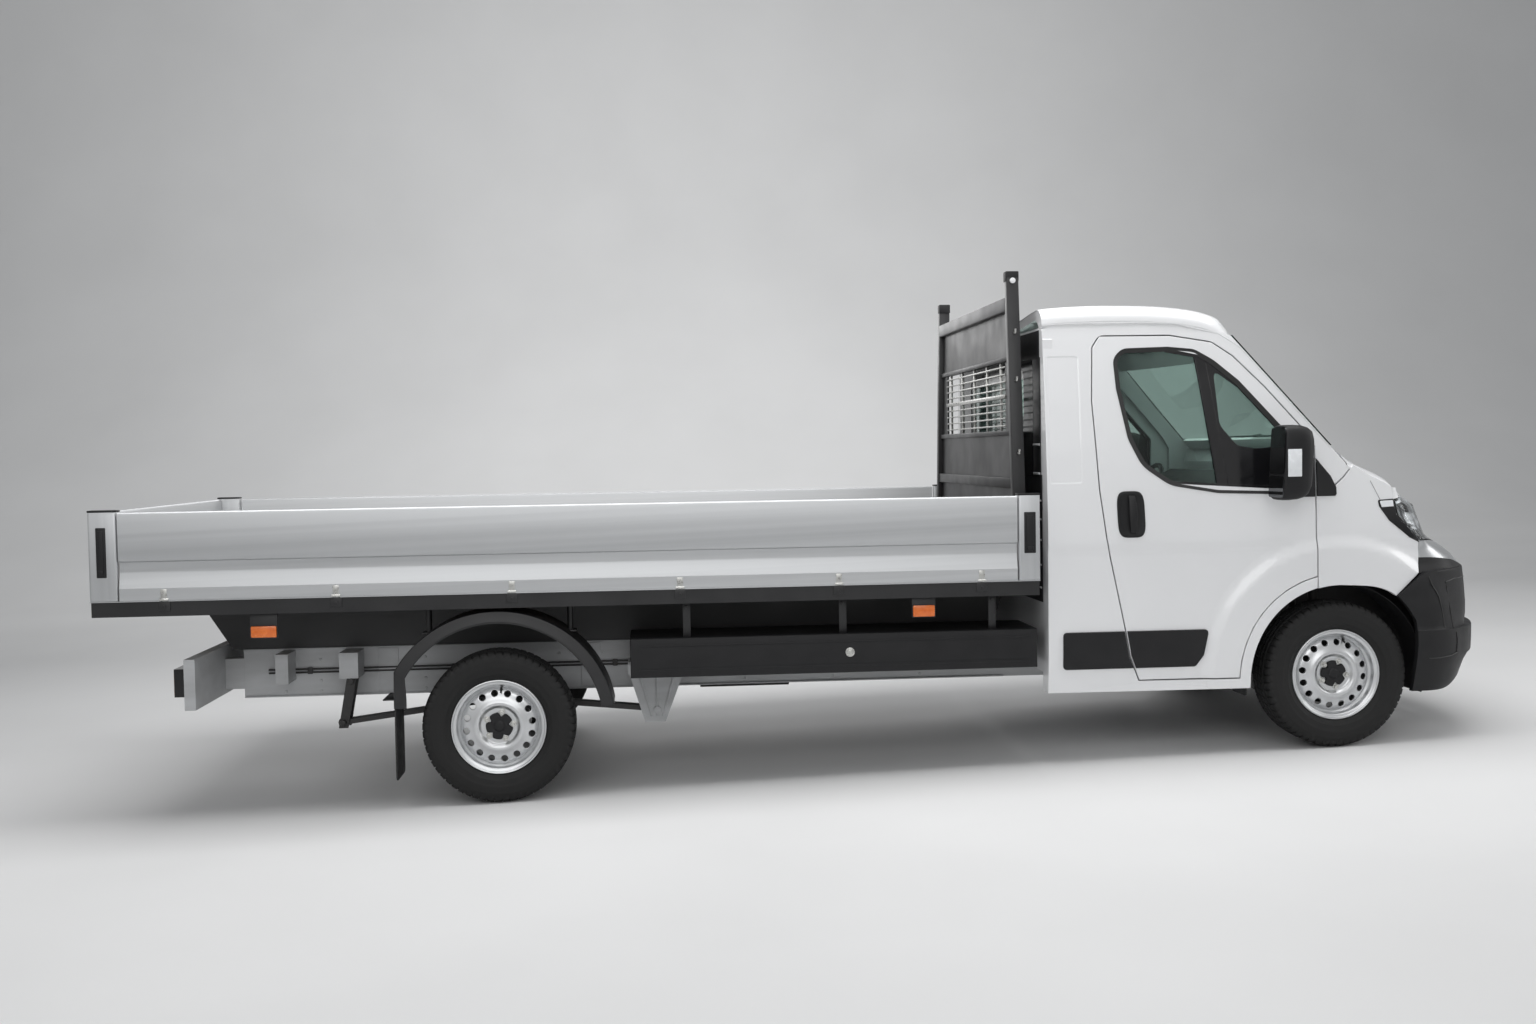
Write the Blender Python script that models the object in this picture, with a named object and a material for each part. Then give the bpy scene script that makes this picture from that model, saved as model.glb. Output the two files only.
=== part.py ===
"""Flatbed truck: a van-based chassis cab with a drop-side bed.

Frame: metres, +X forwards, +Y to the truck's left, +Z up, origin on the ground
under the middle of the truck. The sprung structure (cab, frame and bed) is
drawn level, with its zero on the front hub line, and then pitched nose-down by
the stance of the empty truck. The wheels stay upright on the ground.
"""

import bpy
import bmesh
from math import acos, cos, degrees, hypot, pi, radians, sin, sqrt
from mathutils import Matrix, Vector
from mathutils.geometry import delaunay_2d_cdt

# Fits
FIT = 0.0003                # seat clearance between touching pieces
SHUT_GAP = 0.006            # gap around doors, bonnet and boards
SPIN_GAP = 0.001            # hub spigot in its wheel

# Widths
CAB_WIDTH = 2.050
BED_WIDTH = 2.100

# Wheels and axles
WHEELBASE = 4.035
TYRE_RADIUS = 0.356         # under load
TYRE_WIDTH = 0.214
RIM_RADIUS = 0.2205         # over the flanges of a 16-inch rim
RIM_WIDTH = 0.170
RIM_WALL = 0.008
DISC_FACE = 0.052           # wheel nut face, outboard of the wheel's centre plane
DISC_CROWN = 0.070
BORE_RADIUS = 0.030
WHEEL_HOLES = 16
WHEEL_HOLE_RADIUS = 0.0130
WHEEL_HOLE_CIRCLE = 0.1440
FRONT_TRACK = CAB_WIDTH - 0.236
REAR_TRACK = 1.790
BALL_JOINT = (FRONT_TRACK / 2 - 0.087, -0.130)  # lower end of the steering axis: across, height
STRUT_TOP = (FRONT_TRACK / 2 - 0.207, 0.600)    # upper end of the steering axis: across, height
WHEEL_SEGMENTS = 24

# Stance of the sprung structure
RAKE = radians(1.9)         # nose-down pitch of the unladen truck
HUB_HEIGHT = TYRE_RADIUS
REAR_HUB = (-WHEELBASE * cos(RAKE), -WHEELBASE * sin(RAKE))     # in the level frame

# Cab, heights from the front hub line
CAB_REAR = -1.430
CAB_SILL = -0.050
CAB_FLOOR = 0.080
CAB_WALL = 0.045
CAB_WIDEST = 0.500
TUMBLEHOME = 0.064
TURN_UNDER = 0.300
TURN_START = 0.200
ROOF_EDGE = 0.090           # radius of the roof's shoulders
ROOF_LIP = 0.0015           # the roof's edge laps over the body side
NOSE_BOW = 0.2101           # how far windscreen and bonnet sweep back at the cab's sides
ARCH_RADIUS = 0.440
DOOR_ARCH = 0.500
PILLAR_STEP = 0.003
DOOR_THICK = 0.085
DOOR_FRAME_THICK = 0.045
DOOR_TAPER = 0.016
GLASS = 0.006
DOOR_FRONT = -0.115
MIRROR_TOP = 1.100
DOOR_SILL = 0.004
SEAL_LAP = 0.016            # how far the body's flange laps behind a door
BELT = 0.890
SIDE_LINES = (
    DOOR_SILL, DOOR_SILL + SEAL_LAP, 0.120, TURN_START, CAB_WIDEST, 0.603, 0.635, 0.665,
    BELT - 0.10, BELT, MIRROR_TOP, 1.350, 1.550,
)
FLARE = 0.014               # how far the front wheel's arch stands out
FLARE_RUN = (0.620, 0.650, 0.685)   # where the flare runs out, as radii from the hub
SWAGE = 0.009               # step inwards below the handle
SWAGE_FADE = (0.620, 0.740)     # where the swage fades into the flare
DOOR_HINGE = 0.018          # hinge axis outside the cab's widest line
BONNET_REAR = 0.270
BONNET_HALF = CAB_WIDTH / 2 - 0.185
GLASS_RUN = 0.009           # glass thickness measured along the truck
PILLAR_SEAT = 0.0012
SCUTTLE = 1.000
GLASS_TOP = 1.655
GLASS_BOTTOM = 1.115
GLASS_COLUMNS = [CAB_WIDTH / 2 * share for share in (-0.87, -0.70, -0.48, -0.24, 0.0,
                                                     0.24, 0.48, 0.70, 0.87)]
BONNET_THICK = 0.030
WING_SKIN = 0.014
WING_BOW = 0.300            # plan curvature of the front wings

# Bed, heights from the front hub line
BED_REAR = -5.830
BED_FRONT = -1.475
DECK_TOP = 0.500
DECK_THICK = 0.030
EDGE_BOTTOM = 0.428
BEARERS = 8
BOARD_HEIGHT = 0.400
BOARD_THICK = 0.025
REAR_POST = 0.125
FRONT_POST = 0.105
POST_DEPTH = 0.060
STRIP = 0.030               # flat strips along the deck's ends
HINGE_OUT = 0.003           # board hinge axis, outside the board's face
HINGE_UP = 0.002
HEADBOARD_TOP = 1.975
HEADBOARD_LEAN = 0.140      # how far each post comes in at the top
HEADBOARD_BACK = 0.100      # behind the bed's front end
HEADBOARD_DEPTH = 0.060

# Chassis, heights from the front hub line
ENGINE_HALF = FRONT_TRACK / 2 - 0.487
RAIL_Y = 0.420
RAIL_WIDTH = 0.070
RAIL_TOP = 0.195
RAIL_BOTTOM = -0.045
RAIL_REAR = -5.320
RAIL_FRONT = -0.9403
CROSSMEMBERS = (-5.24, -4.60, -3.45, -2.45, -1.56)
OUTRIGGER = 0.620           # how far the spring brackets reach across

# Side pieces under the bed, heights from the front hub line
LOCKER_REAR = -3.417
LOCKER_FRONT = -1.480
LOCKER_BOTTOM = 0.077
LOCKER_TOP = 0.263
LOCKER_OUT = BED_WIDTH / 2 - 0.050
LOCKER_INNER = RAIL_Y + RAIL_WIDTH / 2 + 0.170
LOCKER_WALL = 0.012
MUDGUARD_RADIUS = 0.545
MUDGUARD_WALL = 0.012
MUDGUARD_OUT = BED_WIDTH / 2 - 0.040
MUDGUARD_IN = REAR_TRACK / 2 - 0.135
BEAM_BACK = -5.460          # rear face of the lamp beam
BEAM_HALF = BED_WIDTH / 2 - 0.100
SPRING_FRONT_EYE = (-3.294, -0.138)
SPRING_REAR_EYE = (-4.818, -0.158)
SPRING_Y = 0.560
SPRING_HALF = 0.033
SHACKLE_TOP = 0.060

# Centre-line profile of the top surface: distance forward, height
CROWN = [
    (-1.430, 1.745), (-1.300, 1.787), (-0.950, 1.806), (-0.600, 1.792),
    (-0.400, 1.745), (-0.340, 1.680), (-0.080, 1.385), (0.175, 1.115),
    (0.265, 1.050), (0.400, 0.985), (0.480, 0.935), (0.550, 0.880),
    (0.625, 0.810), (0.670, 0.730), (0.690, 0.655), (0.930, 0.513),
]

# How far the nose leans back from the bumper's plan line: height, setback
NOSE_LEAN = [(0.505, 0.030), (0.655, 0.270), (0.810, 0.320), (0.880, 0.410)]

# Headlamp: distance in from the cab's side, lower edge, upper edge
LAMP_COLUMNS = [
    (0.405, 0.588, 0.598), (0.325, 0.615, 0.736), (0.255, 0.635, 0.812),
    (0.185, 0.665, 0.866), (0.115, 0.715, 0.872), (0.062, 0.780, 0.850),
]

# Bonnet front edge: distance in from the cab's side, distance forward
BONNET_EDGE = [(0.185, 0.335), (0.265, 0.455), (0.345, 0.560), (0.425, 0.640),
               (CAB_WIDTH / 2, 0.712)]

# Plan of the nose: half width, where its ends stand, its depth and how square it is
NOSE_HALF = CAB_WIDTH / 2 + 0.005
NOSE_SIDE = 0.440
NOSE_DEPTH = 0.520
NOSE_POWER = 2.3

# Bumper section: height, how far it stands forward of the nose line
BUMPER_SECTION = [
    (-0.125, -0.110), (-0.070, -0.020), (0.080, 0.030), (0.205, 0.030),
    (0.225, -0.015), (0.330, -0.015), (0.500, -0.040),
]

# Top edge of the bumper's ends: distance forward, height
BUMPER_SHOULDER = [(0.300, 0.355), (0.440, 0.462), (0.600, 0.500)]

# Rear window: low and high across, low and high up, corner radius
REAR_WINDOW = (-0.620, 0.620, 1.020, 1.480, 0.090)

# Rear face of the bulkhead: height, distance forward
BULKHEAD = [(0.560, -0.060), (SCUTTLE, -0.036)]

# Seats: low side, high side
DRIVER_SEAT = (0.140, CAB_WIDTH / 2 - 0.345)
PASSENGER_BENCH = (0.125 - CAB_WIDTH / 2, -0.020)

# Extruded board section, outer face towards +: height share, stand-out
BOARD_SECTION = [
    (0.000, 1.00), (0.140, 1.00), (0.152, 0.95), (0.305, 0.46), (0.330, 0.40),
    (0.425, 0.40), (0.440, 0.60), (0.447, 0.94), (0.465, 1.00), (0.970, 1.00),
    (1.000, 0.60), (1.000, 0.20), (0.970, 0.00), (0.000, 0.00),
]


def arc(centre, radius, start, end, count):
    """Points on a circle, angles in degrees."""
    return [(centre[0] + radius * cos(radians(start + (end - start) * i / count)),
             centre[1] + radius * sin(radians(start + (end - start) * i / count)))
            for i in range(count + 1)]


# Door outline seen from the side: distance forward, height
DOOR_OUTLINE = [
    (-0.985, DOOR_SILL), (-1.030, 0.120), (-1.051, 0.243), (-1.141, 0.680),
    (-1.173, 0.919), (-1.199, 1.347), (-1.186, 1.600), (-1.150, 1.652),
    (-0.805, 1.652), (-0.600, 1.618), (-0.500, 1.550), (-0.350, 1.400),
    (-0.160, 1.185), (DOOR_FRONT, 1.110),
] + arc((0.0, 0.0), DOOR_ARCH, degrees(acos(DOOR_FRONT / DOOR_ARCH)), 179.5, 8)

# Side window outline seen from the side: distance forward, height
WINDOW_OUTLINE = [
    (-0.850, 0.945), (-0.960, 1.010), (-1.030, 1.120), (-1.075, 1.400),
    (-1.085, 1.545), (-1.040, 1.585), (-0.805, 1.588), (-0.630, 1.552),
    (-0.480, 1.430), (-0.240, 1.165), (-0.235, 0.905),
]

ARCH_STEPS = 9


def clear_scene():
    for old in list(bpy.data.objects):
        bpy.data.objects.remove(old, do_unlink=True)


def make_material(name, colour, roughness, metallic=0.0, alpha=1.0):
    material = bpy.data.materials.new(name)
    material.use_nodes = True
    shader = material.node_tree.nodes["Principled BSDF"]
    shader.inputs["Base Color"].default_value = (*colour, 1.0)
    shader.inputs["Roughness"].default_value = roughness
    shader.inputs["Metallic"].default_value = metallic
    shader.inputs["Alpha"].default_value = alpha
    return material


def make_empty(name, parent=None, location=(0, 0, 0), pitch=0.0):
    empty = bpy.data.objects.new(name, None)
    bpy.context.collection.objects.link(empty)
    empty.parent = parent
    empty.location = location
    empty.rotation_euler = (0.0, pitch, 0.0)
    return empty


def steering_axis(height):
    """Distance across to the steering axis at a height."""
    share = (height - BALL_JOINT[1]) / (STRUT_TOP[1] - BALL_JOINT[1])
    return BALL_JOINT[0] + (STRUT_TOP[0] - BALL_JOINT[0]) * share


def place(name, shape, material, parent, origin=(0, 0, 0)):
    """Turn a bmesh drawn in its parent's frame into an object with its own origin."""
    bmesh.ops.translate(shape, verts=shape.verts, vec=-Vector(origin))
    bmesh.ops.dissolve_limit(shape, angle_limit=radians(0.2), verts=shape.verts,
                             edges=shape.edges)
    bmesh.ops.triangulate(shape, faces=shape.faces)
    bmesh.ops.recalc_face_normals(shape, faces=shape.faces)
    mesh = bpy.data.meshes.new(name)
    shape.to_mesh(mesh)
    shape.free()
    mesh.shade_smooth()
    mesh.set_sharp_from_angle(angle=radians(32))
    mesh.materials.append(material)
    part = bpy.data.objects.new(name, mesh)
    bpy.context.collection.objects.link(part)
    part.parent = parent
    part.location = origin
    return part


def temporary(shape):
    bmesh.ops.recalc_face_normals(shape, faces=shape.faces)
    mesh = bpy.data.meshes.new("tool")
    shape.to_mesh(mesh)
    shape.free()
    tool = bpy.data.objects.new("tool", mesh)
    bpy.context.collection.objects.link(tool)
    return tool


def boolean(base, tools, operation):
    """Union, difference or intersection of bmeshes, as one new bmesh."""
    body = temporary(base)
    helpers = [temporary(tool) for tool in tools]
    for helper in helpers:
        cut = body.modifiers.new("cut", "BOOLEAN")
        cut.operation = operation
        cut.solver = "EXACT"
        cut.object = helper
    graph = bpy.context.evaluated_depsgraph_get()
    result = bmesh.new()
    result.from_mesh(body.evaluated_get(graph).to_mesh())
    body.evaluated_get(graph).to_mesh_clear()
    for helper in helpers + [body]:
        bpy.data.objects.remove(helper, do_unlink=True)
    bmesh.ops.remove_doubles(result, verts=result.verts, dist=0.00002)
    bmesh.ops.dissolve_degenerate(result, dist=0.00002, edges=result.edges)
    return result


def union(solids):
    return boolean(solids[0], solids[1:], "UNION")


def axis_point(axis, a, b, depth):
    """Outline axes: x gives (y, z), y gives (x, z), z gives (x, y)."""
    return {"x": (depth, a, b), "y": (a, depth, b), "z": (a, b, depth)}[axis]


def prism(outline, axis, low, high):
    """Extrude an outline along one axis from low to high."""
    shape = bmesh.new()
    corners = [shape.verts.new(axis_point(axis, a, b, low)) for a, b in outline]
    face = shape.faces.new(corners)
    grown = bmesh.ops.extrude_face_region(shape, geom=[face])["geom"]
    moved = [item for item in grown if isinstance(item, bmesh.types.BMVert)]
    bmesh.ops.translate(shape, verts=moved, vec=axis_point(axis, 0, 0, high - low))
    bmesh.ops.recalc_face_normals(shape, faces=shape.faces)
    return shape


def box(x_low, x_high, y_low, y_high, z_low, z_high):
    outline = [(x_low, y_low), (x_high, y_low), (x_high, y_high), (x_low, y_high)]
    return prism(outline, "z", z_low, z_high)


def rod(start, end, radius, segments=12):
    """A round bar between two points."""
    start = Vector(start)
    run = Vector(end) - start
    shape = bmesh.new()
    bmesh.ops.create_cone(shape, cap_ends=True, segments=segments, radius1=radius,
                          radius2=radius, depth=run.length)
    turn = run.to_track_quat("Z", "Y").to_matrix().to_4x4()
    bmesh.ops.transform(shape, matrix=Matrix.Translation(start + run / 2) @ turn,
                        verts=shape.verts)
    return shape


def turned(profile, segments):
    """Turn a closed profile of (distance along Y, radius) about the Y axis."""
    shape = bmesh.new()
    rings = []
    for i in range(segments):
        angle = 2 * pi * i / segments
        rings.append([shape.verts.new((radius * sin(angle), along, -radius * cos(angle)))
                      for along, radius in profile])
    for i in range(segments):
        for j in range(len(profile)):
            shape.faces.new((rings[i][j], rings[i - 1][j], rings[i - 1][j - 1], rings[i][j - 1]))
    bmesh.ops.recalc_face_normals(shape, faces=shape.faces)
    return shape


def mirrored(shape, side):
    """Shapes are drawn on the truck's left and flipped over for its right."""
    if side < 0:
        bmesh.ops.scale(shape, vec=(1, -1, 1), verts=shape.verts)
        bmesh.ops.reverse_faces(shape, faces=shape.faces)
    return shape


def grid_solid(outer, inner):
    """Close two equal grids of points into a solid skin."""
    shape = bmesh.new()
    sheets = []
    for rows in (outer, inner):
        sheets.append([[shape.verts.new(point) for point in row] for row in rows])
    rows = len(outer)
    columns = len(outer[0])
    for sheet in sheets:
        for i in range(rows - 1):
            for j in range(columns - 1):
                shape.faces.new((sheet[i][j], sheet[i + 1][j],
                                 sheet[i + 1][j + 1], sheet[i][j + 1]))
    rim = [(i, 0) for i in range(rows)]
    rim += [(rows - 1, j) for j in range(1, columns)]
    rim += [(i, columns - 1) for i in range(rows - 2, -1, -1)]
    rim += [(0, j) for j in range(columns - 2, 0, -1)]
    for (i, j), (k, l) in zip(rim, rim[1:] + rim[:1]):
        shape.faces.new((sheets[0][i][j], sheets[0][k][l],
                         sheets[1][k][l], sheets[1][i][j]))
    bmesh.ops.recalc_face_normals(shape, faces=shape.faces)
    return shape


def contains(outline, point):
    """Whether a point lies inside a closed outline."""
    odd = False
    for i, (a, b) in enumerate(outline):
        c, d = outline[i - 1]
        if (b > point.y) != (d > point.y) and point.x < (c - a) * (point.y - b) / (d - b) + a:
            odd = not odd
    return odd


def pressed(outline, holes, form, guides=()):
    """Press a flat outline with holes onto a form's outer and inner faces."""
    points = []
    edges = []
    for number, loop in enumerate([outline] + list(holes) + list(guides)):
        first = len(points)
        points += [Vector(point) for point in loop]
        edges += [(first + i, first + i + 1) for i in range(len(loop) - 1)]
        if number <= len(holes):
            edges.append((first + len(loop) - 1, first))
    corners, _, faces, _, _, _ = delaunay_2d_cdt(points, edges, [], 0, 0.0004)
    kept = []
    for face in faces:
        middle = sum((corners[i] for i in face), Vector((0, 0))) / len(face)
        if contains(outline, middle) and not any(contains(hole, middle) for hole in holes):
            kept.append(list(face))
    shape = bmesh.new()
    outer = [shape.verts.new(form(corner.x, corner.y, True)) for corner in corners]
    inner = [shape.verts.new(form(corner.x, corner.y, False)) for corner in corners]
    sides = {}
    for face in kept:
        shape.faces.new([outer[i] for i in face])
        shape.faces.new([inner[i] for i in reversed(face)])
        for i, j in zip(face, face[1:] + face[:1]):
            if sides.pop((j, i), None) is None:
                sides[(i, j)] = True
    for i, j in sides:
        shape.faces.new((outer[j], outer[i], inner[i], inner[j]))
    loose = [vert for vert in shape.verts if not vert.link_faces]
    bmesh.ops.delete(shape, geom=loose, context="VERTS")
    return shape


def side_guides(low=CAB_REAR, high=0.450):
    """Lines that the side form bends along: level ones and the flare's arcs."""
    level = [[(low - 0.1, z), (high + 0.1, z)] for z in SIDE_LINES]
    return level + [arc((0.0, 0.0), radius, 0, 180, 20) for radius in FLARE_RUN]


def blend(profile, value):
    """Height of a profile of (distance, height) pairs, with straight stretches."""
    if value <= profile[0][0]:
        return profile[0][1]
    for (a, low), (b, high) in zip(profile, profile[1:]):
        if value <= b:
            return low + (high - low) * (value - a) / (b - a)
    return profile[-1][1]


def half_width(height):
    """Half width of the cab's side at a height."""
    above = max(0.0, height - CAB_WIDEST)
    below = max(0.0, TURN_START - height)
    return CAB_WIDTH / 2 - TUMBLEHOME * above ** 2 - TURN_UNDER * below ** 2


def ease(low, high, value):
    share = min(1.0, max(0.0, (value - low) / (high - low)))
    return share * share * (3.0 - 2.0 * share)


def flare(forward, height):
    return FLARE * (1.0 - ease(FLARE_RUN[0], FLARE_RUN[2], hypot(forward, height)))


def cab_side(forward, height):
    """Half width of the pressed side, with the arch's flare and the swage."""
    bow = WING_BOW * max(0.0, forward - 0.05) ** 2
    step = SWAGE * (1.0 - ease(SIDE_LINES[5], SIDE_LINES[7], height))
    step *= ease(*SWAGE_FADE, hypot(forward, height))
    return half_width(height) - bow + flare(forward, height) - step


def bow(across):
    """How far windscreen, roof and bonnet sweep back at a distance from the centre line."""
    return NOSE_BOW * (across / (CAB_WIDTH / 2)) ** 2


def roof_half():
    return half_width(CROWN[0][1] - ROOF_EDGE)


def crown(forward, across):
    """Height of the top surface: roof, windscreen and bonnet."""
    height = blend(CROWN, forward + bow(across))
    overhang = abs(across) - (roof_half() - ROOF_EDGE)
    if overhang <= 0.0:
        return height
    reach = min(overhang, ROOF_EDGE)
    return height - (ROOF_EDGE - sqrt(max(0.0, ROOF_EDGE ** 2 - reach ** 2))) * 0.9


def door_depth(height):
    """A door is deep below its window and slim around the glass."""
    blend_in = min(1.0, max(0.0, (height - BELT + 0.10) / 0.10))
    return DOOR_THICK + (DOOR_FRAME_THICK - DOOR_THICK) * blend_in


def offset_outline(outline, distance):
    """Move every edge of a clockwise or anticlockwise outline outwards."""
    count = len(outline)
    area = sum(outline[i][0] * outline[(i + 1) % count][1]
               - outline[(i + 1) % count][0] * outline[i][1] for i in range(count))
    turn = 1.0 if area > 0 else -1.0
    result = []
    for i in range(count):
        before = Vector(outline[i]) - Vector(outline[i - 1])
        after = Vector(outline[(i + 1) % count]) - Vector(outline[i])
        n1 = Vector((before.y, -before.x)).normalized() * turn
        n2 = Vector((after.y, -after.x)).normalized() * turn
        middle = (n1 + n2).normalized()
        result.append(tuple(Vector(outline[i]) + middle * distance / middle.dot(n1)))
    return result


# Unsprung pieces

def tyre_shape():
    seat = 0.2038
    half = [
        (0.0767, seat), (0.0767, 0.2218), (0.0980, 0.2450), (TYRE_WIDTH / 2, 0.2850),
        (0.0985, 0.3300), (0.0780, TYRE_RADIUS - 0.0050), (0.0600, TYRE_RADIUS),
    ]
    profile = half + [(-along, radius) for along, radius in reversed(half)]
    return turned(profile, WHEEL_SEGMENTS)


def rim_shape():
    edge = RIM_WIDTH / 2
    lip = RIM_RADIUS - RIM_WALL
    profile = [
        (edge, RIM_RADIUS), (0.0770, RIM_RADIUS), (0.0770, 0.2030), (0.030, 0.1860),
        (-0.030, 0.1860), (-0.0770, 0.2030), (-0.0770, RIM_RADIUS), (-edge, RIM_RADIUS),
        (-edge, lip), (-0.036, 0.1780), (0.030, 0.1780), (DISC_CROWN - 0.010, 0.110),
        (DISC_FACE - RIM_WALL, 0.086), (DISC_FACE - RIM_WALL, BORE_RADIUS),
        (DISC_FACE, BORE_RADIUS),
        (DISC_FACE, 0.082), (DISC_CROWN, 0.104), (0.046, 0.1780), (0.0740, 0.1945), (edge, lip),
    ]
    wheel = turned(profile, WHEEL_SEGMENTS)
    drills = bmesh.new()
    for i in range(WHEEL_HOLES):
        angle = 2 * pi * (i + 0.5) / WHEEL_HOLES
        centre = Vector((sin(angle), 0, cos(angle))) * WHEEL_HOLE_CIRCLE
        drill = rod(centre + Vector((0, 0.020, 0)), centre + Vector((0, 0.090, 0)),
                    WHEEL_HOLE_RADIUS, 6)
        mesh = bpy.data.meshes.new("drill")
        drill.to_mesh(mesh)
        drill.free()
        drills.from_mesh(mesh)
        bpy.data.meshes.remove(mesh)
    return boolean(wheel, [drills], "DIFFERENCE")


def add_wheel(label, hub, side, parent, materials):
    """Tyre and rim share one spin axis, the wheel's empty, kept upright."""
    spin = make_empty("wheel_" + label, parent, hub, -RAKE)
    place("tyre_" + label, mirrored(tyre_shape(), side), materials["tyre"], spin)
    place("rim_" + label, mirrored(rim_shape(), side), materials["steel"], spin)


def knuckle():
    """Left steering knuckle with its strut, brake disc, caliper and steering arm."""
    hub = FRONT_TRACK / 2
    face = hub + DISC_FACE - RIM_WALL - FIT
    low_y, low_z = BALL_JOINT
    lean = (low_y - STRUT_TOP[0]) / (STRUT_TOP[1] - low_z)
    pin = low_z + FIT + 0.016 * lean
    tube_high = STRUT_TOP[1] - FIT - 0.024 * lean
    tube_low = 0.050
    spring_low, spring_high = 0.400, 0.560
    shape = union([
        rod((0, steering_axis(0.0) - 0.045, 0), (0, face, 0), 0.068, 14),
        rod((0, hub, 0), (0, face + RIM_WALL + 0.010, 0), BORE_RADIUS - SPIN_GAP, 14),
        rod((0, hub - 0.032, 0), (0, hub - 0.008, 0), 0.140, 14),
        box(-0.040, 0.040, low_y - 0.050, low_y + 0.014, low_z + 0.016, 0.110),
        box(-0.160, 0.000, low_y - 0.045, low_y - 0.010, -0.070, -0.035),
        box(0.070, 0.125, hub - 0.070, hub + 0.015, -0.060, 0.070),
        rod((0, steering_axis(pin), pin), (0, steering_axis(pin + 0.030), pin + 0.030), 0.016, 12),
        rod((0, steering_axis(tube_low), tube_low),
            (0, steering_axis(tube_high), tube_high), 0.024, 12),
        rod((0, steering_axis(spring_low), spring_low),
            (0, steering_axis(spring_high), spring_high), 0.060, 12),
    ])
    return shape


# Chassis

def chassis_frame():
    """Two box rails with crossmembers, outriggers and the spring hangers."""
    under_cab = CAB_FLOOR - 0.040 - FIT
    rail = [(RAIL_REAR, RAIL_BOTTOM), (RAIL_FRONT, RAIL_BOTTOM), (RAIL_FRONT, under_cab),
            (CAB_REAR - 0.020, under_cab), (CAB_REAR - 0.080, RAIL_TOP), (RAIL_REAR, RAIL_TOP)]
    solids = [prism(rail, "y", side * RAIL_Y - RAIL_WIDTH / 2, side * RAIL_Y + RAIL_WIDTH / 2)
              for side in (-1, 1)]
    for forward in CROSSMEMBERS:
        solids.append(box(forward - 0.035, forward + 0.035, -RAIL_Y, RAIL_Y,
                          RAIL_BOTTOM + 0.020, RAIL_TOP - 0.060))
    for side in (-1, 1):
        solids.append(box(-5.130, -5.070, *sorted((side * RAIL_Y, side * OUTRIGGER)),
                          0.040, RAIL_TOP - 0.010))
        rear_x = SPRING_REAR_EYE[0]
        solids.append(box(rear_x - 0.010, rear_x + 0.080, *sorted((side * RAIL_Y, side * OUTRIGGER)),
                          SHACKLE_TOP + FIT, RAIL_TOP - 0.010))
        eye_x, eye_z = SPRING_FRONT_EYE
        hanger = [(eye_x - 0.140, 0.060), (eye_x - 0.060, eye_z - 0.060),
                  (eye_x + 0.040, eye_z - 0.060), (eye_x + 0.140, 0.060)]
        solids.append(prism(hanger, "y", *sorted((side * (SPRING_Y + 0.050),
                                                  side * (SPRING_Y + SPRING_HALF + FIT)))))
        solids.append(prism(hanger, "y", *sorted((side * (SPRING_Y - 0.050),
                                                  side * (SPRING_Y - SPRING_HALF - FIT)))))
        solids.append(box(eye_x - 0.140, eye_x + 0.140,
                          *sorted((side * RAIL_Y, side * (SPRING_Y + 0.050))), 0.040, 0.100))
    return union(solids)


def front_subframe():
    """Crossmember with lower arms, the rails that carry the engine and the inner wings."""
    under_cab = CAB_FLOOR - 0.040 - FIT
    ball_y, ball_z = BALL_JOINT
    inner = ENGINE_HALF + 0.020
    outer = inner + 0.080
    half = outer - 0.020
    solids = [
        box(-0.180, 0.120, -0.420, 0.420, -0.110, -0.050),
        box(-0.940, 0.760, -outer, -inner, -0.060, under_cab),
        box(-0.940, 0.760, inner, outer, -0.060, under_cab),
        box(0.700, 0.760, -half, half, -0.060, 0.030),
        box(-0.180, -0.060, -half, half, -0.110, 0.020),
        box(-0.940, -0.870, -half, half, -0.040, 0.030),
        box(-0.940, -0.880, 0.010 - RAIL_Y, RAIL_Y - 0.010, -0.038, 0.028),
    ]
    for side in (-1, 1):
        arm = [(-0.170, side * 0.400), (0.110, side * 0.400), (0.030, side * ball_y),
               (0.000, side * (ball_y + 0.025)), (-0.030, side * ball_y)]
        solids.append(prism(arm, "z", ball_z - 0.030, ball_z))
        solids.append(box(-0.170, 0.110, *sorted((side * 0.380, side * 0.420)),
                          ball_z - 0.030, -0.060))
        solids.append(box(0.200, 0.300, *sorted((side * (ENGINE_HALF + FIT), side * half)),
                          0.000, 0.200))
    return union(solids + inner_wings())


def inner_wings():
    """Walls beside the engine with the towers that the struts push against."""
    tower_y, tower_z = STRUT_TOP
    wall = tower_y - 0.140
    solids = [box(0.560, 0.600, -wall - 0.015, wall + 0.015, 0.060, 0.110)]
    for side in (-1, 1):
        solids.append(box(-0.0135, 0.600, *sorted((side * wall, side * (wall + 0.015))),
                          0.050, 0.640))
        solids.append(box(0.350, 0.450, *sorted((side * (ENGINE_HALF + 0.080),
                                                 side * (wall + 0.010))),
                          -0.030, 0.090))
        solids.append(box(-0.0130, 0.090, *sorted((side * (wall + 0.005), side * (wall + 0.340))),
                          tower_z, tower_z + 0.020))
        solids.append(box(-0.0125, 0.300, *sorted((side * (wall + 0.310), side * (wall + 0.340))),
                          tower_z - 0.010, tower_z + 0.040))
    return solids


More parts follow.
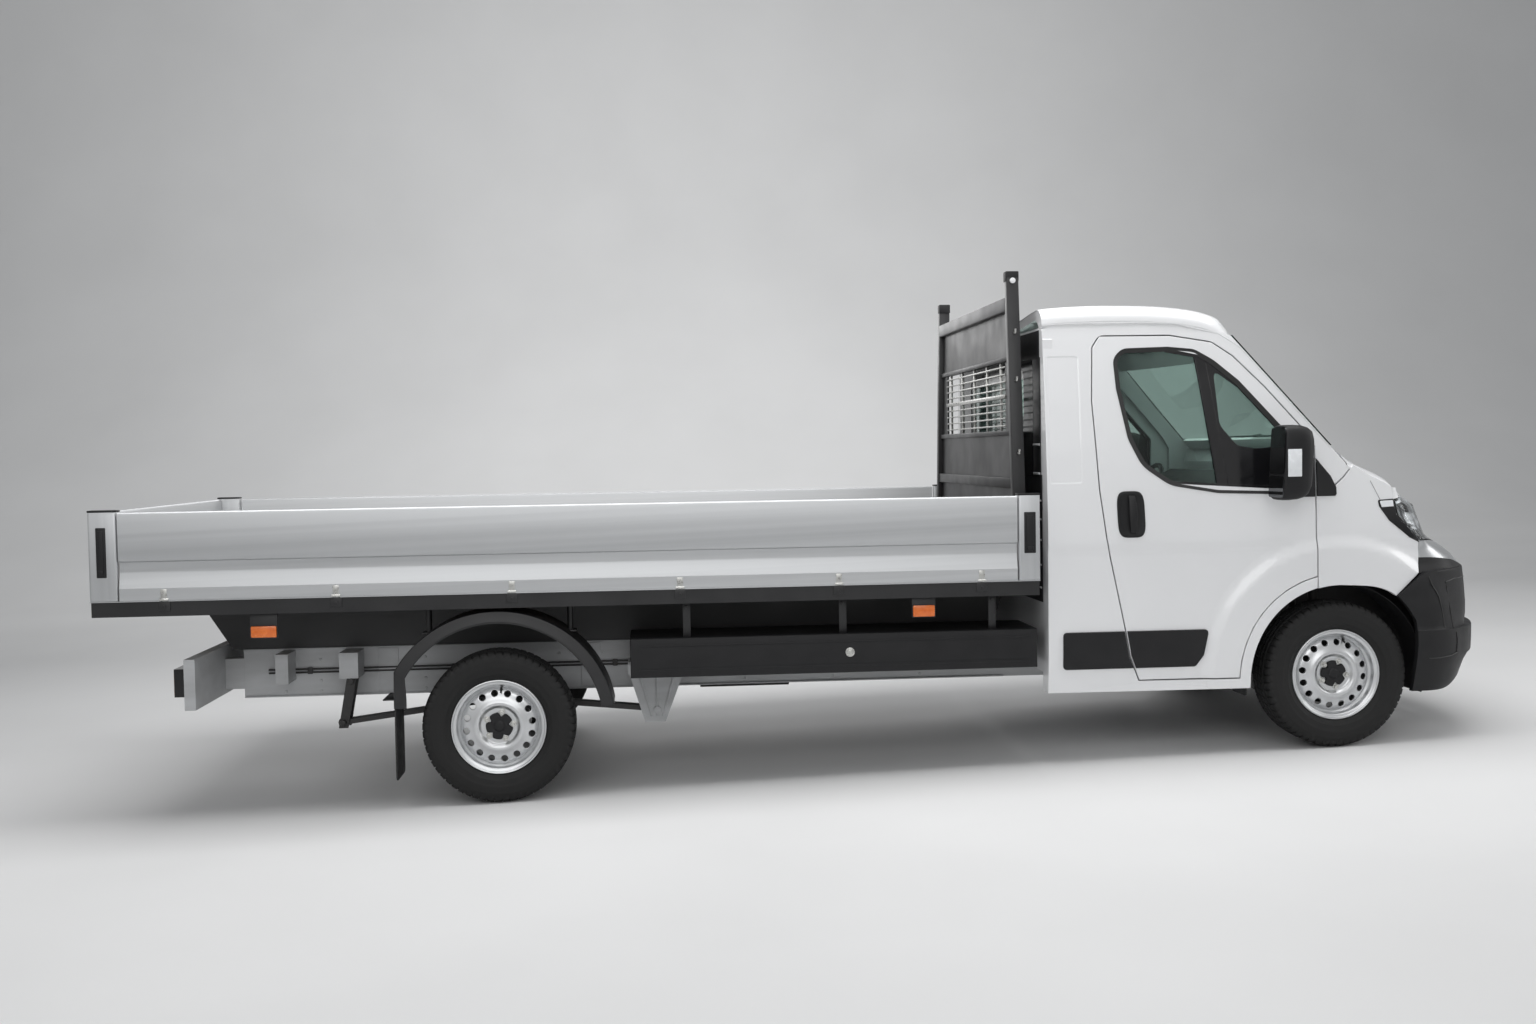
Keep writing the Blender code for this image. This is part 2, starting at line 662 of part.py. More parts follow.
def rear_axle():
    """Tubular beam with brake drums, leaf springs and shackles."""
    axle_x, axle_z = REAR_HUB
    half = REAR_TRACK / 2
    solids = [rod((axle_x, -half + 0.030, axle_z), (axle_x, half - 0.030, axle_z), 0.045, 12)]
    for side in (-1, 1):
        face = side * (half + DISC_FACE - RIM_WALL - FIT)
        solids.append(rod((axle_x, side * (half - 0.090), axle_z),
                          (axle_x, side * (half + 0.020), axle_z), 0.140, 16))
        solids.append(rod((axle_x, side * (half - 0.040), axle_z), (axle_x, face, axle_z),
                          0.070, 14))
        solids.append(rod((axle_x, side * half, axle_z),
                          (axle_x, side * (half + DISC_FACE + 0.010), axle_z),
                          BORE_RADIUS - SPIN_GAP, 14))
        top = axle_z + 0.085
        leaf = [(SPRING_REAR_EYE[0], SPRING_REAR_EYE[1] + 0.012),
                (axle_x, top), (SPRING_FRONT_EYE[0], SPRING_FRONT_EYE[1] + 0.012),
                (SPRING_FRONT_EYE[0], SPRING_FRONT_EYE[1] - 0.012),
                (axle_x + 0.100, top - 0.035), (axle_x - 0.100, top - 0.035),
                (SPRING_REAR_EYE[0], SPRING_REAR_EYE[1] - 0.012)]
        low, high = sorted((side * (SPRING_Y - SPRING_HALF), side * (SPRING_Y + SPRING_HALF)))
        solids.append(prism(leaf, "y", low, high))
        for eye in (SPRING_FRONT_EYE, SPRING_REAR_EYE):
            solids.append(rod((eye[0], low, eye[1]), (eye[0], high, eye[1]), 0.026, 12))
        solids.append(box(axle_x - 0.075, axle_x + 0.075, low - 0.010, high + 0.010,
                          axle_z - 0.060, axle_z + 0.062))
        rear_x, rear_z = SPRING_REAR_EYE
        for y in (low - 0.010, high):
            solids.append(prism([(rear_x - 0.022, rear_z - 0.026),
                                 (rear_x + 0.022, rear_z - 0.026),
                                 (rear_x + 0.066, SHACKLE_TOP),
                                 (rear_x + 0.022, SHACKLE_TOP)], "y", y - 0.002, y + 0.012))
    return union(solids)


def pipe(points, radius, segments=10):
    """A bent tube with mitred corners, closed at both ends."""
    shape = bmesh.new()
    points = [Vector(point) for point in points]
    rings = []
    for i, point in enumerate(points):
        before = points[max(i - 1, 0)]
        after = points[min(i + 1, len(points) - 1)]
        turn = (after - before).to_track_quat("X", "Z").to_matrix()
        rings.append([shape.verts.new(point + turn @ Vector((
            0, radius * cos(2 * pi * k / segments), radius * sin(2 * pi * k / segments))))
            for k in range(segments)])
    for first, second in zip(rings, rings[1:]):
        for k in range(segments):
            shape.faces.new((first[k], first[k - 1], second[k - 1], second[k]))
    shape.faces.new(rings[0])
    shape.faces.new(rings[-1])
    bmesh.ops.recalc_face_normals(shape, faces=shape.faces)
    return shape


def exhaust():
    """Pipe and silencer under the cab and the bed."""
    y = 0.260
    z = -0.085
    run = pipe([(-0.250, 0.100, z), (-0.500, 0.100, z), (-1.250, y, z), (-3.420, y, z),
                (-3.620, y, z - 0.060)], 0.028)
    hangers = [box(x - 0.015, x + 0.015, y - 0.006, y + 0.006, z, RAIL_BOTTOM + 0.020 - FIT)
               for x in (-3.450, -2.450)]
    return union([run, rod((-2.560, y, z), (-3.050, y, z), 0.085, 16)] + hangers)


def fuel_tank():
    return box(-2.380, -1.620, -RAIL_Y + RAIL_WIDTH / 2 + FIT, 0.180, -0.040, 0.180)


# Cab

def arch_line(radius, start, end, count=ARCH_STEPS):
    return arc((0.0, 0.0), radius, start, end, count)


def pillar_line(height):
    """Front edge of the windscreen pillar at the skin, just behind the glass."""
    return windscreen_line(height, half_width(height)) - GLASS_RUN - PILLAR_SEAT


def roof_seam(forward):
    """Height at which the body side meets the roof's rounded shoulder."""
    return blend(CROWN, forward + bow(CAB_WIDTH / 2 - 0.098)) - 0.060


def body_side_outline():
    """Whole body side behind the wing: arch, scuttle, pillar, roof and rear edge."""
    rim = ARCH_RADIUS + 0.020
    arch = arch_line(rim, 90, 176)
    outline = [(CAB_REAR, CAB_SILL), (arch[-1][0], CAB_SILL)]
    outline += list(reversed(arch))
    outline += [(0.040, rim), (0.040, SCUTTLE)]
    outline += [(pillar_line(z), z) for z in (SCUTTLE + 0.030, MIRROR_TOP, 1.350, 1.550, 1.650)]
    outline += [(x, roof_seam(x)) for x in (-0.620, -0.800, -1.120, -1.300)]
    return outline + [(CAB_REAR, 1.690)]


def side_frame(side):
    """Sill, pillars and roof rail of one side, with the flange that seals the door."""
    rings = []
    step = [(x, z) for x in (DOOR_FRONT, DOOR_FRONT + PILLAR_STEP) for z in (0.0, 2.0)]
    guides = side_guides() + [step[:2], step[2:]]
    for opening, depth_low, depth_high, skin in ((SHUT_GAP, 0.0, 0.010, True),
                                                 (-SEAL_LAP, 0.0, 0.020, False)):
        hole = offset_outline(DOOR_OUTLINE, opening)

        def form(forward, height, outside):
            seat = half_width(height) - door_depth(height) - FIT
            across = seat - (depth_low if outside else depth_high)
            if outside and skin:
                across = cab_side(forward, height)
                if forward > DOOR_FRONT + 0.001:
                    across = half_width(height) - WING_SKIN - SWAGE - FIT
            if height > SCUTTLE + 0.010 and forward > pillar_line(height) - 0.004:
                forward = windscreen_line(height, across) - GLASS_RUN - PILLAR_SEAT
            return (forward, side * across, height)
        rings.append(pressed(body_side_outline(), [hole], form, guides))
    return rings


def glass_flange(z_low, z_high):
    """Bent strip behind the windscreen's upper or lower edge."""
    outer = []
    inner = []
    for y in GLASS_COLUMNS:
        row = []
        low = []
        for z in (z_low, (z_low + z_high) / 2, z_high):
            x = windscreen_line(z, y) - GLASS_RUN - FIT
            row.append((x, y, z))
            low.append((x - 0.024, y, z - 0.012))
        outer.append(row)
        inner.append(low)
    return grid_solid(outer, inner)


def scuttle():
    """Shelf between the bulkhead and the windscreen's lower flange."""
    outer = []
    inner = []
    high = GLASS_BOTTOM - 0.012
    reach = half_width(SCUTTLE) - DOOR_FRAME_THICK - 0.012
    for y in [-reach] + GLASS_COLUMNS + [reach]:
        front = windscreen_line(high, y) - GLASS_RUN - 0.020
        outer.append([(-0.038, y, SCUTTLE + 0.030), (front, y, high)])
        inner.append([(-0.038, y, SCUTTLE), (front, y, high - 0.030)])
    return grid_solid(outer, inner)


def roof_panel():
    """Roof skin with its rounded shoulders, from the rear lip to the header."""
    edge = roof_half() + ROOF_LIP
    inset = (ROOF_EDGE, 0.040, 0.012, 0.0)
    half = [0.0, edge * 0.48, edge * 0.80] + [edge - distance for distance in inset]
    across = [-y for y in reversed(half[1:])] + half
    stations = [CAB_REAR, -1.300, -0.950, -0.600, -0.400, -0.345]
    outer = []
    inner = []
    for s in stations:
        row = []
        low = []
        for y in across:
            forward = s - (bow(y) if s > -0.9 else 0.0)
            height = crown(forward, y)
            row.append((forward, y, height))
            low.append((forward, y * (1 - CAB_WALL / edge), height - CAB_WALL))
        outer.append(row)
        inner.append(low)
    return grid_solid(outer, inner)


def rear_wall():
    """Ribbed rear wall with the window opening."""
    half = half_width(1.0) - 0.030
    low = CAB_FLOOR - 0.040
    outline = [(-half, low), (half, low), (half - 0.030, 1.640), (half - 0.110, 1.700),
               (0.110 - half, 1.700), (0.030 - half, 1.640)]
    wall = prism(outline, "x", CAB_REAR + 0.001, CAB_REAR + CAB_WALL)
    window = prism(rounded(REAR_WINDOW), "x", CAB_REAR - 0.1, CAB_REAR + 0.1)
    return boolean(wall, [window], "DIFFERENCE")


def rounded(spec, count=3):
    """Rectangle with round corners: low and high across, low and high up, radius."""
    a_low, a_high, b_low, b_high, radius = spec
    points = []
    for centre, start in (((a_high - radius, b_low + radius), -90),
                          ((a_high - radius, b_high - radius), 0),
                          ((a_low + radius, b_high - radius), 90),
                          ((a_low + radius, b_low + radius), 180)):
        points += arc(centre, radius, start, start + 90, count)
    return points


def rear_window():
    """Pane bonded into the rear wall's opening."""
    left, right, low, high, radius = REAR_WINDOW
    pane = rounded((left + FIT, right - FIT, low + FIT, high - FIT, radius - FIT))
    return prism(pane, "x", CAB_REAR + 0.012, CAB_REAR + 0.012 + GLASS)


def cabin_half():
    """Half width between the sills' inner faces."""
    return half_width(CAB_FLOOR) - DOOR_THICK - 0.032


def cab_shell():
    """One welded shell: sides, sills, roof and rear wall."""
    inside = cabin_half()
    sill = [(inside, CAB_SILL), (inside + 0.080, CAB_SILL),
            (inside + 0.080, DOOR_SILL - SHUT_GAP - 0.002),
            (inside + 0.020, DOOR_SILL - SHUT_GAP - 0.002), (inside + 0.020, CAB_FLOOR),
            (inside, CAB_FLOOR)]
    sills = [prism([(side * y, z) for y, z in sill], "x", CAB_REAR + 0.020,
                   -ARCH_RADIUS - 0.040) for side in (1, -1)]
    solids = side_frame(1) + side_frame(-1) + [roof_panel(), rear_wall()] + sills
    solids += [glass_flange(1.590, 1.690), glass_flange(GLASS_BOTTOM - 0.005, 1.165), scuttle()]
    return union(solids)


def cab_floor():
    """Floor pan that rises over the front wheels into the bulkhead."""
    inside = cabin_half() - FIT
    pan = box(CAB_REAR + CAB_WALL + FIT, -ARCH_RADIUS - 0.030, -inside, inside, CAB_FLOOR - 0.040, CAB_FLOOR)
    top = SCUTTLE - FIT
    ramp = prism(arch_line(ARCH_RADIUS + 0.020, 173, 92)
                 + [(-0.010, top), (blend(BULKHEAD, top), top), BULKHEAD[0][::-1]]
                 + arch_line(ARCH_RADIUS + 0.060, 98, 170), "y", -inside, inside)
    tower_y, tower_z = STRUT_TOP
    wells = [box(-0.095, 0.100, *sorted((side * (tower_y - 0.110), side * (tower_y + 0.130))),
                 tower_z - 0.300, tower_z - 0.0001) for side in (1, -1)]
    return boolean(union([pan, ramp]), wells, "DIFFERENCE")


def wing_top(forward, across):
    """Shoulder of the front wing beside the bonnet."""
    reach = (abs(across) - BONNET_HALF) / 0.145
    return bonnet_top(forward, BONNET_HALF) - 0.045 * max(0.0, reach) ** 2


def fender(side):
    """Front wing: outer skin over the wheel and the shoulder beside the bonnet."""
    arch = arch_line(ARCH_RADIUS, 52, 103)
    rear = DOOR_FRONT + SHUT_GAP
    crest = CAB_WIDTH / 2 - 0.040
    shoulder = [(x, z + 0.0012) for x, z in BUMPER_SHOULDER[:2]]
    outline = [(rear, 0.470)] + [(x, z) for x, z in reversed(arch) if x > rear + 0.004]
    outline += shoulder + [(0.430, 0.640), (0.300, 0.774), (0.279, 0.860)]
    outline += [(x, wing_top(x, crest)) for x in (0.272, 0.160, 0.050)]
    outline += [(0.046, 0.900), (rear, 0.880)]

    def form(forward, height, outside):
        out = cab_side(forward, height)
        return (forward, side * (out if outside else out - WING_SKIN), height)
    upright = [[(x, 0.0), (x, 1.2)] for x in (0.05, 0.16, 0.27, 0.36)]
    skin = pressed(outline, [], form, side_guides() + upright)
    outer = []
    inner = []
    for x in (0.052, 0.110, 0.160, 0.215, 0.272):
        columns = [CAB_WIDTH / 2 - inset for inset in (0.140, 0.100, 0.070)]
        columns = [BONNET_HALF + SHUT_GAP] + columns + [cab_side(x, 1.0) - 0.004]
        row = [(x, y, wing_top(x, y)) for y in columns]
        outer.append([(a, side * b, c) for a, b, c in row])
        inner.append([(a, side * b, c - WING_SKIN) for a, b, c in row])
    return union([skin, grid_solid(outer, inner)])


def nose_line(out, back):
    """Plan curve of the truck's nose at a fraction of its half width."""
    across = min(1.0, abs(out) / NOSE_HALF)
    return NOSE_SIDE + NOSE_DEPTH * (1.0 - across ** NOSE_POWER) ** (1.0 / NOSE_POWER) - back


def bumper():
    """Wrap-round bumper from wheel arch to wheel arch."""
    angles = [-90, -84, -74, -60, -42, -22, 0, 22, 42, 60, 74, 84, 90]
    outer = []
    inner = []
    for index, angle in enumerate([None] + angles + [None]):
        row = []
        low = []
        side = -1 if index <= len(angles) // 2 else 1
        for height, stand in BUMPER_SECTION:
            if angle is None:
                x = sqrt(max(0.0, (ARCH_RADIUS + 0.006) ** 2 - max(0.0, height) ** 2))
                x = min(max(x, 0.330), NOSE_SIDE - 0.020) if height > 0 else 0.430
                half = half_width(height) - 0.004 + stand * 0.1 + flare(x, height)
                point = Vector((x, side * half, height))
                back = Vector((0, -side * 0.030, 0))
            else:
                a = radians(angle)
                power = 2.0 / NOSE_POWER
                reach = NOSE_DEPTH + stand
                half = half_width(height) - 0.004 + stand * 0.1
                x = NOSE_SIDE + reach * abs(cos(a)) ** power
                half += flare(x, height)
                y = half * abs(sin(a)) ** power * (1 if a > 0 else -1)
                point = Vector((x, y, height))
                back = -Vector((abs(cos(a)), sin(a), 0)) * 0.030
            point.z = min(height, blend(BUMPER_SHOULDER, point.x))
            row.append(tuple(point))
            low.append(tuple(point + back))
        outer.append(row)
        inner.append(low)
    return grid_solid(outer, inner)


def nose_surface(y, z):
    """Forward position of the nose between bumper and bonnet."""
    return nose_line(y, blend(NOSE_LEAN, z))


def grille():
    """Sloping panel between the bumper and the bonnet and headlamps."""
    half = CAB_WIDTH / 2
    tops = [(half - inset, low - 0.005) for inset, low, high in LAMP_COLUMNS[1:-1]]
    tops = [(half - 0.410, 0.582)] + tops + [(half - 0.070, 0.700)]
    tops = [(y, 0.592) for y in (0.0, half - 0.775, half - 0.575)] + tops
    tops = [(-y, z) for y, z in reversed(tops[1:])] + tops
    outer = []
    inner = []
    for y, top in tops:
        rows = [(nose_surface(y, z), y, z) for z in (0.500 + FIT, (0.500 + top) / 2, top)]
        outer.append(rows)
        inner.append([(x - 0.024, y * 0.99, z if z < 0.501 else z - 0.012)
                      for x, y, z in rows])
    return grid_solid(outer, inner)


def headlamp(side):
    """Lamp unit that wraps from the nose round to the wing."""
    outer = []
    inner = []
    for inset, low, high in LAMP_COLUMNS:
        y = CAB_WIDTH / 2 - inset
        row = []
        for k in range(4):
            z = low + (high - low) * k / 3
            row.append((max(nose_surface(y, z), 0.288), side * y, z))
        outer.append(row)
        inner.append([(x - 0.070, across - side * 0.018, z) for x, across, z in row])
    return grid_solid(outer, inner)


def bonnet_top(forward, across):
    return blend(CROWN, forward + bow(across)) - 0.020 * abs(across)


def bonnet():
    """Short sloping bonnet, straight along its hinge edge."""
    outer = []
    inner = []
    half = [BONNET_HALF * share for share in (0.0, 0.26, 0.51)]
    half += [CAB_WIDTH / 2 - inset for inset in (0.425, 0.345, 0.265)] + [BONNET_HALF]
    for y in [-y for y in reversed(half[1:])] + half:
        front = blend(BONNET_EDGE, CAB_WIDTH / 2 - abs(y))
        row = []
        for k in range(7):
            x = BONNET_REAR + (front - BONNET_REAR) * k / 6
            row.append((x, y, bonnet_top(x, y)))
        outer.append(row)
        inner.append([(x, y, z - BONNET_THICK) for x, y, z in row])
    return grid_solid(outer, inner)


def windscreen_line(z, y):
    """Forward position of the glass's outer face."""
    top = CROWN[5]
    low = CROWN[7]
    share = (z - low[1]) / (top[1] - low[1])
    return low[0] + (top[0] - low[0]) * share - bow(y)


def windscreen():
    """Bowed glass laid over the pillars and the flanges."""
    outer = []
    inner = []
    for k in range(7):
        z = GLASS_BOTTOM + (GLASS_TOP - GLASS_BOTTOM) * k / 6
        half = half_width(z) - 0.012
        columns = [-half] + GLASS_COLUMNS + [half]
        row = [(windscreen_line(z, y), y, z) for y in columns]
        outer.append(row)
        inner.append([(x - GLASS_RUN, y, z) for x, y, z in row])
    return grid_solid(outer, inner)


def cowl():
    """Black plenum cover that runs from the glass to a lip under the bonnet."""
    outer = []
    inner = []
    lip = BONNET_REAR + 0.012
    for y in [BONNET_HALF * k / 4 for k in range(-4, 5)]:
        under = bonnet_top(lip, y) - BONNET_THICK - 0.0008
        row = [(windscreen_line(GLASS_BOTTOM, y), y, GLASS_BOTTOM - FIT),
               (BONNET_REAR - 0.010, y, under), (lip, y, under)]
        outer.append(row)
        inner.append([(x, y, z - 0.012) for x, y, z in row])
    return grid_solid(outer, inner)


def inside_window(forward, height):
    """Whether a point lies on the window opening's edge."""
    for (a, b), (c, d) in zip(WINDOW_OUTLINE, WINDOW_OUTLINE[1:] + WINDOW_OUTLINE[:1]):
        length = hypot(c - a, d - b)
        away = abs((c - a) * (height - b) - (d - b) * (forward - a)) / length
        along = ((forward - a) * (c - a) + (height - b) * (d - b)) / length
        if away < 0.002 and -0.002 < along < length + 0.002:
            return True
    return False


def door(side):
    """Pressed door with its window opening."""
    middle = (DOOR_FRONT - 0.535, 0.850)

    def form(forward, height, outside):
        across = cab_side(forward, height)
        if not outside:
            across = half_width(height) - door_depth(height)
            if not inside_window(forward, height):
                forward += (middle[0] - forward) * DOOR_TAPER
        return (forward, side * across, height)
    return pressed(DOOR_OUTLINE, [WINDOW_OUTLINE], form, side_guides())


def door_glass(side):
    """Pane in the door's window, set back from the skin."""
    def form(forward, height, outside):
        out = half_width(height) - 0.018
        return (forward, side * (out if outside else out - GLASS), height)
    level = [[(CAB_REAR, z), (0.0, z)] for z in SIDE_LINES if z > BELT]
    return pressed(offset_outline(WINDOW_OUTLINE, -FIT), [], form, level)


def mirror(side):
    """Mirror head on a short arm from the door's front corner."""
    reach = CAB_WIDTH / 2
    head = prism([(-0.370, 0.880), (-0.240, 0.860), (-0.215, 0.900), (-0.235, 1.190),
                  (-0.270, 1.220), (-0.350, 1.215), (-0.380, 1.150)], "y",
                 reach + 0.060, reach + 0.250)
    low = half_width(BELT) + FIT
    high = half_width(MIRROR_TOP) + FIT
    foot = prism([(low, BELT), (high, MIRROR_TOP), (high + 0.010, MIRROR_TOP),
                  (low + 0.030, BELT)], "x", -0.228, -0.120)
    arm = prism([(low + 0.010, BELT + 0.020), (reach + 0.090, BELT + 0.040),
                 (reach + 0.090, BELT + 0.110), (low, BELT + 0.120)],
                "x", -0.270, -0.180)
    return mirrored(union([head, foot, arm]), side)


def dashboard():
    """Dashboard moulding with the steering column and wheel."""
    front = [(blend(BULKHEAD, height) - FIT, height) for height in (0.600, 0.930)]
    body = prism([(-0.330, 0.600), (-0.130, 0.580)] + front
                 + [(-0.150, 0.985), (-0.330, 0.900), (-0.380, 0.800)], "y",
                 0.165 - CAB_WIDTH / 2, CAB_WIDTH / 2 - 0.165)
    column = rod((-0.250, 0.420, 0.720), (-0.500, 0.420, 0.860), 0.035, 10)
    ring = turned([(0.014 * cos(2 * pi * k / 6), 0.190 + 0.014 * sin(2 * pi * k / 6))
                   for k in range(6)], 18)
    bmesh.ops.rotate(ring, matrix=Matrix.Rotation(pi / 2, 3, "X"), verts=ring.verts)
    tilt = Matrix.Translation((-0.480, 0.420, 0.850)) @ Matrix.Rotation(radians(-60), 4, "Y")
    bmesh.ops.transform(ring, matrix=tilt, verts=ring.verts)
    along = tilt.to_3x3() @ Vector((0, 1, 0))
    centre = tilt.translation
    spoke = rod(centre - along * 0.190, centre + along * 0.190, 0.012, 6)
    lift = tilt.to_3x3() @ Vector((1, 0, 0))
    lower = rod(centre, centre - lift * 0.190, 0.012, 6)
    return union([body, column, ring, spoke, lower])


def seat(y_low, y_high):
    """Cushion, backrest and pedestal."""
    profile = [(-0.620, CAB_FLOOR + FIT), (-0.620, 0.400), (-0.560, 0.420), (-0.540, 0.480),
               (-0.600, 0.520), (-1.020, 0.500), (-1.160, 1.080), (-1.190, 1.300),
               (-1.260, 1.300), (-1.270, 1.080), (-1.180, 0.460), (-1.150, 0.380),
               (-1.100, CAB_FLOOR + FIT)]
    return prism(profile, "y", y_low, y_high)


# Bed

def bearer_places():
    """Where the cross bearers lie under the deck."""
    first = BED_REAR + 0.060
    last = BED_FRONT - 0.060
    return [first + (last - first) * i / (BEARERS - 1) for i in range(BEARERS)]


def bed_beam(side):
    """Long beam that lies on one rail and carries the cross bearers."""
    under = EDGE_BOTTOM + 0.002 - FIT
    beam = [(BED_REAR + 0.330, under - 0.030), (BED_REAR + 0.460, RAIL_TOP + FIT),
            (BED_FRONT - 0.100, RAIL_TOP + FIT), (BED_FRONT - 0.040, under - 0.030),
            (BED_FRONT - 0.040, under), (BED_REAR + 0.330, under)]
    return prism(beam, "y", *sorted((side * (RAIL_Y - RAIL_WIDTH / 2),
                                     side * (RAIL_Y + RAIL_WIDTH / 2))))


def bed_frame():
    """Cross bearers, the edge rails under the boards and the deck's end strips."""
    solids = []
    top = DECK_TOP - DECK_THICK - FIT
    for side in (-1, 1):
        solids.append(box(BED_REAR + 0.005, BED_FRONT - 0.005,
                          *sorted((side * (BED_WIDTH / 2 - 0.005),
                                   side * (BED_WIDTH / 2 - POST_DEPTH))),
                          EDGE_BOTTOM, DECK_TOP))
    inner = BED_WIDTH / 2 - 0.010
    for forward in bearer_places():
        solids.append(box(forward - 0.025, forward + 0.025, -inner, inner,
                          EDGE_BOTTOM + 0.002, top))
    for low, high in ((BED_REAR + 0.005, BED_REAR + 0.005 + STRIP),
                      (BED_FRONT - HEADBOARD_BACK, BED_FRONT - 0.005)):
        solids.append(box(low, high, -inner, inner, EDGE_BOTTOM + 0.003, DECK_TOP))
    return union(solids)


def bed_deck():
    edge = BED_WIDTH / 2 - POST_DEPTH - FIT
    return box(BED_REAR + 0.005 + STRIP + FIT, BED_FRONT - HEADBOARD_BACK - FIT, -edge, edge,
               DECK_TOP - DECK_THICK, DECK_TOP)


def board_outline(out, inward):
    """Section across the board: out is its outer face, inward points inside."""
    low = DECK_TOP + FIT
    return [(out + inward * BOARD_THICK * (1.0 - stand), low + BOARD_HEIGHT * share)
            for share, stand in BOARD_SECTION]


def side_board(side):
    out = side * BED_WIDTH / 2
    return prism(board_outline(out, -side), "x", BED_REAR + REAR_POST + SHUT_GAP,
                 BED_FRONT - FRONT_POST - SHUT_GAP)


def tailgate():
    half = BED_WIDTH / 2 - POST_DEPTH - SHUT_GAP
    return prism(board_outline(BED_REAR, 1), "y", -half, half)


def corner_post(forward, length, side):
    """Aluminium corner post that the boards latch to."""
    out = BED_WIDTH / 2
    low = DECK_TOP + FIT
    return mirrored(box(forward, forward + length, out - POST_DEPTH, out,
                        low, low + BOARD_HEIGHT + 0.004), side)


def headboard():
    """Front wall: leaning posts, rails, sheet and the slatted window."""
    back = BED_FRONT - HEADBOARD_BACK
    front = back + HEADBOARD_DEPTH
    foot = BED_WIDTH / 2 - 0.075
    low = DECK_TOP + FIT
    top = HEADBOARD_TOP
    solids = []

    def out_at(height):
        share = (height - low) / (top - low)
        return foot - HEADBOARD_LEAN * share
    for side in (-1, 1):
        outline = [(side * out_at(low), low), (side * (out_at(low) - 0.050), low),
                   (side * (out_at(top) - 0.050), top), (side * out_at(top), top)]
        solids.append(prism(outline, "x", back, front))
    for rail_low, rail_high in ((low, 0.560), (0.930, 0.980), (1.790, 1.855)):
        half = out_at(rail_low) - 0.010
        solids.append(box(back + 0.005, front - 0.005, -half, half, rail_low, rail_high))
    sheet_half_low = out_at(0.55) - 0.020
    sheet_half_high = out_at(1.80) - 0.020
    sheet = prism([(-sheet_half_low, 0.540), (sheet_half_low, 0.540),
                   (sheet_half_high, 1.800), (-sheet_half_high, 1.800)], "x",
                  back + 0.025, back + 0.033)
    hole = box(back, front, -0.420, 0.420, 1.210, 1.550)
    sheet = boolean(sheet, [hole], "DIFFERENCE")
    solids.append(sheet)
    for i in range(6):
        z = 1.240 + 0.056 * i
        solids.append(box(back + 0.022, back + 0.036, -0.430, 0.430, z - 0.008, z + 0.008))
    solids.append(box(back + 0.020, back + 0.040, -0.012, 0.012, 1.200, 1.560))
    return union(solids)


# Side pieces

def mudguard(side):
    """Half-round guard over the rear wheel with a lip and a flap."""
    axle_x, axle_z = REAR_HUB
    out = MUDGUARD_OUT
    low = MUDGUARD_IN
    outer = arc(REAR_HUB, MUDGUARD_RADIUS, 10, 150, 10)
    inner = arc(REAR_HUB, MUDGUARD_RADIUS - MUDGUARD_WALL, 10, 150, 10)
    rear = outer[-1][0]
    tail = [(rear - 0.010, axle_z + 0.150), (rear + 0.002, axle_z + 0.150)]
    band = prism(outer + tail + list(reversed(inner)), "y", low, out)
    lip_inner = arc(REAR_HUB, MUDGUARD_RADIUS - 0.060, 10, 150, 10)
    lip = prism(arc(REAR_HUB, MUDGUARD_RADIUS - 0.004, 10, 150, 10) + list(reversed(lip_inner)),
                "y", out - MUDGUARD_WALL, out)
    flap = box(rear - 0.009, rear + 0.001, low + 0.010, out - 0.010, axle_z - 0.240,
               axle_z + 0.200)
    nearest = min(bearer_places(), key=lambda place: abs(place - axle_x))
    stay = box(nearest - 0.020, nearest + 0.020, low + 0.020, out - 0.030,
               axle_z + MUDGUARD_RADIUS - 0.030, EDGE_BOTTOM + 0.002 - FIT)
    return mirrored(union([band, lip, flap, stay]), side)


def locker(side):
    """Long tool locker, open on its outer face behind a drop-down lid."""
    inner = LOCKER_INNER
    outer = box(LOCKER_REAR, LOCKER_FRONT, inner, LOCKER_OUT - 0.016, LOCKER_BOTTOM, LOCKER_TOP)
    hollow = box(LOCKER_REAR + LOCKER_WALL, LOCKER_FRONT - LOCKER_WALL, inner + LOCKER_WALL,
                 LOCKER_OUT + 0.100, LOCKER_BOTTOM + LOCKER_WALL, LOCKER_TOP - LOCKER_WALL)
    shape = boolean(outer, [hollow], "DIFFERENCE")
    arms = [box(x - 0.020, x + 0.020, RAIL_Y + RAIL_WIDTH / 2 + FIT, inner + 0.006,
                0.120, 0.180) for x in (LOCKER_REAR + 0.30, LOCKER_FRONT - 0.30)]
    return mirrored(union([shape] + arms), side)


def locker_lid(side):
    return mirrored(box(LOCKER_REAR, LOCKER_FRONT, LOCKER_OUT - 0.0157, LOCKER_OUT,
                        LOCKER_BOTTOM + 0.001, LOCKER_TOP - 0.001), side)


def rear_beam():
    """Lamp and guard beam behind the rails."""
    return union([
        box(BEAM_BACK, BEAM_BACK + 0.050, -BEAM_HALF, BEAM_HALF, -0.020, 0.215),
        box(BEAM_BACK - 0.006, BEAM_BACK + 0.005, -0.280, 0.280, 0.030, 0.180),
        box(BEAM_BACK + 0.048, RAIL_REAR - FIT, -RAIL_Y - 0.035, -RAIL_Y + 0.035, 0.000, 0.150),
        box(BEAM_BACK + 0.048, RAIL_REAR - FIT, RAIL_Y - 0.035, RAIL_Y + 0.035, 0.000, 0.150),
    ])


def tail_lamp(side):
    return mirrored(box(BEAM_BACK - 0.050, BEAM_BACK - FIT, BEAM_HALF - 0.330, BEAM_HALF - 0.020,
                        0.040, 0.170), side)


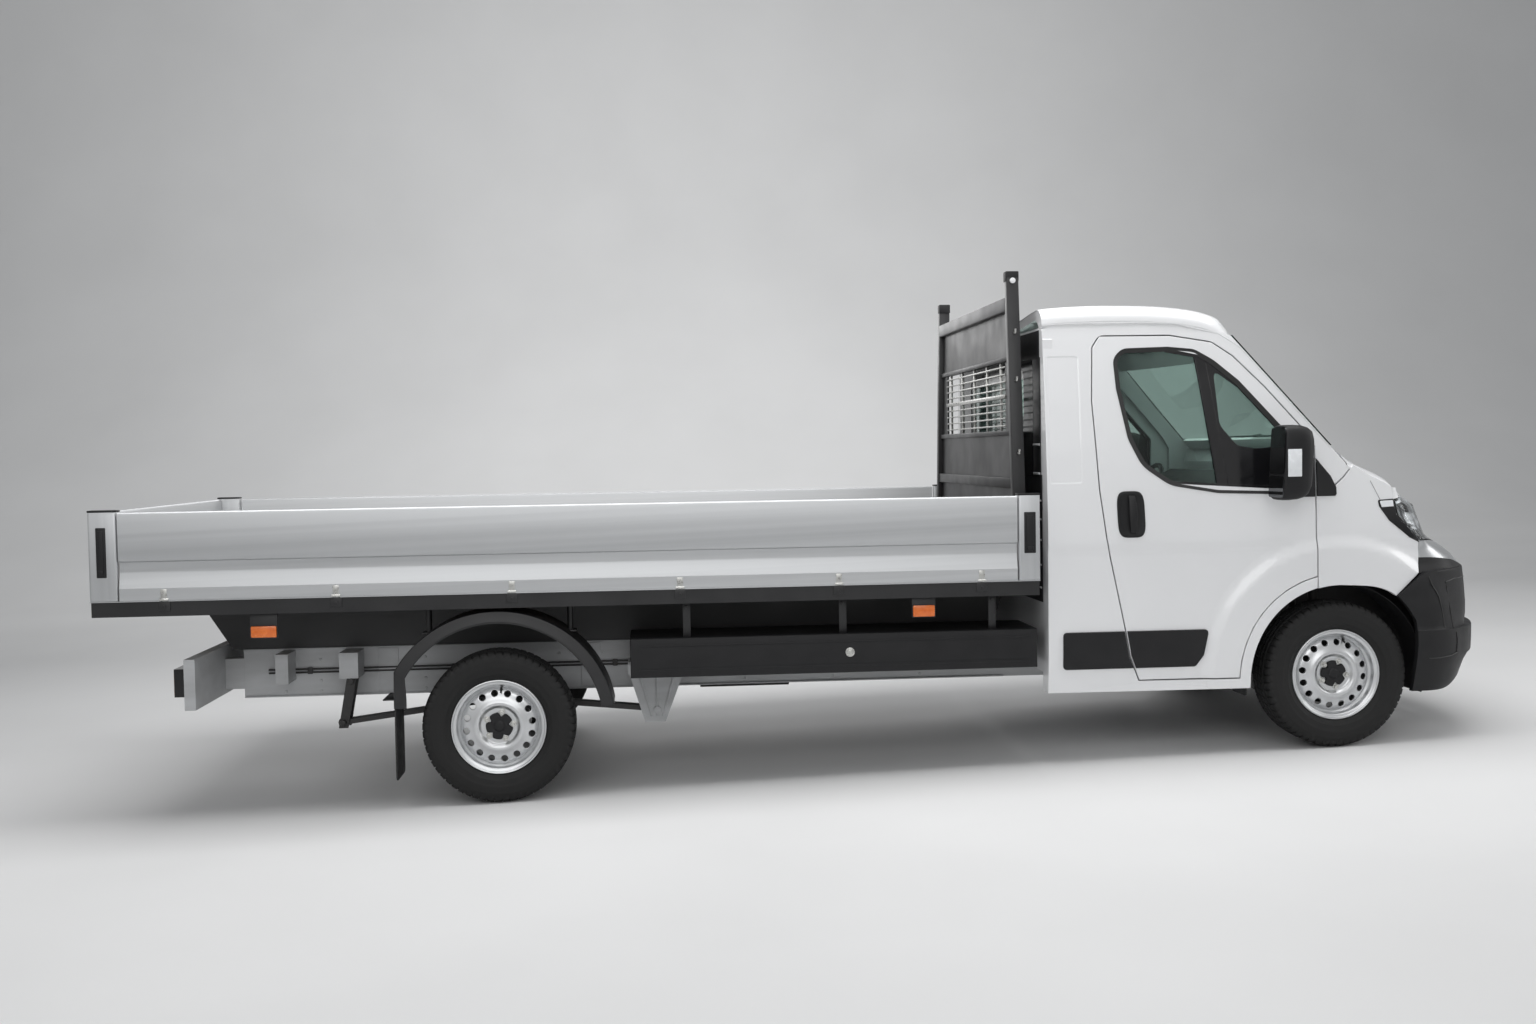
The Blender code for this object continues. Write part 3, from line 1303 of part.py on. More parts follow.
def build():
    clear_scene()
    materials = {
        "paint": make_material("white_paint", (0.85, 0.86, 0.87), 0.18),
        "plastic": make_material("black_plastic", (0.03, 0.03, 0.032), 0.55),
        "glass": make_material("tinted_glass", (0.10, 0.14, 0.13), 0.05, 0.0, 0.5),
        "steel": make_material("silver_steel", (0.62, 0.63, 0.65), 0.30, 0.8),
        "tyre": make_material("tyre_rubber", (0.02, 0.02, 0.02), 0.85),
        "cast": make_material("cast_iron", (0.09, 0.09, 0.09), 0.6, 0.6),
        "alloy": make_material("anodised_aluminium", (0.70, 0.71, 0.72), 0.35, 0.9),
        "black": make_material("black_frame_paint", (0.04, 0.04, 0.045), 0.45),
        "grey": make_material("grey_frame_paint", (0.55, 0.56, 0.57), 0.5),
        "wood": make_material("deck_board", (0.16, 0.11, 0.08), 0.7),
        "trim": make_material("cabin_trim", (0.07, 0.07, 0.08), 0.8),
        "lamp": make_material("lamp_lens", (0.75, 0.77, 0.80), 0.08, 0.0, 0.6),
        "red": make_material("red_lens", (0.55, 0.03, 0.02), 0.15),
    }
    truck = make_empty("truck")
    sprung = make_empty("sprung", truck, (0, 0, HUB_HEIGHT), RAKE)

    for word, side in (("left", 1), ("right", -1)):
        pivot = Vector((0, side * steering_axis(0.0), 0))
        steer = make_empty("steer_" + word, sprung, pivot)
        arm = mirrored(knuckle(), side)
        bmesh.ops.translate(arm, verts=arm.verts, vec=-pivot)
        place("knuckle_" + word, arm, materials["cast"], steer)
        hub = Vector((0, side * FRONT_TRACK / 2, 0)) - pivot
        add_wheel("front_" + word, hub, side, steer, materials)
        add_wheel("rear_" + word, (REAR_HUB[0], side * REAR_TRACK / 2, REAR_HUB[1]), side,
                  sprung, materials)

    fixed = [
        ("chassis_frame", chassis_frame(), "grey"),
        ("front_subframe", front_subframe(), "black"),
        ("engine_block", box(0.020, 0.520, -ENGINE_HALF, ENGINE_HALF, 0.060, 0.600), "cast"),
        ("rear_axle", rear_axle(), "black"),
        ("exhaust", exhaust(), "cast"),
        ("fuel_tank", fuel_tank(), "plastic"),
        ("cab_shell", cab_shell(), "paint"),
        ("cab_floor", cab_floor(), "paint"),
        ("fender_left", fender(1), "paint"),
        ("fender_right", fender(-1), "paint"),
        ("front_bumper", bumper(), "plastic"),
        ("grille", grille(), "plastic"),
        ("headlamp_left", headlamp(1), "lamp"),
        ("headlamp_right", headlamp(-1), "lamp"),
        ("windscreen", windscreen(), "glass"),
        ("rear_window", rear_window(), "glass"),
        ("cowl", cowl(), "plastic"),
        ("dashboard", dashboard(), "trim"),
        ("driver_seat", seat(*DRIVER_SEAT), "trim"),
        ("passenger_bench", seat(*PASSENGER_BENCH), "trim"),
        ("bed_frame", bed_frame(), "black"),
        ("bed_beam_left", bed_beam(1), "black"),
        ("bed_beam_right", bed_beam(-1), "black"),
        ("bed_deck", bed_deck(), "wood"),
        ("headboard", headboard(), "black"),
        ("rear_beam", rear_beam(), "grey"),
    ]
    for word, side in (("left", 1), ("right", -1)):
        fixed += [
            ("post_rear_" + word, corner_post(BED_REAR, REAR_POST, side), "alloy"),
            ("post_front_" + word, corner_post(BED_FRONT - FRONT_POST, FRONT_POST, side), "alloy"),
            ("mudguard_" + word, mudguard(side), "black"),
            ("locker_" + word, locker(side), "plastic"),
            ("tail_lamp_" + word, tail_lamp(side), "red"),
        ]
    for name, shape, finish in fixed:
        place(name, shape, materials[finish], sprung)

    place("bonnet", bonnet(), materials["paint"], sprung,
          (BONNET_REAR - 0.002, 0, bonnet_top(BONNET_REAR, 0) + 0.002))
    place("tailgate", tailgate(), materials["alloy"], sprung,
          (BED_REAR - HINGE_OUT, 0, DECK_TOP + HINGE_UP))
    for word, side in (("left", 1), ("right", -1)):
        hinge = (DOOR_FRONT, side * (CAB_WIDTH / 2 + DOOR_HINGE), 0.5)
        place("door_" + word, door(side), materials["paint"], sprung, hinge)
        place("door_glass_" + word, door_glass(side), materials["glass"], sprung, hinge)
        place("mirror_" + word, mirror(side), materials["plastic"], sprung, hinge)
        place("sideboard_" + word, side_board(side), materials["alloy"], sprung,
              (0, side * (BED_WIDTH / 2 + HINGE_OUT), DECK_TOP + HINGE_UP))
        place("locker_lid_" + word, locker_lid(side), materials["plastic"], sprung,
              (0, side * (LOCKER_OUT + 0.001), LOCKER_BOTTOM))
    centre_on_origin(truck)


def centre_on_origin(truck):
    """Slide the whole truck so that its box is centred over the origin."""
    bpy.context.view_layer.update()
    reach = []
    for part in bpy.data.objects:
        if part.type == "MESH":
            for vert in part.data.vertices:
                reach.append((part.matrix_world @ vert.co).x)
    truck.location.x = -(min(reach) + max(reach)) / 2


build()
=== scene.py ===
# %% [markdown]
# # A drop-side flatbed truck
# The solid model of the truck is already built. It comes in as a frame that is
# never moved, and this lesson dresses it: some solids only get a finish, others
# are replaced by a finer mesh of the same size, and small trim is added.

from math import atan2, cos, degrees, hypot, pi, radians, sin, sqrt

import bmesh
import bpy
from mathutils import Matrix, Vector
from mathutils.geometry import delaunay_2d_cdt


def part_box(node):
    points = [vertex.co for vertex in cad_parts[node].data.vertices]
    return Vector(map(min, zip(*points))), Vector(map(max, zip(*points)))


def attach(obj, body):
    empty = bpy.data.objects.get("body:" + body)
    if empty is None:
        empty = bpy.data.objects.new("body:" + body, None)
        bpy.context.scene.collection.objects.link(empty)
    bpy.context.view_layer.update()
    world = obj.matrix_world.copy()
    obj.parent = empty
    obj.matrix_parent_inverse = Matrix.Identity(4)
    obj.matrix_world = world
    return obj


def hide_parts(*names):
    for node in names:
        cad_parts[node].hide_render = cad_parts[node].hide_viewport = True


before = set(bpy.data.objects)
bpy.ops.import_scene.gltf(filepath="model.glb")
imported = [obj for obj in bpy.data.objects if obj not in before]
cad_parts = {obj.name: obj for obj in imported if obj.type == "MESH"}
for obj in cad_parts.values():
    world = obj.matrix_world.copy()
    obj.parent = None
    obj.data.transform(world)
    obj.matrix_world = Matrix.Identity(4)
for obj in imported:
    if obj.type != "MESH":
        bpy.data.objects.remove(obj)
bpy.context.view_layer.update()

# %% [markdown]
# ## Where things are
# The truck stands a little nose-down, as an empty truck does. Its body was drawn
# level, with zero on the front hubs, and then pitched by 1.9 degrees. The same is
# done here: every piece is drawn in level body numbers, x forwards from the front
# axle, y to the left and z up, and one matrix then pitches it into the world. The
# hubs are read from the frame.

# %% Level body numbers to the world
hub_low, hub_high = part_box("rim_front_left")
rear_low, rear_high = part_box("rim_rear_left")
FRONT_HUB = (hub_low + hub_high) / 2
REAR_HUB = (rear_low + rear_high) / 2
PITCH = radians(1.9)
BODY_TO_WORLD = (Matrix.Translation((FRONT_HUB.x, 0, FRONT_HUB.z))
                 @ Matrix.Rotation(PITCH, 4, "Y"))
RIGHT, LEFT = -1, 1
SIDES = (("left", LEFT), ("right", RIGHT))
print("front hub", [round(v, 3) for v in FRONT_HUB])

# %% [markdown]
# ## The camera
# The photograph was taken from the truck's right, near its rear wheel, with a
# mildly wide lens. One camera was worked out from both wheels and the bed's
# corners, so the render can be laid over the photograph.

# %% Camera
SENSOR, LENS = 36.0, 34.74
HEADING, TILT, ROLL = radians(-4.615), radians(-2.47), radians(2.821)
STAND_AHEAD, STAND_ASIDE, STAND_HIGH = 0.745, -7.917, 1.591
eye = bpy.data.objects.new("camera", bpy.data.cameras.new("camera"))
bpy.context.collection.objects.link(eye)
eye.data.sensor_width = SENSOR
eye.data.lens = LENS
turn = Matrix.Rotation(HEADING, 4, "Z") @ Matrix.Rotation(TILT, 4, "X")
turn = turn @ Matrix.Rotation(ROLL, 4, "Y")
right, forward, up = (turn.to_3x3().col[i] for i in range(3))
stand = Vector((REAR_HUB.x + STAND_AHEAD, STAND_ASIDE, STAND_HIGH))
axes = Matrix((right, up, -forward)).transposed().to_4x4()
eye.matrix_world = Matrix.Translation(stand) @ axes
eye.data.clip_end = 200.0
bpy.context.scene.camera = eye
print("camera stands at", [round(v, 3) for v in stand])

# %% [markdown]
# ## Light
# The truck stands in a studio, on pale paper that curves up behind it. Rays from
# the camera and from shiny surfaces see a pale grey room, while the world's light
# on the truck itself stays soft and plain. A large lamp overhead gives the long
# highlights that show the shape of white paint. Washes from the sides lift the
# dark chassis, and one lamp points at the backdrop and keeps it bright.

# %% World
scene = bpy.context.scene
scene.view_settings.view_transform = "Standard"
world = bpy.data.worlds.new("studio")
scene.world = world
world.use_nodes = True
nodes = world.node_tree.nodes
links = world.node_tree.links
nodes.clear()
path = nodes.new("ShaderNodeLightPath")
soft = nodes.new("ShaderNodeBackground")
soft.inputs["Color"].default_value = (0.86, 0.88, 0.9, 1)
soft.inputs["Strength"].default_value = 0.36
wall = nodes.new("ShaderNodeBackground")
wall.inputs["Color"].default_value = (0.62, 0.62, 0.62, 1)
seen = nodes.new("ShaderNodeMath")
seen.operation = "MAXIMUM"
clear_ray = nodes.new("ShaderNodeMath")
clear_ray.operation = "MAXIMUM"
mixed = nodes.new("ShaderNodeMixShader")
out = nodes.new("ShaderNodeOutputWorld")
links.new(path.outputs["Is Camera Ray"], seen.inputs[0])
links.new(path.outputs["Is Transmission Ray"], seen.inputs[1])
links.new(seen.outputs[0], clear_ray.inputs[0])
links.new(path.outputs["Is Glossy Ray"], clear_ray.inputs[1])
links.new(clear_ray.outputs[0], mixed.inputs[0])
links.new(soft.outputs[0], mixed.inputs[1])
links.new(wall.outputs[0], mixed.inputs[2])
links.new(mixed.outputs[0], out.inputs["Surface"])
print("world", world.name)

# %% [markdown]
# Each lamp is a rectangle with a place, a point that it aims at, two sides and a
# power in watts. Large rectangles are what a studio uses for a whole vehicle.

# %% Lamps
def lamp(name, place, aim, width, height, watts):
    data = bpy.data.lights.new(name, "AREA")
    data.shape = "RECTANGLE"
    data.size = width
    data.size_y = height
    data.energy = watts
    holder = bpy.data.objects.new(name, data)
    bpy.context.collection.objects.link(holder)
    holder.location = place
    holder.rotation_euler = (Vector(aim) - Vector(place)).to_track_quat("-Z", "Y").to_euler()


lamp("overhead", (0.0, -1.0, 5.2), (0.0, 0.0, 0.5), 9.0, 3.0, 300)
lamp("front_wash", (-1.0, -7.5, 4.2), (0.3, 0.0, 0.9), 8.0, 3.0, 140)
lamp("far_wash", (0.0, 7.0, 4.0), (0.0, 0.0, 0.9), 8.0, 3.0, 160)
lamp("wall_wash", (0.0, 8.0, 7.2), (0.0, 20.0, 3.5), 12.0, 2.5, 700)
lamp("nose_wash", (8.0, -2.0, 3.0), (2.8, 0.0, 0.8), 3.0, 3.0, 90)
print("lamps", len(bpy.data.lights))

# %% [markdown]
# ## Finishes
# Each finish is a Principled shader with a little procedural variation: nothing
# real has one flat colour. A small helper makes the shader and hands back its
# nodes, and each finish then adds what that material shows: the fine grain of
# moulded plastic, the drawn lines of extruded aluminium, dust on a chassis.

# %% Helpers for finishes
def finish_base(name, colour, roughness, metallic=0.0):
    material = bpy.data.materials.new(name)
    material.use_nodes = True
    shader = material.node_tree.nodes["Principled BSDF"]
    shader.inputs["Base Color"].default_value = (*colour, 1)
    shader.inputs["Roughness"].default_value = roughness
    shader.inputs["Metallic"].default_value = metallic
    return material, shader


def stretched(tree, scale):
    """Object-space position stretched along each axis."""
    where = tree.nodes.new("ShaderNodeTexCoord")
    mapping = tree.nodes.new("ShaderNodeMapping")
    mapping.inputs["Scale"].default_value = scale
    tree.links.new(where.outputs["Object"], mapping.inputs["Vector"])
    return mapping.outputs["Vector"]


def noise(tree, scale, detail=3.0, stretch=(1, 1, 1)):
    texture = tree.nodes.new("ShaderNodeTexNoise")
    texture.inputs["Scale"].default_value = scale
    texture.inputs["Detail"].default_value = detail
    tree.links.new(stretched(tree, stretch), texture.inputs["Vector"])
    return texture.outputs["Fac"]


def ramp(tree, factor, low, high, start=0.3, end=0.7):
    """Spread a 0 to 1 pattern over two colours or greys."""
    steps = tree.nodes.new("ShaderNodeValToRGB")
    steps.color_ramp.elements[0].position = start
    steps.color_ramp.elements[1].position = end
    steps.color_ramp.elements[0].color = low if len(low) == 4 else (*low, 1)
    steps.color_ramp.elements[1].color = high if len(high) == 4 else (*high, 1)
    tree.links.new(factor, steps.inputs["Fac"])
    return steps.outputs["Color"]


def relief(tree, shader, height, strength, distance):
    bump = tree.nodes.new("ShaderNodeBump")
    bump.inputs["Strength"].default_value = strength
    bump.inputs["Distance"].default_value = distance
    tree.links.new(height, bump.inputs["Height"])
    tree.links.new(bump.outputs["Normal"], shader.inputs["Normal"])


def varied(material, shader, colours, roughness, scale, stretch=(1, 1, 1), detail=4.0):
    """Let colour and roughness drift between two values."""
    tree = material.node_tree
    pattern = noise(tree, scale, detail, stretch)
    tree.links.new(ramp(tree, pattern, *colours), shader.inputs["Base Color"])
    low, high = roughness
    grey = ramp(tree, pattern, (low, low, low), (high, high, high))
    tree.links.new(grey, shader.inputs["Roughness"])
    return tree, pattern

# %% [markdown]
# White paint is a coloured base under clear lacquer. The lacquer is the shader's
# coat, and the faint waviness of sprayed paint is a very low bump.

# %% White paint
paint, shader = finish_base("white_paint", (0.8, 0.805, 0.815), 0.32)
shader.inputs["Coat Weight"].default_value = 0.8
shader.inputs["Coat Roughness"].default_value = 0.04
tree, _ = varied(paint, shader, ((0.79, 0.795, 0.805), (0.81, 0.815, 0.825)), (0.28, 0.36), 1.4)
relief(tree, shader, noise(tree, 220.0, 1.0), 0.04, 0.0004)
print("finish", paint.name)

# %% [markdown]
# The bumper, the mirror heads and the side trims are moulded in grained black
# plastic. The grain is a fine cell pattern, a millimetre or so across. Smooth
# trims shine more, and window seals are dull rubber.

# %% Moulded black plastic and rubber
plastic, shader = finish_base("moulded_plastic", (0.009, 0.009, 0.01), 0.5)
shader.inputs["Specular IOR Level"].default_value = 0.32
tree, _ = varied(plastic, shader, ((0.007, 0.007, 0.008), (0.012, 0.012, 0.013)),
                 (0.46, 0.58), 9.0)
cells = tree.nodes.new("ShaderNodeTexVoronoi")
cells.inputs["Scale"].default_value = 900.0
tree.links.new(stretched(tree, (1, 1, 1)), cells.inputs["Vector"])
relief(tree, shader, cells.outputs["Distance"], 0.25, 0.0003)

gloss_black, shader = finish_base("gloss_black_trim", (0.008, 0.008, 0.009), 0.12)
varied(gloss_black, shader, ((0.006, 0.006, 0.007), (0.01, 0.01, 0.011)), (0.08, 0.18), 12.0)

seal, shader = finish_base("rubber_seal", (0.012, 0.012, 0.012), 0.6)
varied(seal, shader, ((0.01, 0.01, 0.01), (0.016, 0.016, 0.016)), (0.5, 0.7), 20.0)
print("finishes", plastic.name, gloss_black.name, seal.name)

# %% [markdown]
# The bed frame, headboard and mudguards are powder coated black. Powder coat is
# satin with a fine orange-peel skin.

# %% Powder-coated black steel
powder, shader = finish_base("black_powder_coat", (0.012, 0.012, 0.013), 0.42)
tree, _ = varied(powder, shader, ((0.009, 0.009, 0.01), (0.015, 0.015, 0.016)), (0.36, 0.48), 6.0)
relief(tree, shader, noise(tree, 420.0, 2.0), 0.12, 0.0004)
print("finish", powder.name)

# %% [markdown]
# The boards are extruded aluminium, anodised. The die leaves long fine lines, so
# the noise is stretched far along the truck for the sides, across it for the
# tailgate and upwards for the corner posts.

# %% Anodised aluminium
def drawn_aluminium(name, stretch):
    material, shade = finish_base(name, (0.5, 0.51, 0.52), 0.44, 0.8)
    layers, _ = varied(material, shade, ((0.46, 0.47, 0.48), (0.54, 0.55, 0.56)), (0.42, 0.5),
                       3.0, stretch, 5.0)
    relief(layers, shade, noise(layers, 60.0, 4.0, stretch), 0.1, 0.0005)
    return material


alloy_along = drawn_aluminium("aluminium_drawn_along", (0.02, 1.0, 9.0))
alloy_across = drawn_aluminium("aluminium_drawn_across", (1.0, 0.02, 9.0))
alloy_upright = drawn_aluminium("aluminium_drawn_upright", (9.0, 9.0, 0.05))
print("finishes", alloy_along.name, alloy_across.name, alloy_upright.name)

# %% [markdown]
# Steel wheels are painted silver, and the nose's corners have a darker silver
# lacquer. Tyres are matt black rubber. Bolts, hooks and clips are zinc plated.

# %% Wheels and rubber
silver, shader = finish_base("silver_wheel_paint", (0.58, 0.59, 0.6), 0.3, 0.85)
varied(silver, shader, ((0.57, 0.58, 0.59), (0.6, 0.61, 0.62)), (0.29, 0.33), 3.0)

nose_silver, shader = finish_base("silver_grey_lacquer", (0.42, 0.43, 0.44), 0.3, 0.55)
shader.inputs["Coat Weight"].default_value = 0.6
varied(nose_silver, shader, ((0.38, 0.39, 0.4), (0.46, 0.47, 0.48)), (0.26, 0.36), 4.0)

rubber, shader = finish_base("tyre_rubber", (0.009, 0.009, 0.009), 0.7)
shader.inputs["Specular IOR Level"].default_value = 0.35
tree, _ = varied(rubber, shader, ((0.007, 0.007, 0.007), (0.012, 0.012, 0.012)),
                 (0.62, 0.78), 25.0)
relief(tree, shader, noise(tree, 350.0, 3.0), 0.2, 0.0004)

zinc, shader = finish_base("zinc_plated_steel", (0.52, 0.52, 0.5), 0.3, 0.9)
varied(zinc, shader, ((0.46, 0.46, 0.44), (0.58, 0.58, 0.56)), (0.22, 0.4), 60.0)
print("finishes", silver.name, nose_silver.name, rubber.name, zinc.name)

# %% [markdown]
# The long rails are primed and painted pale grey, with a film of road dust.
# Castings and the exhaust are dark and rough. The headboard's top rail is a
# satin grey, a little paler than the powder coat around it.

# %% Chassis paint, castings and steel
chassis_grey, shader = finish_base("pale_grey_chassis", (0.46, 0.47, 0.48), 0.45)
tree, _ = varied(chassis_grey, shader, ((0.38, 0.385, 0.39), (0.52, 0.53, 0.54)), (0.38, 0.55), 5.0,
                 (0.5, 1, 2))
relief(tree, shader, noise(tree, 90.0, 4.0), 0.06, 0.0006)

rail_grey, shader = finish_base("satin_grey_top_rail", (0.07, 0.07, 0.073), 0.42)
varied(rail_grey, shader, ((0.06, 0.06, 0.063), (0.08, 0.08, 0.083)), (0.36, 0.48), 7.0)

casting, shader = finish_base("dark_casting", (0.05, 0.05, 0.05), 0.55, 0.5)
tree, _ = varied(casting, shader, ((0.035, 0.034, 0.033), (0.075, 0.072, 0.068)),
                 (0.45, 0.7), 30.0)
relief(tree, shader, noise(tree, 260.0, 4.0), 0.3, 0.0008)

satin_black, shader = finish_base("black_chassis_paint", (0.018, 0.018, 0.019), 0.42)
varied(satin_black, shader, ((0.014, 0.014, 0.015), (0.028, 0.027, 0.026)), (0.36, 0.55), 16.0)
print("finishes", chassis_grey.name, rail_grey.name, casting.name, satin_black.name)

# %% [markdown]
# The deck is film-faced plywood: a dark brown film pressed with a fine grid so
# that boots grip. The cabin is grained trim and a woven seat cloth.

# %% Deck and cabin
deck_film, shader = finish_base("film_faced_plywood", (0.075, 0.05, 0.036), 0.5)
tree, _ = varied(deck_film, shader, ((0.06, 0.04, 0.029), (0.095, 0.066, 0.049)),
                 (0.42, 0.58), 3.0)
grid = tree.nodes.new("ShaderNodeTexVoronoi")
grid.feature = "DISTANCE_TO_EDGE"
grid.inputs["Scale"].default_value = 160.0
tree.links.new(stretched(tree, (1, 1, 1)), grid.inputs["Vector"])
relief(tree, shader, grid.outputs["Distance"], 0.35, 0.0006)

trim, shader = finish_base("grained_cabin_trim", (0.035, 0.036, 0.039), 0.62)
tree, _ = varied(trim, shader, ((0.03, 0.031, 0.033), (0.044, 0.045, 0.048)), (0.55, 0.7), 8.0)
relief(tree, shader, noise(tree, 600.0, 2.0), 0.2, 0.0003)

seat_cloth, shader = finish_base("woven_seat_cloth", (0.045, 0.047, 0.053), 0.85)
shader.inputs["Sheen Weight"].default_value = 0.35
tree, _ = varied(seat_cloth, shader, ((0.036, 0.038, 0.043), (0.058, 0.06, 0.067)),
                 (0.78, 0.92), 40.0)
weave = tree.nodes.new("ShaderNodeTexWave")
weave.inputs["Scale"].default_value = 130.0
weave.inputs["Distortion"].default_value = 1.0
tree.links.new(stretched(tree, (1, 1, 1)), weave.inputs["Vector"])
relief(tree, shader, weave.outputs["Fac"], 0.3, 0.0006)
print("finishes", deck_film.name, trim.name, seat_cloth.name)

# %% [markdown]
# Cab glass is tinted green in the mass. Real tinted glass is a clear slab, and a
# thin slab in a render is best kept simple: a little colour, full transmission
# and a low roughness. Lamp reflectors are chromed. The mirrors' glass is a dark
# metal: its darkness is a painted reflection of the dark studio behind the camera.

# %% Glass and mirrors
def clear_finish(name, colour, roughness, ior):
    material, shade = finish_base(name, colour, roughness)
    shade.inputs["Transmission Weight"].default_value = 1.0
    shade.inputs["IOR"].default_value = ior
    layers = material.node_tree
    tint = ramp(layers, noise(layers, 2.0), colour, tuple(min(1.0, c * 1.04) for c in colour))
    layers.links.new(tint, shade.inputs["Base Color"])
    return material


cab_glass = clear_finish("green_tinted_glass", (0.58, 0.7, 0.66), 0.02, 1.3)
lens = clear_finish("clear_lens", (0.92, 0.94, 0.95), 0.03, 1.2)
chrome, shader = finish_base("chromed_reflector", (0.8, 0.81, 0.82), 0.08, 1.0)
varied(chrome, shader, ((0.76, 0.77, 0.78), (0.84, 0.85, 0.86)), (0.05, 0.12), 30.0)

# Painted reflection: the mirror glass is darkened to show a dark room behind the camera.
mirror_glass, shader = finish_base("mirror_glass_painted_reflection", (0.1, 0.105, 0.11), 0.06, 1.0)
varied(mirror_glass, shader, ((0.09, 0.095, 0.1), (0.11, 0.115, 0.12)), (0.04, 0.08), 6.0)
print("finishes", cab_glass.name, lens.name, chrome.name, mirror_glass.name)

# %% [markdown]
# Light guides, marker lamps and tail lamps are white, amber or red plastic with
# small prisms moulded into the back of the lens. A cell pattern as a bump gives
# their broken sparkle.

# %% Light guides and lamp plastics
def lit_plastic(name, low, high):
    material, shade = finish_base(name, high, 0.22)
    shade.inputs["Coat Weight"].default_value = 0.6
    layers, _ = varied(material, shade, (low, high), (0.18, 0.3), 30.0)
    prism = layers.nodes.new("ShaderNodeTexVoronoi")
    prism.inputs["Scale"].default_value = 240.0
    layers.links.new(stretched(layers, (1, 1, 1)), prism.inputs["Vector"])
    relief(layers, shade, prism.outputs["Distance"], 0.5, 0.001)
    return material


daylight = lit_plastic("white_light_guide", (0.8, 0.82, 0.84), (0.88, 0.9, 0.92))
amber = lit_plastic("amber_marker_lens", (0.7, 0.13, 0.01), (0.86, 0.2, 0.02))
red = lit_plastic("red_lamp_lens", (0.38, 0.01, 0.01), (0.52, 0.02, 0.015))
print("finishes", len(bpy.data.materials))

# %% [markdown]
# ## Making meshes
# Every new piece is drawn as a small bmesh, in level body numbers where that is
# easier, and then handed to `add_piece`. That one function pitches it into the
# world, gives it its finish, and says which moving body it rides on and which
# plain solid it stands for.

# %% Helpers for meshes
def add_piece(name, shape, finish, body="chassis", stands_for=(), pitched=True, crease=32.0):
    if pitched:
        bmesh.ops.transform(shape, matrix=BODY_TO_WORLD, verts=shape.verts)
    bmesh.ops.recalc_face_normals(shape, faces=shape.faces)
    mesh = bpy.data.meshes.new(name)
    shape.to_mesh(mesh)
    shape.free()
    mesh.materials.append(finish)
    mesh.shade_smooth()
    mesh.set_sharp_from_angle(angle=radians(crease))
    made = bpy.data.objects.new(name, mesh)
    bpy.context.collection.objects.link(made)
    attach(made, body)
    if stands_for:
        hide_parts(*stands_for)
    return made


def flip(shape, side):
    """Pieces are drawn on the left and turned over for the right."""
    if side == RIGHT:
        bmesh.ops.scale(shape, vec=(1, -1, 1), verts=shape.verts)
        bmesh.ops.reverse_faces(shape, faces=shape.faces)
    return shape


def add_pair(name, make, finish, body="chassis", stands_for=(), crease=32.0):
    """The same piece on both sides; a star in another name stands for the side."""
    for word, side in SIDES:
        solids = [solid.replace("*", word) for solid in stands_for]
        add_piece(name + word, flip(make(), side), finish, body.replace("*", word), solids,
                  crease=crease)


def gather(*shapes):
    """Put several closed shapes into one."""
    whole = bmesh.new()
    for shape in shapes:
        carrier = bpy.data.meshes.new("carrier")
        shape.to_mesh(carrier)
        shape.free()
        whole.from_mesh(carrier)
        bpy.data.meshes.remove(carrier)
    return whole

# %% [markdown]
# Brackets, straps and bolts are cut from bar, plate and tube. Four small makers
# draw them: an outline pushed along one axis, a box, a round bar between two
# points and a bent bar. Their edges are softened, because no real edge is sharp.

# %% Bars, plates and tubes
def soften(shape, width, segments=2, angle=28.0):
    """Round every edge sharper than an angle."""
    edges = [e for e in shape.edges
             if len(e.link_faces) == 2 and degrees(e.calc_face_angle(0.0)) > angle]
    bmesh.ops.bevel(shape, geom=edges, offset=width, segments=segments, profile=0.5,
                    affect="EDGES", clamp_overlap=True)
    return shape


def prism(outline, axis, low, high, round_by=0.0, segments=2):
    """Extrude an outline: axis x takes (y, z), y takes (x, z), z takes (x, y)."""
    spread = {"x": lambda a, b, d: (d, a, b), "y": lambda a, b, d: (a, d, b),
              "z": lambda a, b, d: (a, b, d)}[axis]
    shape = bmesh.new()
    near = [shape.verts.new(spread(a, b, low)) for a, b in outline]
    far = [shape.verts.new(spread(a, b, high)) for a, b in outline]
    shape.faces.new(near)
    shape.faces.new(far)
    for i in range(len(outline)):
        shape.faces.new((near[i], near[i - 1], far[i - 1], far[i]))
    bmesh.ops.recalc_face_normals(shape, faces=shape.faces)
    if round_by:
        soften(shape, round_by, segments)
    return shape


def block(x, y, z, round_by=0.003, segments=2):
    """A box from three (low, high) pairs, with softened edges."""
    outline = [(x[0], y[0]), (x[1], y[0]), (x[1], y[1]), (x[0], y[1])]
    return prism(outline, "z", z[0], z[1], round_by, segments)


def rod(start, end, radius, sides=16, cap=0.0):
    start, end = Vector(start), Vector(end)
    shape = bmesh.new()
    bmesh.ops.create_cone(shape, cap_ends=True, segments=sides, radius1=radius,
                          radius2=radius, depth=(end - start).length)
    turn = (end - start).to_track_quat("Z", "Y").to_matrix().to_4x4()
    bmesh.ops.transform(shape, matrix=Matrix.Translation((start + end) / 2) @ turn,
                        verts=shape.verts)
    if cap:
        soften(shape, cap, 2, 60.0)
    return shape


def sew(shape, rings):
    """Faces between neighbouring rings of equal length."""
    for a, b in zip(rings, rings[1:]):
        for k in range(len(a)):
            shape.faces.new((a[k], a[k - 1], b[k - 1], b[k]))


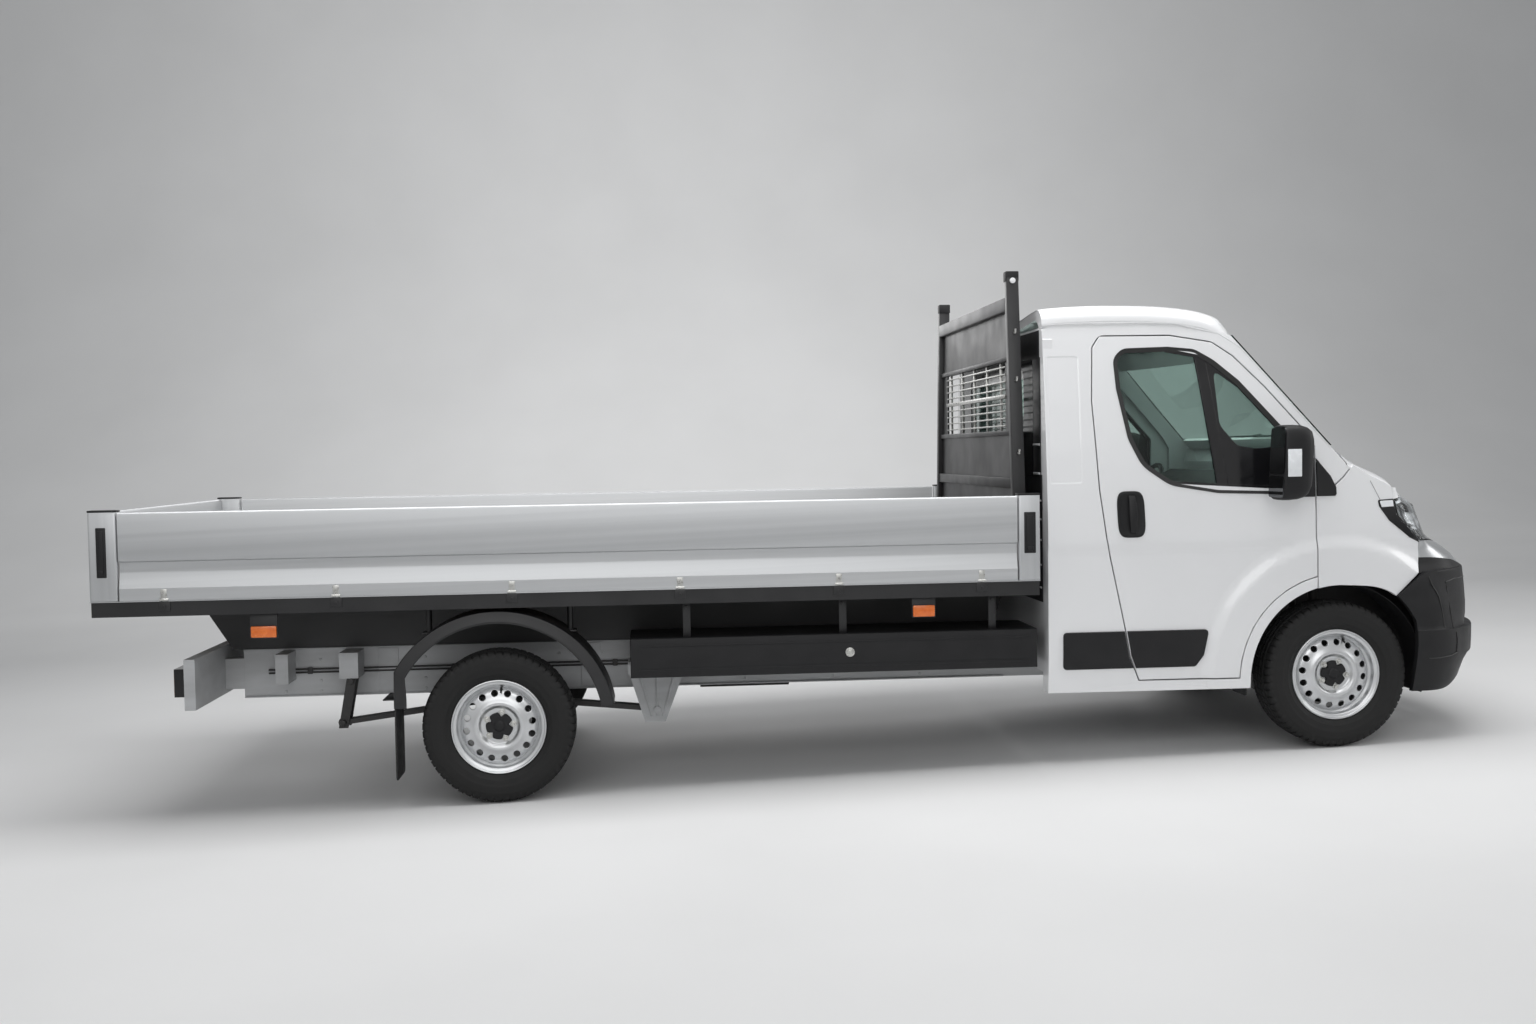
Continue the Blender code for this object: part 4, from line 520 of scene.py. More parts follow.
def tube(points, radius, sides=10):
    """A bent bar through a list of points."""
    shape = bmesh.new()
    points = [Vector(p) for p in points]
    rings = []
    for i, point in enumerate(points):
        run = points[min(i + 1, len(points) - 1)] - points[max(i - 1, 0)]
        turn = run.to_track_quat("Z", "Y").to_matrix()
        rings.append([shape.verts.new(point + turn @ Vector((
            radius * cos(2 * pi * k / sides), radius * sin(2 * pi * k / sides), 0)))
            for k in range(sides)])
    sew(shape, rings)
    shape.faces.new(rings[0])
    shape.faces.new(rings[-1])
    return shape

# %% [markdown]
# Glass, lamps and the bumper are thin shells. A shell is two equal grids of
# points, sewn together round the rim. The heights of a curved part come from a
# short table of measured places with a smooth curve through them.

# %% Shells and smooth tables
def skin(outer, inner):
    """A closed skin between two equal grids of points."""
    shape = bmesh.new()
    sheets = [[[shape.verts.new(p) for p in row] for row in rows] for rows in (outer, inner)]
    count, across = len(outer), len(outer[0])
    for sheet in sheets:
        for i in range(count - 1):
            for j in range(across - 1):
                shape.faces.new((sheet[i][j], sheet[i + 1][j], sheet[i + 1][j + 1],
                                 sheet[i][j + 1]))
    rim = [(i, 0) for i in range(count)] + [(count - 1, j) for j in range(1, across)]
    rim += [(i, across - 1) for i in range(count - 2, -1, -1)]
    rim += [(0, j) for j in range(across - 2, 0, -1)]
    for (i, j), (k, m) in zip(rim, rim[1:] + rim[:1]):
        shape.faces.new((sheets[0][i][j], sheets[0][k][m], sheets[1][k][m], sheets[1][i][j]))
    bmesh.ops.recalc_face_normals(shape, faces=shape.faces)
    return shape


def shell(rows, columns, place):
    """A skin from one rule, which gives the outer and inner point of row i, column k."""
    grid = [[place(i, k) for k in range(columns + 1)] for i in range(rows + 1)]
    return skin(*([[pair[n] for pair in row] for row in grid] for n in (0, 1)))


def lookup(table, value):
    """Smooth value from a table of (place, value) pairs."""
    if value <= table[0][0]:
        return table[0][1]
    for i, ((a, low), (b, high)) in enumerate(zip(table, table[1:])):
        if value <= b:
            before = table[i - 1] if i > 0 else (2 * a - b, 2 * low - high)
            after = table[i + 2] if i + 2 < len(table) else (2 * b - a, 2 * high - low)
            m0 = (high - before[1]) / (b - before[0])
            m1 = (after[1] - low) / (after[0] - a)
            h = b - a
            t = (value - a) / h
            return ((2 * t ** 3 - 3 * t ** 2 + 1) * low + (t ** 3 - 2 * t ** 2 + t) * h * m0
                    + (3 * t ** 2 - 2 * t ** 3) * high + (t ** 3 - t ** 2) * h * m1)
    return table[-1][1]

# %% [markdown]
# ## Wheels
# A van's steel wheel is a rolled barrel with a pressed disc welded inside it. The
# tyre is a revolved section. Its tread is cut as real blocks, because the outline
# of a tyre shows them: every pitch of the tread has two columns of points that
# drop to the groove's floor on the shoulders.

# %% Tyre
TREAD_PITCHES = 60
TREAD_HALF = 0.078
CROWN_RADIUS, CROWN_FALL = 0.3558, 0.0032
SHOULDER_WIDE, SHOULDER_FALL = 0.0105, 0.0045
SHOULDER_CUT, RIB_CUT, SIDEWALL_CUT = 0.0055, 0.0025, 0.004
TREAD_STEPS = ((0.0, False), (0.74, False), (0.78, True), (0.96, True))
BEAD_TO_SHOULDER = [
    (0.0767, 0.2042), (0.0768, 0.2216), (0.083, 0.2235), (0.0905, 0.233), (0.0975, 0.246),
    (0.1, 0.2475), (0.1012, 0.251), (0.103, 0.262), (0.1052, 0.276), (0.1055, 0.2765),
    (0.1058, 0.279), (0.1062, 0.293), (0.1045, 0.308), (0.1048, 0.31), (0.103, 0.315),
    (0.101, 0.3225), (0.0985, 0.333), (0.095, 0.342),
]
TREAD_LINES = [
    (0.0885, 0.0), (0.078, 0.0), (0.0575, 0.0), (0.056, 0.007), (0.049, 0.007), (0.0475, 0.0),
    (0.036, 0.0), (0.0215, 0.0), (0.02, 0.007), (0.013, 0.007), (0.0115, 0.0), (0.0, 0.0),
]


def tread_radius(across):
    crown = CROWN_RADIUS - CROWN_FALL * (abs(across) / TREAD_HALF) ** 2
    over = max(0.0, (abs(across) - TREAD_HALF) / SHOULDER_WIDE)
    return crown - SHOULDER_FALL * over ** 1.6


def tyre_mesh():
    half = [(a, r, None) for a, r in BEAD_TO_SHOULDER]
    half += [(a, tread_radius(a) - drop, a) for a, drop in TREAD_LINES]
    section = half + [(-a, r, None if t is None else -t) for a, r, t in reversed(half[:-1])]
    shape = bmesh.new()
    rings = []
    for pitch in range(TREAD_PITCHES):
        for share, low in TREAD_STEPS:
            ring = []
            for across, radius, tread in section:
                share_here = share + (0.25 if tread is not None and tread < 0 else 0.0)
                if tread is not None and abs(tread) < 0.04:
                    share_here += 0.18 * tread / 0.02
                angle = 2 * pi * (pitch + share_here) / TREAD_PITCHES
                cut = 0.0
                if low and tread is not None:
                    cut = SHOULDER_CUT if abs(tread) > 0.057 else RIB_CUT
                if low and tread is None and radius > 0.331:
                    cut = SIDEWALL_CUT
                if tread is not None and radius < tread_radius(across) - 0.004:
                    cut = 0.0
                r = radius - cut
                ring.append(shape.verts.new((r * sin(angle), across, -r * cos(angle))))
            rings.append(ring)
    for i in range(len(rings)):
        for j in range(len(section) - 1):
            shape.faces.new((rings[i][j], rings[i - 1][j], rings[i - 1][j + 1], rings[i][j + 1]))
        shape.faces.new((rings[i][-1], rings[i - 1][-1], rings[i - 1][0], rings[i][0]))
    return shape


print("tread pitches", TREAD_PITCHES)

# %% [markdown]
# The disc is made one hole at a time. Each of its sixteen sectors is a ring of
# points that starts on the sector's edge and closes in on the round hole, and the
# hole's lip is rolled inwards. Every point is then lifted onto the disc's own
# profile, from the hub face over the crown and down to the barrel.

# %% Steel wheel
HOLES = 16
HOLE_CIRCLE = 0.155
HOLE_RADIUS = 0.0155
SHEET = 0.0045
ROUND_STEPS = 96
DISC_PROFILE = [
    (0.03, 0.052), (0.078, 0.052), (0.084, 0.0532), (0.091, 0.06), (0.098, 0.068),
    (0.106, 0.0702), (0.114, 0.0688), (0.124, 0.0635), (0.136, 0.059), (0.158, 0.0535),
    (0.168, 0.049), (0.1782, 0.04),
]
BARREL = [
    (0.078, 0.2203), (0.083, 0.2205), (0.0862, 0.219), (0.0872, 0.2162), (0.0862, 0.2135),
    (0.083, 0.212), (0.08, 0.2095), (0.0785, 0.205), (0.077, 0.1995), (0.074, 0.1965),
    (0.069, 0.195), (0.054, 0.193), (0.049, 0.1895), (0.045, 0.183), (0.04, 0.1795),
    (0.03, 0.1782), (-0.036, 0.178), (-0.074, 0.1945), (-0.08, 0.2095),
    (-0.0862, 0.2135), (-0.0872, 0.2162), (-0.085, 0.2205), (-0.0772, 0.2203),
    (-0.077, 0.2032), (-0.03, 0.1862), (0.03, 0.1862), (0.077, 0.2032),
]


def lathe(section, segments):
    shape = bmesh.new()
    rings = []
    for i in range(segments):
        angle = 2 * pi * i / segments
        rings.append([shape.verts.new((r * sin(angle), a, -r * cos(angle))) for a, r in section])
    for i in range(segments):
        for j in range(len(section)):
            shape.faces.new((rings[i][j], rings[i - 1][j], rings[i - 1][j - 1], rings[i][j - 1]))
    return shape


def disc_mesh():
    shape = bmesh.new()
    inner_edge, outer_edge = 0.133, 0.177
    wedge = 2 * pi / HOLES
    around = 24

    def lifted(radius, angle, sink=0.0):
        return shape.verts.new((radius * sin(angle), lookup(DISC_PROFILE, radius) - sink,
                                -radius * cos(angle)))

    for k in range(HOLES):
        middle = (k + 0.5) * wedge
        loops = []
        border = []
        for step in range(around):
            t = 4.0 * step / around
            leg, f = int(t), t - int(t)
            corner = [(inner_edge, -0.5), (inner_edge, 0.5), (outer_edge, 0.5), (outer_edge, -0.5)]
            a, b = corner[leg], corner[(leg + 1) % 4]
            border.append((a[0] + (b[0] - a[0]) * f, middle + wedge * (a[1] + (b[1] - a[1]) * f)))
        loops.append([lifted(r, angle) for r, angle in border])
        for radius, sink in ((0.0205, 0.0), (0.018, 0.0), (0.0166, 0.0006), (HOLE_RADIUS, 0.0022),
                             (HOLE_RADIUS - 0.0004, 0.0075)):
            loop = []
            for r, angle in border:
                x = r * sin(angle - middle)
                y = r * cos(angle - middle) - HOLE_CIRCLE
                length = hypot(x, y)
                x, y = x / length * radius, y / length * radius + HOLE_CIRCLE
                loop.append(lifted(hypot(x, y), middle + atan2(x, y), sink))
            loops.append(loop)
        sew(shape, loops)
    for radii in ((0.03, 0.05, 0.07, 0.078, 0.0815, 0.085, 0.089, 0.093, 0.097, 0.101, 0.106,
                   0.111, 0.117, 0.1225, inner_edge), (outer_edge, 0.1782, 0.179)):
        rings = [[lifted(r, 2 * pi * i / ROUND_STEPS) for i in range(ROUND_STEPS)] for r in radii]
        sew(shape, rings)
    bmesh.ops.remove_doubles(shape, verts=shape.verts, dist=0.00005)
    bmesh.ops.recalc_face_normals(shape, faces=shape.faces)
    grown = bmesh.ops.extrude_face_region(shape, geom=shape.faces[:])["geom"]
    back = [g for g in grown if isinstance(g, bmesh.types.BMVert)]
    bmesh.ops.translate(shape, verts=back, vec=(0, -SHEET, 0))
    return shape


print("holes in the disc", HOLES)

# %% [markdown]
# Five wheel bolts sit on a 130 millimetre circle, and a black plastic cap with
# five arms grips between them. Caps like this are clipped over the bolts' heads,
# so the arms are drawn as a star whose edge dips at each bolt.

# %% Bolts, centre cap and valve
BOLTS = 5
BOLT_CIRCLE = 0.065
BOLT_TURN = 0.1
CAP_STEPS = 100


def bolt_mesh():
    shapes = []
    for k in range(BOLTS):
        angle = 2 * pi * (k + BOLT_TURN) / BOLTS
        x, z = BOLT_CIRCLE * sin(angle), BOLT_CIRCLE * cos(angle)
        shapes.append(rod((x, 0.05, z), (x, 0.057, z), 0.015, 20, 0.0015))
        shapes.append(rod((x, 0.056, z), (x, 0.07, z), 0.0105, 6, 0.0012))
    return gather(*shapes)


def cap_mesh():
    shape = bmesh.new()
    rings = []
    for height, share in ((0.0535, 1.0), (0.06, 0.985), (0.0635, 0.93), (0.0645, 0.8),
                          (0.062, 0.6), (0.0625, 0.42), (0.067, 0.36), (0.069, 0.28),
                          (0.0692, 0.0)):
        ring = []
        for i in range(CAP_STEPS):
            angle = 2 * pi * i / CAP_STEPS
            wave = cos(BOLTS * (angle - 2 * pi * BOLT_TURN / BOLTS))
            reach = 0.064 - 0.019 * max(0.0, wave) ** 1.5 if share > 0.5 else 0.062
            ring.append(shape.verts.new((reach * share * sin(angle), height,
                                         reach * share * cos(angle))))
            if share == 0.0:
                break
        rings.append(ring)
    for a, b in zip(rings, rings[1:]):
        for i in range(CAP_STEPS):
            if len(b) == 1:
                shape.faces.new((a[i], a[i - 1], b[0]))
            else:
                shape.faces.new((a[i], a[i - 1], b[i - 1], b[i]))
    shape.faces.new(rings[0])
    return shape


def valve_mesh():
    return gather(rod((0.0, 0.045, 0.172), (0.0, 0.074, 0.16), 0.0045, 10, 0.001),
                  rod((0.0, 0.04, 0.174), (0.0, 0.052, 0.169), 0.007, 12, 0.001))

# %% [markdown]
# All four wheels are the same parts. Each is drawn once round its own hub, with
# the outer face towards plus y, and then placed: mirrored for the right side and
# turned, the front ones further than the rear ones, as wheels come to rest.

# %% Four wheels
def wheel_place(hub, side, phase):
    """Local wheel numbers to the world: the outer face points to the side."""
    turn = Matrix.Rotation(phase, 4, "Y")
    return Matrix.Translation(hub) @ Matrix.Diagonal((1, side, 1, 1)) @ turn


for end, phase in (("front", 0.35), ("rear", 0.1)):
    for word, side in SIDES:
        label = end + "_" + word
        low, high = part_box("rim_" + label)
        body = "wheel_" + label
        place = wheel_place((low + high) / 2, side, phase)
        made = {
            "tyre_rubber_": (tyre_mesh(), rubber, ("tyre_" + label,)),
            "wheel_barrel_": (lathe(BARREL, ROUND_STEPS), silver, ("rim_" + label,)),
            "wheel_disc_": (disc_mesh(), silver, ()),
            "wheel_bolts_": (bolt_mesh(), zinc, ()),
            "wheel_cap_": (cap_mesh(), plastic, ()),
            "wheel_valve_": (valve_mesh(), seal, ()),
        }
        for name, (shape, finish, stood) in made.items():
            bmesh.ops.transform(shape, matrix=place, verts=shape.verts)
            add_piece(name + label, shape, finish, body, stood, pitched=False)
print("wheels dressed")

# %% [markdown]
# ## Pressed panels
# A cab's side is one smooth form, and its doors and wings are cut out of that form
# by their shut lines. The panels are made the same way here. First come the small
# questions about a flat outline: more points along it, the way out at each
# corner, what lies inside, and how far a point is from the edge.

# %% Flat outlines
def resampled(outline, spacing):
    result = []
    for i, (a, b) in enumerate(outline):
        c, d = outline[(i + 1) % len(outline)]
        pieces = max(1, int(hypot(c - a, d - b) / spacing + 0.5))
        result += [(a + (c - a) * k / pieces, b + (d - b) * k / pieces) for k in range(pieces)]
    return result


def outward(outline):
    """Mitred outward directions at each corner of a closed outline."""
    area = sum(a * outline[(i + 1) % len(outline)][1] - outline[(i + 1) % len(outline)][0] * b
               for i, (a, b) in enumerate(outline))
    turned = 1.0 if area > 0 else -1.0
    result = []
    for i, point in enumerate(outline):
        before = Vector(point) - Vector(outline[i - 1])
        after = Vector(outline[(i + 1) % len(outline)]) - Vector(point)
        n1 = Vector((before.y, -before.x)).normalized() * turned
        n2 = Vector((after.y, -after.x)).normalized() * turned
        middle = (n1 + n2).normalized()
        result.append(middle / max(0.5, middle.dot(n1)))
    return result


def is_inside(x, z, outline):
    crossings = False
    for i, (a, b) in enumerate(outline):
        c, d = outline[i - 1]
        if (b > z) != (d > z) and x < (c - a) * (z - b) / (d - b) + a:
            crossings = not crossings
    return crossings


def edge_distance(x, z, outline):
    nearest = 9.0
    for i, (a, b) in enumerate(outline):
        c, d = outline[i - 1]
        run = (c - a) ** 2 + (d - b) ** 2
        share = min(1.0, max(0.0, ((x - a) * (c - a) + (z - b) * (d - b)) / max(run, 1e-12)))
        nearest = min(nearest, hypot(x - a - share * (c - a), z - b - share * (d - b)))
    return nearest


def in_panel(x, z, borders):
    """Inside the first border and outside every hole."""
    return is_inside(x, z, borders[0]) and not any(is_inside(x, z, h) for h in borders[1:])

# %% [markdown]
# A panel's outline is filled with a fine mesh and pressed onto the side form. Its
# edges are rolled over and hemmed, as sheet steel is. Extra points lie along each
# crease line, so that the mesh bends where the metal does.

# %% Press a panel
def form_normal(form, x, z):
    step = 0.002
    slope_x = (form(x + step, z) - form(x - step, z)) / (2 * step)
    slope_z = (form(x, z + step) - form(x, z - step)) / (2 * step)
    return Vector((-slope_x, 1.0, -slope_z)).normalized()


def pressed_panel(outline, form, holes=(), spacing=0.03, edge=0.01, radius=0.003, hem=0.01,
                  bends=()):
    """A left-hand panel: outline and holes in (x, z), form gives y, bends are lines to follow."""
    points, lays, constraints, hems = [], [], [], []
    borders = [resampled(loop, edge) for loop in (outline,) + tuple(holes)]
    for number, loop in enumerate(borders):
        sign = 1.0 if number == 0 else -1.0
        ways = [w * sign for w in outward(loop)]
        for inset in (0.0, 0.13 * radius, 0.5 * radius, radius, 2.4 * radius):
            first = len(points)
            lean = max(0.0, 1.0 - inset / radius)
            for (x, z), way in zip(loop, ways):
                points.append(Vector((x - way.x * inset, z - way.y * inset)))
                lays.append((way.normalized(), lean))
            count = len(loop)
            constraints += [(first + i, first + (i + 1) % count) for i in range(count)]
            if inset == 0.0:
                hems.append((first, count))
    low_x, high_x = min(p[0] for p in outline), max(p[0] for p in outline)
    low_z, high_z = min(p[1] for p in outline), max(p[1] for p in outline)
    for row in range(int((high_z - low_z) / spacing) + 1):
        for column in range(int((high_x - low_x) / spacing) + 2):
            x = low_x + (column + 0.5 * (row % 2)) * spacing
            z = low_z + (row + 0.5) * spacing
            if not in_panel(x, z, borders):
                continue
            if min(edge_distance(x, z, loop) for loop in borders) > 2.4 * radius + 0.35 * spacing:
                points.append(Vector((x, z)))
                lays.append((Vector((0, 0)), 0.0))
    for line in bends:
        for x, z in resampled(line, 0.01):
            if in_panel(x, z, borders):
                if min(edge_distance(x, z, loop) for loop in borders) > 3.2 * radius:
                    points.append(Vector((x, z)))
                    lays.append((Vector((0, 0)), 0.0))
    corners, _, faces, sources, _, _ = delaunay_2d_cdt(points, constraints, [], 0, 1e-7)
    shape = bmesh.new()
    true = shape.verts.layers.float_vector.new("true_normal")
    verts = []
    for corner, source in zip(corners, sources):
        way, lean = lays[source[0]] if source else (Vector((0, 0)), 0.0)
        normal = form_normal(form, corner.x, corner.y)
        drop = radius - radius * sqrt(max(0.0, 1.0 - lean * lean))
        vert = shape.verts.new((corner.x, form(corner.x, corner.y) - drop, corner.y))
        upright = sqrt(max(0.0, 1.0 - lean * lean))
        vert[true] = (normal * upright + Vector((way.x, 0, way.y)) * lean).normalized()
        verts.append(vert)
    for face in faces:
        middle = sum((corners[i] for i in face), Vector((0, 0))) / len(face)
        if in_panel(middle.x, middle.y, borders):
            shape.faces.new([verts[i] for i in face])
    place = {one: i for i, source in enumerate(sources) for one in source}
    for first, count in hems:
        rim = [verts[place[first + i]] for i in range(count)]
        low = []
        for vert in rim:
            under = shape.verts.new(vert.co - Vector((0, hem, 0)))
            under[true] = vert[true]
            low.append(under)
        for i in range(count):
            shape.faces.new((rim[i], rim[i - 1], low[i - 1], low[i]))
    loose = [v for v in shape.verts if not v.link_faces]
    bmesh.ops.delete(shape, geom=loose, context="VERTS")
    return shape

# %% [markdown]
# The normals of a panel come from the form itself and not from its small faces,
# so the reflections run smoothly from one panel to the next.

# %% Add a panel
def add_panel(name, shape, finish, body, side, stands_for=()):
    """Like add_piece, for a panel that carries its own normals."""
    true = shape.verts.layers.float_vector["true_normal"]
    shape.faces.ensure_lookup_table()
    for face in shape.faces:
        wanted = sum((Vector(v[true]) for v in face.verts), Vector())
        face.normal_update()
        if face.normal.dot(wanted) < 0:
            face.normal_flip()
    if side == RIGHT:
        for vert in shape.verts:
            vert[true] = Vector((vert[true].x, -vert[true].y, vert[true].z))
        flip(shape, RIGHT)
    turn = BODY_TO_WORLD.to_3x3()
    bmesh.ops.transform(shape, matrix=BODY_TO_WORLD, verts=shape.verts)
    shape.verts.index_update()
    normals = [turn @ Vector(v[true]) for v in shape.verts]
    shape.verts.layers.float_vector.remove(true)
    mesh = bpy.data.meshes.new(name)
    shape.to_mesh(mesh)
    shape.free()
    mesh.materials.append(finish)
    mesh.shade_smooth()
    mesh.normals_split_custom_set_from_vertices(normals)
    made = bpy.data.objects.new(name, mesh)
    bpy.context.collection.objects.link(made)
    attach(made, body)
    if stands_for:
        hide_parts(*stands_for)
    return made

# %% [markdown]
# The side form: a barrel-sided body, widest at wheel-arch height, that turns in
# towards the roof and under at the sill. Two things are pressed into it. A flare
# stands 14 millimetres out around the front wheel, and a swage line steps in
# below the handle, which stiffens the large flat door.

# %% The form of the cab's side
WIDEST = 1.0268
ROOF_LEAN, SILL_TUCK, NOSE_TAPER = 0.064, 0.3, 0.3
FLARE, SWAGE_STEP, FIELD_STEP = 0.014, 0.009, 0.005


def ease(low, high, value):
    share = min(1.0, max(0.0, (value - low) / (high - low)))
    return share * share * (3.0 - 2.0 * share)


def body_half(z):
    return WIDEST - ROOF_LEAN * max(0.0, z - 0.5) ** 2 - SILL_TUCK * max(0.0, 0.2 - z) ** 2


def arch_flare(x, z):
    return FLARE * (1.0 - ease(0.62, 0.685, hypot(x, z)))


def cab_side(x, z):
    out = body_half(z) - NOSE_TAPER * max(0.0, x - 0.05) ** 2
    swage = SWAGE_STEP * (1.0 - ease(0.603, 0.665, z)) * ease(0.62, 0.74, hypot(x, z))
    return out + arch_flare(x, z) - swage


def quarter_side(x, z):
    """The panel behind the door has a shallow sunk field beside the window."""
    sunk = ease(-1.418, -1.404, x) * (1.0 - ease(-1.272, -1.258, x))
    sunk *= ease(0.95, 0.966, z) * (1.0 - ease(1.545, 1.56, z))
    return cab_side(x, z) - FIELD_STEP * sunk


print("half width at the arch", round(cab_side(0.0, 0.5), 4))

# %% [markdown]
# The door's seam follows the roof, leans with the rear pillar and runs round the
# wheel arch. A few corners give it, measured with the fitted camera, and they are
# then rounded, as a press tool would need them.

# %% Seam and window outlines
def arc(radius, start, end, count):
    return [(radius * cos(radians(start + (end - start) * i / count)),
             radius * sin(radians(start + (end - start) * i / count))) for i in range(count + 1)]


def rounded_box(a_low, a_high, b_low, b_high, radii):
    """A rectangle with rounded corners, counted round from the lower left."""
    return rounded_corners([(a_low, b_low), (a_high, b_low), (a_high, b_high), (a_low, b_high)],
                           dict(enumerate(radii)))


def moved_out(outline, distance):
    return [tuple(Vector(p) + w * distance) for p, w in zip(outline, outward(outline))]


def rounded_corners(outline, radii, count=5):
    """Round the numbered corners of an outline: radii maps corner to radius."""
    result = []
    for i, point in enumerate(outline):
        if i not in radii:
            result.append(point)
            continue
        here = Vector(point)
        back = (Vector(outline[i - 1]) - here).normalized()
        ahead = (Vector(outline[(i + 1) % len(outline)]) - here).normalized()
        half = back.angle(ahead) / 2
        reach = radii[i] / max(0.05, abs(sin(half) / cos(half)))
        a, b = here + back * reach, here + ahead * reach
        for k in range(count + 1):
            t = k / count
            result.append(tuple((1 - t) ** 2 * a + 2 * t * (1 - t) * here + t * t * b))
    return result


CROWN = [
    (-1.43, 1.745), (-1.3, 1.787), (-0.95, 1.806), (-0.6, 1.792), (-0.4, 1.745),
    (-0.34, 1.68), (-0.08, 1.385), (0.175, 1.115),
]
DOOR_SEAM = [
    (-0.985, 0.004), (-1.03, 0.12), (-1.051, 0.243), (-1.141, 0.68), (-1.173, 0.919),
    (-1.199, 1.347), (-1.186, 1.6), (-1.15, 1.652), (-0.805, 1.652), (-0.6, 1.618),
    (-0.5, 1.55), (-0.35, 1.4), (-0.16, 1.185), (-0.115, 1.11),
]
DOOR_SEAM = rounded_corners(DOOR_SEAM + arc(0.5, 103.3, 179.5, 40), {6: 0.04, 7: 0.04, 9: 0.1})
WINDOW = rounded_corners([
    (-0.829, 0.94), (-0.962, 1.032), (-1.026, 1.16), (-1.075, 1.4), (-1.085, 1.545),
    (-1.04, 1.588), (-0.82, 1.594), (-0.69, 1.582), (-0.6, 1.53), (-0.48, 1.43),
    (-0.24, 1.165), (-0.235, 0.887), (-0.596, 0.9),
], {0: 0.16, 1: 0.16, 2: 0.16, 4: 0.065, 5: 0.065, 7: 0.1, 8: 0.2, 10: 0.015, 11: 0.012, 12: 0.2})
print("door outline", len(DOOR_SEAM), "window outline", len(WINDOW))

# %% [markdown]
# ## Doors and body sides
# The doors and the body sides are cut from the same form along one seam, with a
# six millimetre gap. The solid doors and the shell stay underneath: they close
# the gaps and make the door frames' inner faces. The body side runs up to the
# windscreen's pillar, whose line comes from the windscreen itself.

# %% Outline of the body side
SHUT_GAP = 0.006
PLAN_BOW = 0.2
SCREEN_FOOT_X, SCREEN_FOOT_Z = 0.175, 1.115
SCREEN_RUN, SCREEN_RISE = 0.515, 0.565


def roof_edge(x):
    return lookup(CROWN, x + PLAN_BOW * 0.86) - 0.058


def screen_at(z, y):
    """The windscreen leans back evenly and bows forward in plan."""
    lean = SCREEN_RUN * (z - SCREEN_FOOT_Z) / SCREEN_RISE
    return SCREEN_FOOT_X - lean - PLAN_BOW * y * y


def pillar_front(z):
    return screen_at(z, body_half(z)) - 0.0095


def body_side_outline():
    outline = [(-1.43, -0.05), (-0.442, -0.05)] + arc(0.442, 176.5, 105.0, 36)
    outline += [(-0.112, 0.5), (-0.108, 0.9), (-0.014, 0.928), (0.026, 0.963), (0.058, 1.0),
                (pillar_front(1.03), 1.03)]
    outline += [(pillar_front(z), z) for z in (1.1, 1.2, 1.3, 1.4, 1.5, 1.58, 1.64)]
    outline += [(x, roof_edge(x)) for x in (-0.64, -0.72, -0.8, -0.95, -1.12, -1.3)]
    return outline + [(-1.43, 1.69)]


print("points round the body side", len(body_side_outline()))

# %% [markdown]
# The wing fills the space between the door, the bonnet, the lamp and the bumper.
# Its plain solid follows one arch radius and has no cut-out for the lamp, so the
# pressed wing skin takes its place. The arch opens out towards the bumper.

# %% Outline of the wing
NOSE_TOP = [
    (0.175, 1.115), (0.265, 1.05), (0.4, 0.985), (0.48, 0.935), (0.55, 0.88),
    (0.625, 0.81), (0.67, 0.73), (0.69, 0.655),
]
BUMPER_TOP = [(0.288, 0.3775), (0.418, 0.486), (0.44, 0.492), (0.6, 0.501)]
BONNET_HALF = 0.84
ARCH_STEPS = 30


def bonnet_height(x, y):
    """The bonnet's crown runs on into the top of the wing."""
    return lookup(NOSE_TOP, x + PLAN_BOW * y * y) - 0.02 * abs(y)


def wing_arch():
    """The arch's radius grows on the way down to the bumper."""
    points = []
    for k in range(ARCH_STEPS + 1):
        angle = radians(104.2 - 51.6 * k / ARCH_STEPS)
        radius = 0.4395 + 0.038 * ease(0.35, 1.0, k / ARCH_STEPS)
        points.append((radius * cos(angle), radius * sin(angle)))
    return points


wing_outline = [(-0.109, 0.47)] + wing_arch()
wing_outline += [(0.418, 0.4885), (0.4265, 0.57), (0.4235, 0.64), (0.3, 0.772),
                 (0.2795, 0.86)]
wing_outline += [(x, bonnet_height(x, BONNET_HALF) - 0.045) for x in (0.272, 0.16, 0.078)]
wing_outline += [(0.064, 1.0), (0.031, 0.958), (-0.01, 0.922), (-0.014, 0.9),
                 (-0.109, 0.88)]
print("points round the wing", len(wing_outline))

# %% [markdown]
# The swage and the sunk field behind the door need points along their edges. The
# door is then pressed with its window as a hole, the body side with the whole
# door as a hole, and the wing with none.

# %% Doors, body sides and wings
door_hole = moved_out(DOOR_SEAM, SHUT_GAP)
window_hole = moved_out(WINDOW, 0.001)


def frame_lines(x_low, x_high, z_low, z_high, steps):
    """Nested rectangles between which a sunk field's wall falls away."""
    return [[(x_low + d, z_low + d), (x_high - d, z_low + d), (x_high - d, z_high - d),
             (x_low + d, z_high - d)] for d in steps]


